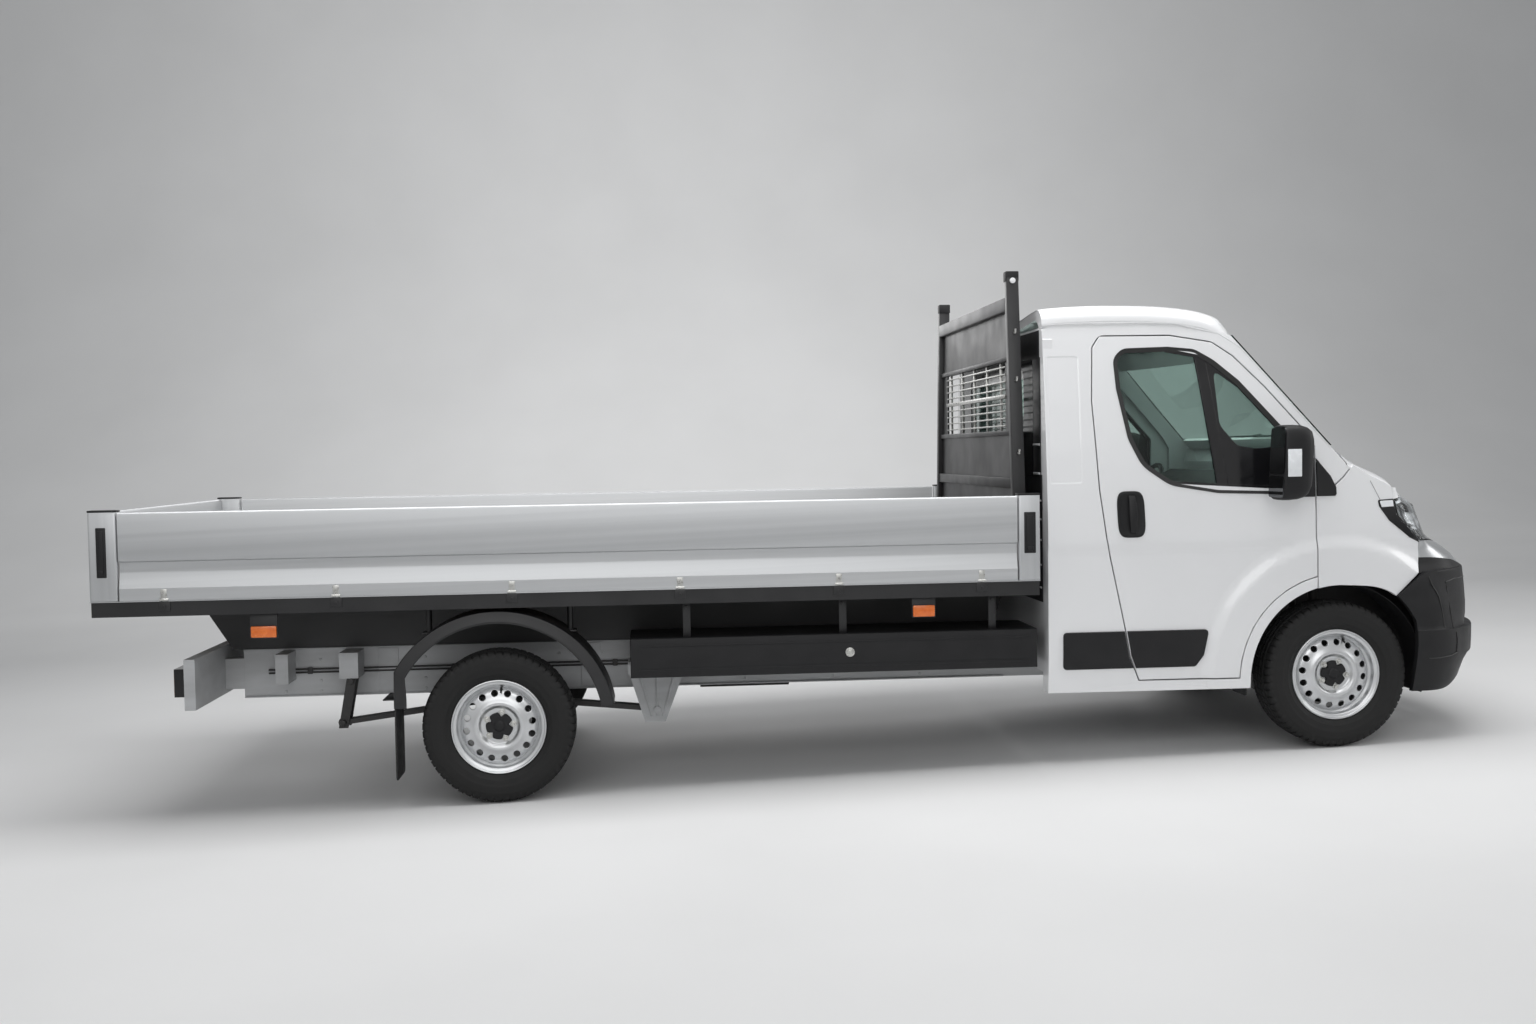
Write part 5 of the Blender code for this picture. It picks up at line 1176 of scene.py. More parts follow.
FIELD_LINES = frame_lines(-1.418, -1.258, 0.95, 1.56,
                          (-0.002, 0.002, 0.006, 0.01, 0.014, 0.018))
SWAGE_LINES = [[(-1.43, z), (-0.3, z)] for z in (0.598, 0.607, 0.62, 0.634, 0.648, 0.661, 0.67)]
for word, side in SIDES:
    shape = pressed_panel(DOOR_SEAM, cab_side, (window_hole,), 0.026, 0.01, 0.003, 0.012,
                          SWAGE_LINES)
    add_panel("door_skin_" + word, shape, paint, "door_" + word + "_body", side)
    shape = pressed_panel(body_side_outline(), quarter_side, (door_hole,), 0.034, 0.012,
                          bends=FIELD_LINES + SWAGE_LINES)
    add_panel("body_side_" + word, shape, paint, "chassis", side)
    shape = pressed_panel(wing_outline, cab_side, (), 0.02, 0.008, 0.003, 0.02)
    add_panel("wing_skin_" + word, shape, paint, "chassis", side, ("fender_" + word,))
print("cab sides pressed")

# %% [markdown]
# Two makers serve the trims: a strip between two loops, raised like a moulding,
# and a plate that follows the side's form with rounded edges.

# %% Moulded strips and plates
def band_between(outer, inner, form, lift_outer, lift_inner, depth):
    """A strip between two equal loops, raised like a moulding."""
    shape = bmesh.new()
    loops = []
    for loop, lift in ((outer, -depth), (outer, lift_outer), (inner, lift_inner),
                       (inner, -depth)):
        loops.append([shape.verts.new((x, form(x, z) + lift, z)) for x, z in loop])
    sew(shape, loops + loops[:1])
    return shape


def side_plate(outline, form, lift, thick, radius=0.003, spacing=0.02):
    """A moulded plate that follows the side form."""
    def lifted(x, z):
        return form(x, z) + lift
    return pressed_panel(outline, lifted, (), spacing, 0.01, radius, thick)

# %% [markdown]
# Around the side glass runs a black rubber channel. Small glossy trims cover the
# panel behind it along the sill and under the roof. A thick upright bar splits off
# the quarter light, whose black frame leaves a smaller opening. Low down the frame
# is widened into a black plate, painted shade for the dark cab seen through the
# glass. The glass behind all of it is the solid model's own.

# %% Window seal, trims and quarter light
window_loop = resampled(WINDOW, 0.012)
divider = [(-0.69, 1.574), (-0.634, 1.545), (-0.538, 0.9), (-0.594, 0.908)]
sill_trims = [
    [(-0.885, 0.962), (-0.829, 0.946), (-0.596, 0.906), (-0.242, 0.893), (-0.242, 0.92),
     (-0.6, 0.94), (-0.829, 0.956), (-0.87, 0.975)],
    [(-0.83, 1.59), (-0.7, 1.579), (-0.636, 1.545), (-0.7, 1.55), (-0.83, 1.573)],
]
quarter_outline = [(-0.634, 1.545), (-0.6, 1.52), (-0.48, 1.422), (-0.247, 1.163),
                   (-0.242, 0.895), (-0.538, 0.902)]
quarter_opening = rounded_corners([
    (-0.597, 1.486), (-0.384, 1.33), (-0.294, 1.216), (-0.312, 1.112), (-0.4, 1.104),
    (-0.492, 1.12), (-0.576, 1.22)], {0: 0.02, 2: 0.06, 3: 0.03, 5: 0.05, 6: 0.08})
for word, side in SIDES:
    body = "door_" + word + "_body"
    ring = band_between(moved_out(window_loop, 0.006), moved_out(window_loop, -0.017), cab_side,
                        0.0022, -0.004, 0.02)
    add_piece("window_seal_" + word, flip(ring, side), seal, body)
    bar = side_plate(divider, cab_side, -0.006, 0.012)
    add_panel("quarter_divider_" + word, bar, gloss_black, body, side)
    for place, outline in zip(("lower", "upper"), sill_trims):
        strip = side_plate(outline, cab_side, -0.0035, 0.01, 0.001)
        add_panel("window_trim_" + place + "_" + word, strip, gloss_black, body, side)
    # The quarter light's black frame; its wide lower part is painted shade of the dark cab inside.
    edge = pressed_panel(quarter_outline, lambda x, z: cab_side(x, z) - 0.007,
                         (quarter_opening,), 0.02, 0.008, 0.001, 0.004)
    add_panel("quarter_frame_and_painted_shade_" + word, edge, gloss_black, body, side)
print("points round the window", len(window_loop))

# %% [markdown]
# Low on the cab a broad band of grained plastic takes the scuffs. The door's seam
# cuts it in two. The mirror stands on a plastic sail on the door, and a second
# sail on the pillar carries its line forward. A fine dark line is the joint
# between the bonnet and the wing.

# %% Side bands, sails and the wing's joint
door_band = rounded_corners([(-1.004, 0.062), (-0.712, 0.062), (-0.673, 0.117), (-0.647, 0.241),
                             (-1.0475, 0.241), (-1.0265, 0.12)], {1: 0.02, 2: 0.02, 3: 0.02})
rear_band = rounded_corners([(-1.36, 0.062), (-1.016, 0.062), (-1.039, 0.12), (-1.06, 0.241),
                             (-1.36, 0.241)], {0: 0.02, 4: 0.02})
sail = rounded_corners([(-0.232, 0.868), (-0.1165, 0.868), (-0.1165, 1.055), (-0.236, 1.15)],
                       {0: 0.012, 1: 0.004, 2: 0.004, 3: 0.02})
pillar_sail = rounded_corners([(-0.1085, 0.87), (-0.016, 0.87), (-0.01, 0.88),
                               (-0.011, 0.912), (-0.038, 0.968), (-0.1085, 1.053)],
                              {0: 0.004, 1: 0.006, 3: 0.02, 4: 0.03})
gap_line = [(0.163 + 0.0525 * k / 10, 0.94 - 0.099 * k / 10) for k in range(11)]
for word, side in SIDES:
    door = "door_" + word + "_body"
    for name, outline, lift, body in (("door_band_", door_band, 0.01, door),
                                      ("rear_band_", rear_band, 0.01, "chassis"),
                                      ("mirror_sail_", sail, 0.008, door),
                                      ("pillar_sail_", pillar_sail, 0.008, "chassis")):
        plate = side_plate(outline, cab_side, lift, 0.012, 0.005)
        add_panel(name + word, plate, plastic, body, side)
    joint = tube([(x, cab_side(x, z) - 0.0003, z) for x, z in gap_line], 0.0014, 6)
    add_piece("wing_joint_" + word, flip(joint, side), gloss_black)
print("side trims", len(SIDES) * 5)

# %% [markdown]
# The handle is a shallow cup with squarish rounded corners, and an upright grip
# stands across it, sized for a gloved hand. The cup's outline is an oval with a
# high power, which is nearly a rectangle. The grip bows out in its middle.

# %% Door handles
HANDLE = (-1.0255, 0.8)
HANDLE_HALF_WIDE, HANDLE_HALF_HIGH, HANDLE_LEAN = 0.067, 0.111, 0.04
GRIP_STEPS = 12


def oval(centre, half_wide, half_high, lean, count=48, power=4.2):
    points = []
    for k in range(count):
        angle = 2 * pi * k / count
        c, s = cos(angle), sin(angle)
        a = half_wide * abs(c) ** (2 / power) * (1 if c > 0 else -1)
        b = half_high * abs(s) ** (2 / power) * (1 if s > 0 else -1)
        points.append((centre[0] + a - lean * b, centre[1] + b))
    return points


def handle_shape():
    shape = bmesh.new()
    loops = []
    for grow, lift in ((1.0, -0.004), (1.0, 0.003), (0.96, 0.0055), (0.86, 0.005), (0.8, 0.003),
                       (0.7, 0.0016), (0.35, 0.0014)):
        loops.append([shape.verts.new((x, cab_side(HANDLE[0], z) + lift, z)) for x, z in
                      oval(HANDLE, HANDLE_HALF_WIDE * grow, HANDLE_HALF_HIGH * grow, HANDLE_LEAN)])
    sew(shape, loops)
    shape.faces.new(loops[-1])
    grip = bmesh.new()
    rings = []
    for k in range(GRIP_STEPS + 1):
        t = k / GRIP_STEPS
        z = HANDLE[1] - 0.09 + 0.18 * t
        x = HANDLE[0] - HANDLE_LEAN * (z - HANDLE[1]) + 0.006
        bow = 0.004 + 0.018 * sin(pi * t) ** 0.6
        wide = 0.015 + 0.005 * sin(pi * t)
        turns = [2 * pi * j / GRIP_STEPS for j in range(GRIP_STEPS)]
        rings.append([grip.verts.new((x + wide * cos(a), cab_side(x, z) + bow + 0.006 * sin(a), z))
                      for a in turns])
    sew(grip, rings)
    grip.faces.new(rings[0])
    grip.faces.new(rings[-1])
    return gather(shape, grip)


add_pair("door_handle_", handle_shape, plastic, "door_*_body")
print("handles at", HANDLE)

# %% [markdown]
# ## Roof and rear wall
# The roof is one stamping with rolled shoulders. Its centre line is the crown's
# table, and every line across it bows forward in plan like the windscreen.

# %% Roof
ROOF_HALF = 0.94
ROOF_ROLL = 0.09


def roof_height(x, y):
    height = lookup(CROWN, x + PLAN_BOW * y * y) + 0.0008
    over = abs(y) - (ROOF_HALF - ROOF_ROLL)
    if over <= 0:
        return height
    reach = min(over, ROOF_ROLL)
    return height - (ROOF_ROLL - sqrt(max(0.0, ROOF_ROLL ** 2 - reach ** 2))) * 0.9


def roof_skin():
    half = [0.0, 0.09, 0.18, 0.27, 0.36, 0.45, 0.54, 0.62, 0.7, 0.77, 0.82, 0.85]
    half += [0.85 + ROOF_ROLL * sin(radians(10 * k)) for k in range(1, 10)]
    across = [-y for y in reversed(half[1:])] + half

    def place(i, k):
        s, y = -1.432 + 1.09 * i / 44, across[k]
        x = s - PLAN_BOW * y * y * ease(-1.1, -0.5, s)
        lift = 0.0012 if abs(y) > 0.93 else 0.0
        z = roof_height(x, y)
        return (x, y * (1.0 + lift), z), (x, y * 0.993, z - 0.004)

    return shell(44, len(across) - 1, place)


add_piece("roof_skin", roof_skin(), paint)
print("roof height", round(roof_height(-0.95, 0.0), 3))

# %% [markdown]
# The roof's joint is rolled into a rain channel that runs down the pillar. The
# cab's rear wall is ribbed. It stands in the headboard's shade, and a dark plate
# round the window paints that shade onto it. The real window's glass has a wide
# printed border, which is drawn here as a flat ring over the solid wall.

# %% Rain channel and rear wall
WALL_IN, WALL_OUT, RIB_CENTRE = -1.4285, -1.433, -1.4345
BORDER_IN, BORDER_OUT = -1.428, -1.4335


def drip_line():
    """The joint of roof and side, rolled into a rain channel that runs down the pillar."""
    points = [(x, cab_side(x, roof_edge(x)) - 0.002, roof_edge(x)) for x in
              [-1.425 + 0.785 * k / 20 for k in range(21)]]
    for z in (1.6, 1.5, 1.4, 1.3, 1.2, 1.1):
        points.append((pillar_front(z) - 0.006, cab_side(pillar_front(z), z) - 0.001, z))
    return tube(points, 0.0035, 8)


def rear_border():
    """Black printed edge round the rear window, on the cab's rear wall."""
    ring = bmesh.new()
    outer = rounded_box(-0.775, 0.775, 0.985, 1.56, [0.05] * 4)
    inner = rounded_box(-0.6, 0.6, 1.04, 1.515, [0.05] * 4)
    loops = []
    for x, loop in ((BORDER_IN, outer), (BORDER_OUT, outer), (BORDER_OUT, inner),
                    (BORDER_IN, inner)):
        loops.append([ring.verts.new((x, y, z)) for y, z in loop])
    sew(ring, loops + loops[:1])
    return ring


def rear_wall_painted_shade():
    """Painted shade: a dark plate on the rear wall, where the headboard shades it, left open round
    the window.
    """
    shapes = [block((WALL_OUT, WALL_IN), (-0.925, 0.925), (0.38, 0.995), 0.002),
              block((WALL_OUT, WALL_IN), (-0.89, 0.89), (1.55, 1.69), 0.002)]
    for side in (-1, 1):
        low, high = sorted((side * 0.765, side * 0.905))
        shapes.append(block((WALL_OUT, WALL_IN), (low, high), (0.985, 1.56), 0.002))
    return gather(*shapes)


def rear_wall_ribs():
    shapes = []
    for z in (0.45, 0.56, 0.68, 0.78, 0.87):
        shapes.append(tube([(RIB_CENTRE, -0.915, z), (RIB_CENTRE, 0.915, z)], 0.0045, 8))
    for z in (1.0, 1.14):
        for side in (-1, 1):
            shapes.append(tube([(RIB_CENTRE, side * 0.79, z), (RIB_CENTRE, side * 0.9, z)],
                               0.006, 8))
    return gather(*shapes)


add_pair("drip_line_", drip_line, paint)
add_piece("rear_window_border", rear_border(), gloss_black)
# The dark plate on the rear wall is painted shade from the headboard.
add_piece("rear_wall_painted_shade", rear_wall_painted_shade(), powder)
add_piece("rear_wall_ribs", rear_wall_ribs(), chassis_grey)
print("rear wall at", WALL_OUT)

# %% [markdown]
# ## Bonnet and nose
# The short bonnet follows the same kind of centre line as the roof, further down.
# A soft crease runs along each side of it. Beside the bonnet the wing's top is a
# narrow strip that rolls over into the wing's side.

# %% Bonnet and wing shoulders
BONNET_REAR = 0.2695
BONNET_ROWS = 30
BONNET_EDGE = [(0.0, 0.712), (0.6, 0.64), (0.68, 0.56), (0.76, 0.455), (0.84, 0.335)]


def bonnet_front(y):
    return lookup(BONNET_EDGE, abs(y))


def bonnet_skin():
    half = [BONNET_HALF * (k / 24) for k in range(25)]
    outer, inner = [], []
    for y in [-y for y in reversed(half[1:])] + half:
        row, low = [], []
        front = bonnet_front(y)
        for k in range(BONNET_ROWS + 1):
            x = BONNET_REAR + (front + 0.0006 - BONNET_REAR) * k / BONNET_ROWS
            roll = 0.003 * max(0.0, 1 - min(k, BONNET_ROWS - k)) ** 2
            roll += 0.003 * max(0.0, 1 - (0.8405 - abs(y)) / 0.02) ** 3
            z = bonnet_height(x, y) + 0.0008 - roll
            crease = 0.01 * ease(0.44, 0.52, abs(y)) * (1 - ease(0.52, 0.66, abs(y)))
            z += crease * ease(0.3, 0.42, x) * 0.6
            row.append((x, y * 1.0006, z))
            low.append((x, y * 1.0006, z - 0.024))
        outer.append(row)
        inner.append(low)
    return skin(outer, inner)


def wing_shoulder():
    def place(i, k):
        x = 0.0515 + (0.2725 - 0.0515) * i / 20
        edge = cab_side(x, 1.0)
        y = 0.8455 + (edge - 0.8455) * k / 12
        reach = (y - BONNET_HALF) / 0.145
        z = bonnet_height(x, BONNET_HALF) - 0.044 * reach ** 2 + 0.0012
        z -= 0.01 * max(0.0, (y - edge + 0.02) / 0.02) ** 2
        return (x, y, z), (x, y, z - 0.01)

    return shell(20, 12, place)


add_piece("bonnet_skin", bonnet_skin(), paint, "bonnet_body", ("bonnet",))
add_pair("wing_shoulder_", wing_shoulder, paint)
print("bonnet front", BONNET_EDGE[0][1])

# %% [markdown]
# The nose is drawn in plan as a squared-off arc that leans back as it rises. The
# bumper below it is a rounder arc, and the two blend at the bumper's top, so that
# one face runs on into the other.

# %% Plan of the nose
NOSE_HALF, NOSE_SIDE, NOSE_DEPTH, NOSE_POWER, BUMPER_POWER = 1.03, 0.44, 0.52, 2.3, 2.08
NOSE_LEAN = [(0.505, 0.044), (0.56, 0.105), (0.655, 0.255), (0.81, 0.316), (0.88, 0.41),
             (0.93, 0.48)]


def straight(table, value):
    if value <= table[0][0]:
        return table[0][1]
    for (a, low), (b, high) in zip(table, table[1:]):
        if value <= b:
            return low + (high - low) * (value - a) / (b - a)
    return table[-1][1]


def nose_at(y, z):
    across = min(1.0, abs(y) / NOSE_HALF)
    power = BUMPER_POWER + (NOSE_POWER - BUMPER_POWER) * ease(0.51, 0.62, z)
    reach = NOSE_DEPTH * (1.0 - across ** power) ** (1.0 / power)
    return NOSE_SIDE + reach - straight(NOSE_LEAN, z)


print("nose at the middle", round(nose_at(0.0, 0.505), 3))

# %% [markdown]
# The bumper is a plastic moulding in one piece from arch to arch. Its section
# changes slope four times, and each change shows as a crease in the light. The
# section is swept round the plan. Its ends stop on the line of the wheel arch, and
# its top edge on the line where the wing and the lamp begin.

# %% Bumper
BUMPER_THICK = 0.029
BUMPER_SECTION = [
    (-0.125, -0.13), (-0.112, -0.1), (-0.092, -0.07), (-0.07, -0.056), (-0.03, -0.042),
    (0.03, -0.018), (0.068, 0.012), (0.078, 0.028), (0.14, 0.031), (0.202, 0.0305),
    (0.208, 0.028), (0.2105, 0.004), (0.213, -0.012), (0.232, -0.0148), (0.262, -0.0148),
    (0.326, -0.0146), (0.334, -0.0165), (0.4, -0.024), (0.46, -0.033), (0.486, -0.0375),
    (0.496, -0.0395), (0.5005, -0.044),
]
BUMPER_TURN = [None, -90, -87, -84, -81, -78, -74, -70, -65, -60, -54, -48, -42, -36, -30, -24,
               -18, -12, -6, 0]
BUMPER_TURN += [-a if a is not None else None for a in reversed(BUMPER_TURN[:-1])]
BUMPER_REAR = [(-0.1, 0.384), (0.07, 0.39), (0.16, 0.394), (0.256, 0.386), (0.32, 0.346),
               (0.378, 0.292), (0.5, 0.292)]


def bumper_skin():
    outer, inner = [], []
    for index, angle in enumerate(BUMPER_TURN):
        side = RIGHT if index < len(BUMPER_TURN) // 2 else LEFT
        row, low = [], []
        for z, stand in BUMPER_SECTION:
            half = body_half(z) - 0.003 + stand * 0.1
            if angle is None:
                x = straight(BUMPER_REAR, z)
                point = Vector((x, side * (half + arch_flare(x, z)), z))
                back = Vector((0, -side * BUMPER_THICK, 0))
            else:
                a = radians(angle)
                power = 2.0 / BUMPER_POWER
                notch = 1.0 - ease(0.0, 0.042, abs(z - 0.216))
                stand = stand - 0.036 * notch * (1.0 - ease(30, 62, abs(angle))) * (z > 0.2095)
                x = NOSE_SIDE + (NOSE_DEPTH + stand) * abs(cos(a)) ** power
                y = (half + arch_flare(x, z)) * abs(sin(a)) ** power * (1 if a > 0 else -1)
                point = Vector((x, y, z))
                back = -Vector((abs(cos(a)), sin(a), 0)) * BUMPER_THICK
            if z < 0.05:
                sweep = 1.0 if angle is None else abs(sin(radians(angle)))
                point.z = 0.05 + (z - 0.05) * (0.69 + 0.13 * sweep)
            point.z = min(point.z, straight(BUMPER_TOP, point.x))
            row.append(tuple(point))
            low.append(tuple(point + back))
        outer.append(row)
        inner.append(low)
    return skin(outer, inner)


add_piece("bumper_skin", bumper_skin(), plastic, "chassis", ("front_bumper",), crease=40)
print("points round the bumper", len(BUMPER_TURN))

# %% [markdown]
# Two pressed creases cross the bumper's corner: one climbs beside the wheel arch,
# and one runs round the sunk field in the corner. Each is a thin dark line on the
# bumper's face, given by angles round the nose and heights.

# %% Bumper creases
def bumper_at(angle, z):
    """A point on the bumper's face; the angle runs from 0 in front to 90 at the side."""
    stand = straight(BUMPER_SECTION, z)
    a = radians(angle)
    half = body_half(z) - 0.003 + stand * 0.1
    x = NOSE_SIDE + (NOSE_DEPTH + stand) * cos(a) ** (2.0 / BUMPER_POWER)
    return x, (half + arch_flare(x, z)) * sin(a) ** (2.0 / BUMPER_POWER), z


BUMPER_CREASES = [
    [(89, 0.47), (87.5, 0.43), (83.5, 0.37), (81.5, 0.3), (80, 0.22)],
    [(89, 0.072), (83, 0.072), (76, 0.08), (72, 0.092), (72, 0.16), (75, 0.31), (77.5, 0.44),
     (70, 0.452), (55, 0.45), (45, 0.44), (43, 0.41)],
]
for word, side in SIDES:
    lines = []
    for line in BUMPER_CREASES:
        fine = []
        for (a, z), (b, top) in zip(line, line[1:]):
            fine += [bumper_at(a + (b - a) * k / 5, z + (top - z) * k / 5) for k in range(5)]
        lines.append(tube(fine + [bumper_at(*line[-1])], 0.0024, 8))
    add_piece("bumper_creases_" + word, flip(gather(*lines), side), satin_black)
print("creases on each side", len(BUMPER_CREASES))

# %% [markdown]
# The headlamp wraps round the nose's corner and meets the wing. It is a clear
# lens over a black dish, with two chromed barrels inside, and a white light guide
# follows its upper edge. All of its parts lie on one grid of points, which is
# sunk by a different depth for each.

# %% Headlamps
LAMP_ACROSS, LAMP_UP = 30, 12
WING_FRONT = [(0.4885, 0.419), (0.57, 0.4275), (0.64, 0.4245), (0.772, 0.301), (0.86, 0.2805)]
CORNER_START = 0.88


def nose_round(t, z):
    """Plan of the nose at one height; from CORNER_START to 1 it turns back to meet the wing."""
    if t <= CORNER_START:
        return nose_at(t, z), t
    start = Vector((nose_at(CORNER_START, z), CORNER_START))
    ahead = Vector((nose_at(CORNER_START, z) - nose_at(CORNER_START - 0.01, z), 0.01)).normalized()
    edge_x = straight(WING_FRONT, z)
    end = Vector((edge_x + 0.003, cab_side(edge_x, z) - 0.0015))
    forward = Vector((1.0, -0.6 * max(0.0, edge_x - 0.05))).normalized()
    reach = (end - start).length * 0.42
    a, b, c, d = start, start + ahead * reach, end + forward * reach, end
    u = (t - CORNER_START) / (1.0 - CORNER_START)
    point = (1 - u) ** 3 * a + 3 * (1 - u) ** 2 * u * b + 3 * (1 - u) * u * u * c + u ** 3 * d
    return point.x, point.y


LAMP_COLUMNS = [
    (0.62, 0.588, 0.598), (0.7, 0.612, 0.736), (0.77, 0.628, 0.812), (0.84, 0.638, 0.866),
    (0.91, 0.644, 0.866), (0.96, 0.646, 0.857), (1.0, 0.646, 0.848),
]
LAMP_LOW = [(y, low) for y, low, _ in LAMP_COLUMNS]
LAMP_HIGH = [(y, high) for y, _, high in LAMP_COLUMNS]


def lamp_grid(columns, rows, y_low, y_high, sink):
    grid = []
    for i in range(columns + 1):
        y = y_low + (y_high - y_low) * i / columns
        low, high = lookup(LAMP_LOW, y), lookup(LAMP_HIGH, y)
        row = []
        for k in range(rows + 1):
            z = low + (high - low) * k / rows
            x, across = nose_round(y, z)
            turn = ease(0.86, 1.0, y)
            row.append((x - sink * (1 - 0.6 * turn), across - sink * (0.22 + 0.6 * turn), z))
        grid.append(row)
    return grid


def lamp_dish():
    return skin(lamp_grid(LAMP_ACROSS, LAMP_UP, 0.628, 0.992, 0.04),
                lamp_grid(LAMP_ACROSS, LAMP_UP, 0.628, 0.992, 0.052))


def lamp_rim():
    """Black edge of the lamp from the lens down to the dish."""
    shape = bmesh.new()
    front = lamp_grid(LAMP_ACROSS, LAMP_UP, 0.626, 0.997, 0.002)
    back = lamp_grid(LAMP_ACROSS, LAMP_UP, 0.626, 0.997, 0.054)
    rim = [(i, 0) for i in range(LAMP_ACROSS + 1)]
    rim += [(LAMP_ACROSS, j) for j in range(1, LAMP_UP + 1)]
    rim += [(i, LAMP_UP) for i in range(LAMP_ACROSS - 1, -1, -1)]
    rim += [(0, j) for j in range(LAMP_UP - 1, 0, -1)]
    a = [shape.verts.new(front[i][j]) for i, j in rim]
    b = [shape.verts.new(back[i][j]) for i, j in rim]
    middle_front = sum((v.co for v in a), Vector()) / len(a)
    c, d = ([shape.verts.new(v.co + (middle_front - v.co).normalized() * 0.004) for v in edge]
            for edge in (a, b))
    sew(shape, [a, b, d, c, a])
    return shape


def lamp_bar():
    """The daytime light: a white strip that follows the lamp's upper edge."""
    points = []
    for k in range(25):
        t = 0.7 + 0.29 * k / 24
        z = lookup(LAMP_HIGH, t) - 0.022
        x, across = nose_round(t, z)
        points.append((x - 0.01, across - 0.01, z))
    return tube(points, 0.0085, 10)


def lamp_barrels():
    shapes = []
    for y, z, radius in ((0.77, 0.705, 0.04), (0.862, 0.738, 0.038)):
        x = nose_at(y, z)
        shapes.append(rod((x - 0.1, y - 0.02, z), (x - 0.02, y - 0.012, z), radius, 28, 0.003))
    return gather(*shapes)


def lamp_glass():
    return skin(lamp_grid(36, 16, 0.6215, 1.0, -0.0004), lamp_grid(36, 16, 0.6215, 1.0, 0.0028))


add_pair("lamp_lens_", lamp_glass, lens, stands_for=("headlamp_*",))
add_pair("lamp_dish_", lamp_dish, gloss_black)
add_pair("lamp_rim_", lamp_rim, gloss_black)
add_pair("lamp_daylight_", lamp_bar, daylight)
add_pair("lamp_barrels_", lamp_barrels, chrome)
print("lamp width across", LAMP_COLUMNS[-1][0] - LAMP_COLUMNS[0][0])

# %% [markdown]
# Between the lamps a dark panel slopes back to the bonnet, with three bars over
# the air slots. The real one is glossy plastic, clipped on from the front.

# %% Nose panel with air slots
GRILLE_FOOT = 0.5012
GRILLE_TOP = [(0.0, 0.592), (0.45, 0.592), (0.615, 0.582), (0.7, 0.608), (0.77, 0.624),
              (0.84, 0.634), (0.91, 0.64), (1.0, 0.642)]


def nose_panel():
    half = [0.64 * k / 30 for k in range(31)]
    across = [-y for y in reversed(half[1:])] + half

    def place(i, k):
        y = across[i]
        z = GRILLE_FOOT + (straight(GRILLE_TOP, abs(y)) - GRILLE_FOOT) * k / 12
        x = nose_at(y, z) + 0.0006
        return (x, y, z), (x - 0.02, y * 0.99, z - (0.01 if k > 0 else 0.0))

    return shell(60, 12, place)


def air_slots():
    shapes = []
    for z in (0.522, 0.545, 0.568):
        line = [(nose_at(y, z) + 0.003, y, z) for y in [-0.58 + 1.16 * k / 24 for k in range(25)]]
        shapes.append(tube(line, 0.0065, 8))
    return gather(*shapes)


add_piece("nose_panel_skin", nose_panel(), satin_black, "chassis", ("grille",))
add_piece("air_slot_bars", air_slots(), gloss_black)
print("nose panel foot", GRILLE_FOOT)

# %% [markdown]
# Three strips wrap round the nose's corner from the panel to the wing: a shoulder
# of black plastic on top of the bumper, a silver-grey corner under the lamp, and
# a painted brow over it. Where the lamp runs on along the wing it ends in a black
# tail with a short light guide. Each strip is the same grid between two lines.

# %% Corner strips and the lamp's tail
def bumper_line(t):
    return straight(BUMPER_TOP, nose_round(t, 0.5)[0]) - 0.004


def silver_foot(t):
    return 0.5035 + 0.0565 * ease(0.7, 1.0, t)


def brow_top(t):
    return 0.88 + 0.025 * ease(0.88, 1.0, t)


def nose_band(start, foot_at, top_at, lift):
    """A strip of the nose's corner between two lines, wrapped back to the wing."""
    def place(i, k):
        t = start + (1.0 - start) * i / 36
        z = foot_at(t) + (top_at(t) - foot_at(t)) * k / 10
        x, y = nose_round(t, z)
        return (x + lift, y, z), (x - 0.016, y - 0.008, z)

    return shell(36, 10, place)


lamp_tail = [(0.2, 0.846), (0.206, 0.815), (0.2585, 0.745), (0.37, 0.66), (0.4265, 0.634),
             (0.4235, 0.642), (0.3, 0.774), (0.2795, 0.851)]
tail_guide = [(0.208, 0.8415), (0.279, 0.844), (0.283, 0.814), (0.219, 0.811)]
for word, side in SIDES:
    for name, finish, start, foot_at, top_at, lift in (
            ("bumper_shoulder_", plastic, 0.62, bumper_line, silver_foot, 0.001),
            ("nose_corner_", nose_silver, 0.6, silver_foot,
             lambda t: straight(GRILLE_TOP, t), 0.0018),
            ("lamp_brow_", paint, 0.83, lambda t: lookup(LAMP_HIGH, t) + 0.002, brow_top, 0.001)):
        band = nose_band(start, foot_at, top_at, lift)
        add_piece(name + word, flip(band, side), finish)
    tail = side_plate(rounded_corners(lamp_tail, {0: 0.008, 1: 0.01}), cab_side, 0.003, 0.004,
                      0.0015, 0.012)
    add_panel("lamp_tail_" + word, tail, gloss_black, "chassis", side)
    guide = side_plate(rounded_corners(tail_guide, {0: 0.006, 3: 0.006}), cab_side, 0.0048, 0.003,
                       0.0012, 0.012)
    add_panel("lamp_tail_guide_" + word, guide, daylight, "chassis", side)
print("lamp tail from", lamp_tail[0], "to", lamp_tail[4])

# %% [markdown]
# The windscreen is laminated glass glued over the pillars. A black printed border
# hides the glue. Two wipers park low on the glass, above the cowl.

# %% Windscreen and wipers
def screen_piece(low, high, y_from, y_to, lift, thick, columns, rows):
    def place(i, k):
        z = low + (high - low) * i / rows
        y = (body_half(z) - 0.012) * (y_from + (y_to - y_from) * k / columns)
        x = screen_at(z, y) + lift
        return (x, y, z), (x - thick, y, z)

    return shell(rows, columns, place)


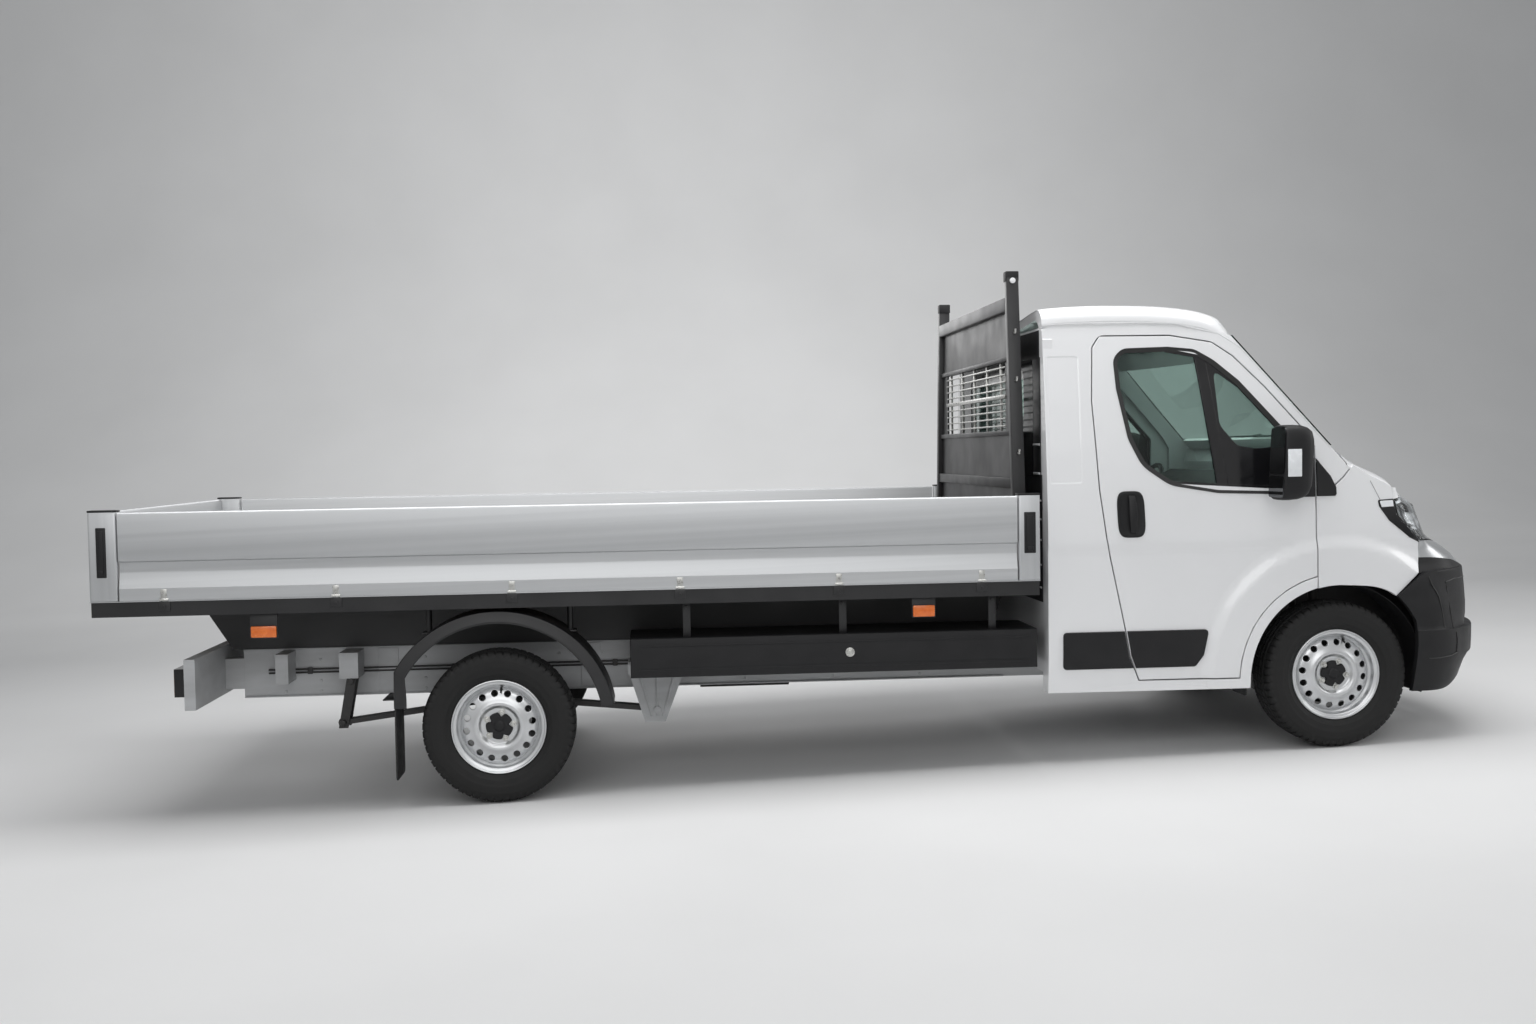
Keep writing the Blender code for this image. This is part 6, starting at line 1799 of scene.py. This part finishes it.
add_piece("windscreen_glass", screen_piece(1.115, 1.655, -1.0, 1.0, 0.0004, 0.006, 40, 24),
          cab_glass, "chassis", ("windscreen",))
border = gather(screen_piece(1.1155, 1.165, -0.998, 0.998, 0.0012, 0.0007, 40, 3),
                screen_piece(1.61, 1.6545, -0.998, 0.998, 0.0012, 0.0007, 40, 3),
                screen_piece(1.165, 1.61, -0.998, -0.945, 0.0012, 0.0007, 3, 20),
                screen_piece(1.165, 1.61, 0.945, 0.998, 0.0012, 0.0007, 3, 20))
add_piece("windscreen_border", border, gloss_black)


def wiper(foot_y, tip_y):
    foot = (screen_at(1.105, foot_y) + 0.02, foot_y, 1.1)
    knee = (screen_at(1.15, foot_y - 0.06) + 0.022, foot_y - 0.06, 1.15)
    tip = (screen_at(1.18, tip_y) + 0.016, tip_y, 1.18)
    arm = tube([foot, knee, tip], 0.007, 8)
    blade = [(screen_at(1.172, y) + 0.0085, y, 1.172) for y in
             [tip_y - 0.3 + 0.62 * k / 14 for k in range(15)]]
    spindle = rod(foot, (foot[0], foot[1], 1.112), 0.014, 14, 0.002)
    return gather(arm, tube(blade, 0.0055, 8), spindle)


add_piece("wiper_right", wiper(-0.1, -0.5), plastic)
add_piece("wiper_left", wiper(0.62, 0.18), plastic)
print("windscreen foot", SCREEN_FOOT_X, SCREEN_FOOT_Z)

# %% [markdown]
# Each mirror is a tall housing with two glasses on a pair of short arms, and a
# clear indicator strip on its outer face. The housing is a stack of squarish
# rings that shrink towards the front, and it leans a little with the door.

# %% Mirrors
MIRROR_Y, MIRROR_Z = 1.18, 1.037
MIRROR_HALF_WIDE, MIRROR_HALF_HIGH, MIRROR_LEAN = 0.094, 0.176, 0.05
MIRROR_STEPS = 64


def mirror_housing():
    shape = bmesh.new()
    rings = []
    profile = [(-0.372, 0.9), (-0.3725, 0.965), (-0.368, 0.985), (-0.355, 1.0), (-0.325, 1.0),
               (-0.29, 0.985), (-0.262, 0.94), (-0.242, 0.86), (-0.23, 0.72), (-0.224, 0.5),
               (-0.222, 0.2)]
    for x, share in profile:
        ring = []
        for k in range(MIRROR_STEPS):
            angle = 2 * pi * k / MIRROR_STEPS
            c, s = cos(angle), sin(angle)
            y = MIRROR_HALF_WIDE * share * abs(c) ** 0.42 * (1 if c > 0 else -1)
            z = MIRROR_HALF_HIGH * share * abs(s) ** 0.34 * (1 if s > 0 else -1)
            y *= 1.0 - 0.1 * max(0.0, -z / MIRROR_HALF_HIGH)
            ring.append(shape.verts.new((x + MIRROR_LEAN * z, MIRROR_Y + y, MIRROR_Z + z)))
        rings.append(ring)
    sew(shape, rings)
    shape.faces.new(rings[-1])
    shape.faces.new(rings[0])
    return shape


def mirror_pane(low, high):
    shape = prism(rounded_box(1.1, 1.258, low, high, [0.02] * 4), "x", -0.3765, -0.3725)
    for vert in shape.verts:
        vert.co.x += MIRROR_LEAN * (vert.co.z - MIRROR_Z)
    return shape


def mirror_arms():
    arms = [tube([(-0.185, 1.0, z), (-0.195, 1.05, z), (-0.235, 1.11, z)], 0.02, 14)
            for z in (0.945, 0.985)]
    return gather(*arms, block((-0.226, -0.125), (1.0095, 1.026), (0.905, 1.075), 0.006))


def mirror_panes():
    return gather(mirror_pane(0.985, 1.2), mirror_pane(0.874, 0.975))


def mirror_strip():
    return block((-0.364, -0.298), (1.2705, 1.277), (0.972, 1.1), 0.003)


add_pair("mirror_housing_", mirror_housing, plastic, "door_*_body", ("mirror_*",), 50)
add_pair("mirror_arm_", mirror_arms, plastic, "door_*_body")
add_pair("mirror_panes_", mirror_panes, mirror_glass, "door_*_body")
add_pair("mirror_indicator_", mirror_strip, daylight, "door_*_body")
print("mirrors at", MIRROR_Y, MIRROR_Z)

# %% [markdown]
# ## The bed
# The drop sides are extruded aluminium boards. One section is drawn once and run
# out to the length of each board: it has a rounded top, a flat upper face, a step
# into a rib that slopes back inwards, and a foot that the hinge clips hold.

# %% Boards
BED_OUT = 1.05
BED_REAR, BED_FRONT = -5.83, -1.475
BOARD_LOW = 0.5003
BOARD_SECTION = [
    (0.0, 0.0), (0.002, -0.001), (0.056, -0.001), (0.06, 0.0012), (0.122, 0.0135),
    (0.128, 0.0148), (0.132, 0.015), (0.17, 0.015), (0.174, 0.0142), (0.1762, 0.011),
    (0.1775, 0.0045), (0.18, 0.0015), (0.186, 0.0), (0.388, 0.0), (0.3945, 0.0018),
    (0.3985, 0.006), (0.4, 0.012), (0.3985, 0.0185), (0.3945, 0.023), (0.388, 0.025),
    (0.002, 0.025), (0.0, 0.0235),
]


def board_loop(out, inward):
    return [(out + inward * depth, BOARD_LOW + high) for high, depth in BOARD_SECTION]


for word, side in SIDES:
    shape = prism(board_loop(side * BED_OUT, -side), "x", -5.699, -1.586)
    add_piece("board_" + word, shape, alloy_along, "sideboard_" + word + "_body",
              ("sideboard_" + word,), crease=24)
shape = prism(board_loop(BED_REAR, 1), "y", -0.984, 0.984)
add_piece("board_rear", shape, alloy_across, "tailgate_body", ("tailgate",), crease=24)
print("board height", max(high for high, _ in BOARD_SECTION))

# %% [markdown]
# Four aluminium posts stand at the bed's corners, each with a plastic cap. The
# latches that lock the boards are let into the posts: a black frame with a lever
# that swings over its centre.

# %% Corner posts and latches
POST_IN, POST_TOP = 0.99, 0.902


def post_shape(low_x, high_x):
    """A corner post: an upright with a softly rounded outer face."""
    outline = rounded_corners([(low_x, POST_IN), (high_x, POST_IN), (high_x, BED_OUT),
                               (low_x, BED_OUT)], {0: 0.004, 1: 0.004, 2: 0.012, 3: 0.012}, 4)
    shape = prism(outline, "z", 0.5006, POST_TOP)
    return soften(shape, 0.0015, 2, 60.0)


def latch_shape(low_x, high_x, low_z, high_z):
    """The latch's frame, its lever and the lever's tab."""
    surround = block((low_x, high_x), (BED_OUT - 0.004, BED_OUT + 0.0035), (low_z, high_z), 0.004)
    lever = block((low_x + 0.01, high_x - 0.01), (BED_OUT + 0.002, BED_OUT + 0.0085),
                  (low_z + 0.03, high_z - 0.014), 0.004)
    tab = block((low_x + 0.013, high_x - 0.013), (BED_OUT + 0.002, BED_OUT + 0.0105),
                (low_z + 0.01, low_z + 0.034), 0.004)
    return gather(surround, lever, tab)


POSTS = [("rear", BED_REAR, -5.705, (-5.795, -5.751, 0.607, 0.833)),
         ("front", -1.58, BED_FRONT, (-1.553, -1.497, 0.628, 0.823))]
for end, low_x, high_x, latch in POSTS:
    for word, side in SIDES:
        label = end + "_" + word
        add_piece("post_alloy_" + label, flip(post_shape(low_x, high_x), side), alloy_upright,
                  "chassis", ("post_" + label,))
        cap = block((low_x - 0.001, high_x + 0.001), (POST_IN - 0.002, BED_OUT + 0.001),
                    (POST_TOP, POST_TOP + 0.009), 0.004)
        add_piece("post_cap_" + label, flip(cap, side), plastic)
        add_piece("post_latch_" + label, flip(latch_shape(*latch), side), plastic)
print("post top", POST_TOP)

# %% [markdown]
# Forged clips hang the boards on the bed's edge rail. Each is a strap with a pin on
# the board and a plate on the rail. A bright aluminium strip runs along the rail
# right under the boards. Two amber markers hang below the rail on each side.

# %% Hinge clips, rail strip and markers
CLIPS = (-5.505, -4.745, -3.952, -3.18, -2.437, -1.758)
PIN_HEIGHT = 0.5035


def clip_shape(x):
    strap = block((x - 0.014, x + 0.014), (BED_OUT - 0.002, BED_OUT + 0.0032), (0.503, 0.552),
                  0.002)
    pin = rod((x - 0.02, BED_OUT - 0.001, PIN_HEIGHT), (x + 0.02, BED_OUT - 0.001, PIN_HEIGHT),
              0.0075, 14, 0.001)
    return gather(strap, pin)


def rail_clip(x):
    return gather(block((x - 0.026, x + 0.026), (BED_OUT - 0.008, BED_OUT - 0.0005), (0.452, 0.494),
                        0.002),
                  rod((x, BED_OUT - 0.004, 0.472), (x, BED_OUT + 0.003, 0.472), 0.007, 6, 0.001))


for word, side in SIDES:
    add_piece("board_clips_" + word, flip(gather(*[clip_shape(x) for x in CLIPS]), side), zinc,
              "sideboard_" + word + "_body")
    strip = block((BED_REAR + 0.001, BED_FRONT - 0.001), (BED_OUT - 0.006, BED_OUT + 0.0015),
                  (0.4955, 0.4998), 0.001)
    add_piece("rail_strip_" + word, flip(strip, side), alloy_along)
    add_piece("rail_clips_" + word, flip(gather(*[rail_clip(x) for x in CLIPS]), side), powder,
              "chassis")
    markers, plates = [], []
    for low, high, bottom, top in ((-5.135, -5.02, 0.317, 0.37), (-2.084, -1.979, 0.336, 0.391)):
        markers.append(block((low, high), (1.016, 1.028), (bottom, top), 0.006))
        plates.append(block((low - 0.004, high + 0.004), (1.006, 1.017), (bottom - 0.004, 0.432),
                            0.002))
    add_piece("side_markers_" + word, flip(gather(*markers), side), amber)
    add_piece("marker_brackets_" + word, flip(gather(*plates), side), powder)
print("clips on each side", len(CLIPS))

# %% [markdown]
# The headboard is a welded frame with a steel sheet and a window of thin slats,
# so that the driver can see back through it while the load can't come through.
# A finer frame with the real one's wide window takes the plain solid's place. It
# is powder coated, and its slats are bare zinc.

# %% Headboard frame and slats
HEAD_BACK, HEAD_FRONT = -1.575, -1.515
HEAD_TOP = 1.975
SLAT_FIRST, SLAT_PITCH, SLAT_HALF = 1.236, 0.0362, 0.705


def head_half(z):
    """The headboard grows narrower towards its top."""
    return 0.975 - 0.14 * (z - 0.5) / 1.475


def headboard_frame():
    """Leaning posts, cross rails and a sheet with a wide opening below the top rail."""
    shapes, low, top = [], 0.5004, HEAD_TOP
    middle = (HEAD_BACK + HEAD_FRONT) / 2
    for side in (-1, 1):
        outline = [(side * head_half(low), low), (side * (head_half(low) - 0.05), low),
                   (side * (head_half(top) - 0.05), top), (side * head_half(top), top)]
        shapes.append(soften(prism(outline, "x", HEAD_BACK, HEAD_FRONT), 0.004, 2, 60.0))
        jamb = [(side * 0.7, 1.205), (side * (head_half(1.205) - 0.045), 1.205),
                (side * (head_half(1.556) - 0.045), 1.556), (side * 0.7, 1.556)]
        shapes.append(prism(jamb, "x", middle - 0.005, middle + 0.003))
    for rail_low, rail_high, depth in ((low, 0.56, 0.05), (0.93, 0.98, 0.05),
                                       (1.188, 1.212, 0.036), (1.55, 1.572, 0.036),
                                       (1.79, 1.855, 0.05)):
        half = head_half(rail_high) - 0.045
        shapes.append(block((middle - depth / 2, middle + depth / 2), (-half, half),
                            (rail_low, rail_high), 0.003))
    for sheet_low, sheet_high in ((0.55, 1.2), (1.56, 1.8)):
        half_low, half_high = head_half(sheet_low) - 0.045, head_half(sheet_high) - 0.045
        shapes.append(prism([(-half_low, sheet_low), (half_low, sheet_low), (half_high, sheet_high),
                             (-half_high, sheet_high)], "x", middle - 0.005, middle + 0.003))
    return gather(*shapes)


def headboard_slats():
    shapes = []
    back, front = HEAD_BACK + 0.02, HEAD_BACK + 0.036
    for k in range(9):
        z = SLAT_FIRST + SLAT_PITCH * k
        shapes.append(block((back, front), (-SLAT_HALF, SLAT_HALF), (z - 0.0035, z + 0.0035),
                            0.001))
    shapes.append(block((back - 0.003, front + 0.003), (-SLAT_HALF, SLAT_HALF), (1.371, 1.391),
                        0.002))
    for y in (-0.6, -0.3, 0.0, 0.3, 0.6):
        shapes.append(block((back + 0.002, front - 0.002), (y - 0.005, y + 0.005), (1.208, 1.554),
                            0.001))
    return gather(*shapes)


add_piece("headboard_frame", headboard_frame(), powder, "chassis", ("headboard",))
add_piece("headboard_slats", headboard_slats(), zinc)
print("headboard half width at the top", round(head_half(HEAD_TOP), 3))

# %% [markdown]
# A satin grey rail closes the headboard's top between its posts. The posts have
# plastic caps and a white button, and lashing hooks stand out of their sides.

# %% Headboard rail, caps and hooks
HOOK_X = HEAD_BACK + 0.03
BUTTON_HEIGHT = 1.934
rail_half = head_half(1.8) - 0.045
top_rail = block((HEAD_BACK - 0.001, HEAD_FRONT + 0.001), (-rail_half, rail_half),
                 (1.789, 1.857), 0.006, 3)
add_piece("headboard_top_rail", top_rail, rail_grey)
for word, side in SIDES:
    y = head_half(HEAD_TOP)
    cap = block((HEAD_BACK - 0.002, HEAD_FRONT + 0.002), (y - 0.053, y + 0.0025), (1.93, 1.98),
                0.004)
    add_piece("headboard_cap_" + word, flip(cap, side), plastic)
    y = head_half(BUTTON_HEIGHT)
    button = rod((HOOK_X, y - 0.002, BUTTON_HEIGHT), (HOOK_X, y + 0.008, BUTTON_HEIGHT),
                 0.014, 20, 0.002)
    add_piece("headboard_button_" + word, flip(button, side), paint)
    hooks = []
    for z in (1.1, 1.45, 1.68):
        y = head_half(z)
        hooks.append(tube([(HOOK_X, y - 0.01, z), (HOOK_X, y + 0.022, z),
                           (HOOK_X, y + 0.028, z + 0.018)], 0.005, 10))
    add_piece("headboard_hooks_" + word, flip(gather(*hooks), side), zinc)
print("bed dressed")

# %% [markdown]
# ## Under the bed
# The mudguards are rolled steel halves with a turned-over side lip. A rubber flap
# hangs behind each. The guard's section is drawn once and turned round the axle,
# and its last two rings run straight down behind the wheel.

# %% Mudguards and flaps
AXLE = (-4.0328, -0.1338)
GUARD_RADIUS = 0.545
GUARD_TURNS = 56


def guard_section():
    """Radius and distance across, round one closed section of the guard."""
    return [
        (GUARD_RADIUS, 0.76), (GUARD_RADIUS, 0.998), (0.544, 1.004), (0.541, 1.0085),
        (0.536, 1.0102),
        (0.5, 1.0102), (0.498, 1.0112), (0.49, 1.0112), (0.4865, 1.0095), (0.4855, 1.006),
        (0.4865, 1.004), (0.492, 1.004), (0.53, 1.004), (0.5345, 1.002), (0.5375, 0.998),
        (0.539, 0.99), (0.54, 0.905), (0.543, 0.9), (0.543, 0.888), (0.54, 0.883),
        (0.54, 0.76),
    ]


def guard_shape():
    shape = bmesh.new()
    rings = []
    for k in range(GUARD_TURNS + 1):
        angle = radians(10 + 140 * k / GUARD_TURNS)
        rings.append([shape.verts.new((AXLE[0] + r * cos(angle), y, AXLE[1] + r * sin(angle)))
                      for r, y in guard_section()])
    for z in (0.016, -0.03):
        rings.append([shape.verts.new((-4.5075 + GUARD_RADIUS - r, y, z))
                      for r, y in guard_section()])
    sew(shape, rings)
    shape.faces.new(rings[0])
    shape.faces.new(rings[-1])
    return shape


def flap_shape():
    outline = rounded_box(0.772, 0.998, -0.37, 0.06, [0.03, 0.03])
    return prism(outline, "x", -4.5055, -4.499, 0.001)


def guard_stays():
    shapes = []
    for x in (-3.7, -4.36):
        reach = sqrt(GUARD_RADIUS ** 2 - (x - AXLE[0]) ** 2) + AXLE[1] - 0.004
        shapes.append(tube([(x, 0.84, reach), (x, 0.84, 0.44)], 0.014, 12))
        shapes.append(block((x - 0.03, x + 0.03), (0.8, 0.88), (reach - 0.004, reach + 0.006),
                            0.002))
    shapes.append(block((-4.56, -4.5), (0.78, 0.985), (0.005, 0.011), 0.001))
    return gather(*shapes)


add_pair("mudguard_skin_", guard_shape, powder, stands_for=("mudguard_*",))
add_pair("mudflap_", flap_shape, seal)
add_pair("guard_stays_", guard_stays, powder)
print("mudguard radius", GUARD_RADIUS)

# %% [markdown]
# Long plastic lockers fill the space between the wheels. Each lid has two moulded
# ribs and a round lock with a slot for its key.

# %% Locker lids and locks
LOCK_X, LOCK_Z = -2.383, 0.175


def locker_lid():
    ribs = [block((-3.375, -1.52), (1.0, 1.003), (z, z + 0.01), 0.0012)
            for z in (0.108, 0.222)]
    return gather(block((-3.416, -1.481), (0.9845, 1.0005), (0.0785, 0.262), 0.004, 3), *ribs)


def locker_lock():
    return gather(rod((LOCK_X, 1.0, LOCK_Z), (LOCK_X, 1.006, LOCK_Z), 0.022, 28, 0.0015),
                  rod((LOCK_X, 1.005, LOCK_Z), (LOCK_X, 1.01, LOCK_Z), 0.012, 20, 0.0015),
                  block((LOCK_X - 0.003, LOCK_X + 0.003), (1.009, 1.0115),
                        (LOCK_Z - 0.008, LOCK_Z + 0.008), 0.0008))


add_pair("locker_front_", locker_lid, plastic, "locker_lid_*_body", ("locker_lid_*",))
add_pair("locker_lock_", locker_lock, zinc, "locker_lid_*_body")
print("locks at", LOCK_X, LOCK_Z)

# %% [markdown]
# Behind each front wing a black liner keeps the wheel's spray off the body, and a
# short rubber flap closes its lower end. Steel straps hang the lockers from the bed.

# %% Wheel-arch liners and locker straps
LINER_IN, LINER_OUT = 0.4455, 0.4485


def arch_liner():
    def place(i, k):
        angle, y = radians(-13 + 185 * i / 40), (0.8, 0.86, 0.94, 0.985)[k]
        return tuple((r * cos(angle), y, r * sin(angle)) for r in (LINER_IN, LINER_OUT))

    return shell(40, 3, place)


def front_flap():
    outline = rounded_box(0.81, 0.985, -0.095, 0.07, [0.02, 0.02])
    return prism(outline, "x", -0.449, -0.444, 0.001)


def locker_straps():
    shapes = []
    for x in (-3.15, -2.41, -1.69):
        shapes.append(block((x - 0.018, x + 0.018), (0.955, 0.9595), (0.262, 0.43), 0.001))
        shapes.append(rod((x, 0.959, 0.405), (x, 0.966, 0.405), 0.008, 6, 0.001))
    return gather(*shapes)


add_pair("arch_liner_", arch_liner, plastic)
add_pair("front_flap_", front_flap, seal)
add_pair("locker_straps_", locker_straps, powder)
print("liner radius", LINER_IN)

# %% [markdown]
# The long rails carry rivets, edge flanges, two pipes and the spring hangers'
# ribs. The springs have bolts and clamps. These small things are what make a
# chassis look made.

# %% Rails, pipes and springs
RAIL_FACE = 0.4555
PIPE_ACROSS = 0.4625
HANGER_X = -3.294


def rivet(x, y, z, out, radius=0.008):
    shape = bmesh.new()
    rings = []
    for share, rise in ((1.0, 0.0), (0.92, 0.0028), (0.6, 0.0048)):
        rings.append([shape.verts.new((x + radius * share * cos(2 * pi * k / 12), y + out * rise,
                                       z + radius * share * sin(2 * pi * k / 12)))
                      for k in range(12)])
    sew(shape, rings)
    shape.faces.new(rings[-1])
    return shape


def rail_trim():
    shapes = []
    inside = RAIL_FACE - 0.001
    for x in (-5.12, -4.95, -4.62, -4.44, -4.22, -3.78, -3.56, -3.38, -3.2, -2.85, -2.4, -1.95):
        for z in (-0.02, 0.03, 0.135):
            shapes.append(rivet(x, inside, z, 1))
    for heights in ((-0.0445, -0.0385), (0.189, 0.1945)):
        shapes.append(block((-5.318, -1.52), (inside, RAIL_FACE + 0.012), heights, 0.001))
    for x in (-4.62, -3.62):
        shapes.append(block((x - 0.05, x + 0.05), (inside, RAIL_FACE + 0.006), (-0.03, 0.185),
                            0.003))
    return gather(*shapes)


def pipes_shape():
    lines = []
    for z in (0.074, 0.09):
        run = [(x, PIPE_ACROSS, z) for x in (-5.2, -4.5, -3.3, -2.0)]
        lines.append(tube(run + [(-1.55, PIPE_ACROSS, z - 0.01)], 0.0045, 8))
    for x in (-5.0, -4.3, -3.5, -2.7, -2.0):
        lines.append(block((x - 0.012, x + 0.012), (RAIL_FACE, 0.469), (0.066, 0.098), 0.002))
    return gather(*lines)


def hanger_ribs():
    shapes = []
    for dx in (-0.055, 0.0, 0.055):
        shapes.append(tube([(HANGER_X + dx * 1.6, 0.6105, 0.045),
                            (HANGER_X + dx * 0.5, 0.6105, -0.17)], 0.006, 8))
    shapes.append(rod((HANGER_X, 0.606, -0.138), (HANGER_X, 0.622, -0.138), 0.02, 6, 0.002))
    return gather(*shapes)


def spring_trim():
    """Shackle bolts and the leaf's clamps."""
    shapes = []
    for x, z in ((-4.818, -0.158), (-4.776, 0.045)):
        shapes.append(rod((x, 0.6, z), (x, 0.622, z), 0.016, 6, 0.002))
    for x in (-4.0928, -3.9728):
        for y in (0.534, 0.586):
            shapes.append(tube([(x, y, 0.0), (x, y, -0.205)], 0.008, 10))
    shapes.append(block((-4.115, -3.95), (0.52, 0.6), (-0.202, -0.19), 0.003))
    return gather(*shapes)


add_pair("rail_rivets_", rail_trim, chassis_grey)
add_pair("rail_pipes_", pipes_shape, satin_black)
add_pair("hanger_ribs_", hanger_ribs, chassis_grey)
add_pair("spring_trim_", spring_trim, satin_black)
print("rail face at", RAIL_FACE)

# %% [markdown]
# The rear beam carries the tail lamps and a blank plate. Each lamp shows two red
# fields and an amber one over its black housing. Bolts hold the beam to the bed.

# %% Tail lamps and rear beam
FIELD_DEEP, FIELD_HEIGHTS = (-5.5135, -5.5095), (0.048, 0.162)


def beam_trim():
    shapes = []
    for y in (-0.86, -0.5, 0.5, 0.86):
        shapes.append(rod((-5.468, y, 0.19), (-5.458, y, 0.19), 0.01, 6, 0.001))
    plate = block((-5.4705, -5.4662), (-0.26, 0.26), (0.048, 0.16), 0.0015)
    return gather(plate, *shapes)


for word, side in SIDES:
    fields = [block(FIELD_DEEP, across, FIELD_HEIGHTS, 0.002)
              for across in ((0.628, 0.742), (0.746, 0.832), (0.836, 0.922))]
    add_piece("tail_lamp_red_" + word, flip(gather(*fields[:2]), side), red)
    add_piece("tail_lamp_amber_" + word, flip(fields[2], side), amber)
add_piece("beam_bolts", beam_trim(), satin_black)
print("tail lamps at", FIELD_DEEP[0])

# %% [markdown]
# ## Finishes for the solids that stay
# The rest of the solid model is shown as it is, and only gets its finish. These
# are plain pieces such as the frame rails, the lockers and the seats, whose
# solids already have the real one's shape.

# %% Finish the kept solids
KEPT = {
    "chassis_frame": chassis_grey, "front_subframe": satin_black, "engine_block": casting,
    "rear_axle": satin_black, "exhaust": casting, "fuel_tank": plastic, "cab_shell": paint,
    "rear_window": cab_glass, "cowl": plastic, "dashboard": trim,
    "driver_seat": seat_cloth, "passenger_bench": seat_cloth,
    "cab_floor": paint, "bed_beam_left": powder, "bed_beam_right": powder,
    "bed_frame": powder, "bed_deck": deck_film, "rear_beam": chassis_grey,
    "locker_left": plastic, "locker_right": plastic, "tail_lamp_left": gloss_black,
    "tail_lamp_right": gloss_black, "knuckle_left": casting, "knuckle_right": casting,
    "door_left": paint, "door_right": paint, "door_glass_left": cab_glass,
    "door_glass_right": cab_glass,
}
for name, finish in KEPT.items():
    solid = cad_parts[name]
    solid.data.materials.clear()
    solid.data.materials.append(finish)
print("kept solids", len(KEPT))

# %% [markdown]
# ## The floor
# The studio floor is a pale sheet that runs away behind the truck and then curves
# up into the wall, so that no horizon shows. It belongs to the studio, not the truck.

# %% Floor and curved backdrop
CURVE_START, CURVE_RADIUS = 11.0, 9.0
PAPER_ACROSS = (-60.0, -30.0, -10.0, 10.0, 30.0, 60.0)
paper, shader = finish_base("studio_paper", (0.72, 0.72, 0.72), 0.7)
varied(paper, shader, ((0.7, 0.7, 0.7), (0.74, 0.74, 0.74)), (0.62, 0.78), 0.5)
run = [(-40.0 + 3.4 * k, 0.0) for k in range(16)]
run += [(CURVE_START + CURVE_RADIUS * sin(radians(5 * k)),
         CURVE_RADIUS - CURVE_RADIUS * cos(radians(5 * k))) for k in range(1, 19)]
run += [(CURVE_START + CURVE_RADIUS, z) for z in (12.0, 20.0, 32.0)]
sheet = bmesh.new()
rows = [[sheet.verts.new((x, y, z)) for x in PAPER_ACROSS] for y, z in run]
for near, far in zip(rows, rows[1:]):
    for i in range(len(PAPER_ACROSS) - 1):
        sheet.faces.new((near[i], near[i + 1], far[i + 1], far[i]))
floor_mesh = bpy.data.meshes.new("studio_floor")
sheet.to_mesh(floor_mesh)
sheet.free()
floor_mesh.shade_smooth()
floor_mesh.materials.append(paper)
floor = bpy.data.objects.new("studio_floor", floor_mesh)
bpy.context.collection.objects.link(floor)
floor.location = (0, 0, -0.0005)
print("paper curves up at", CURVE_START)
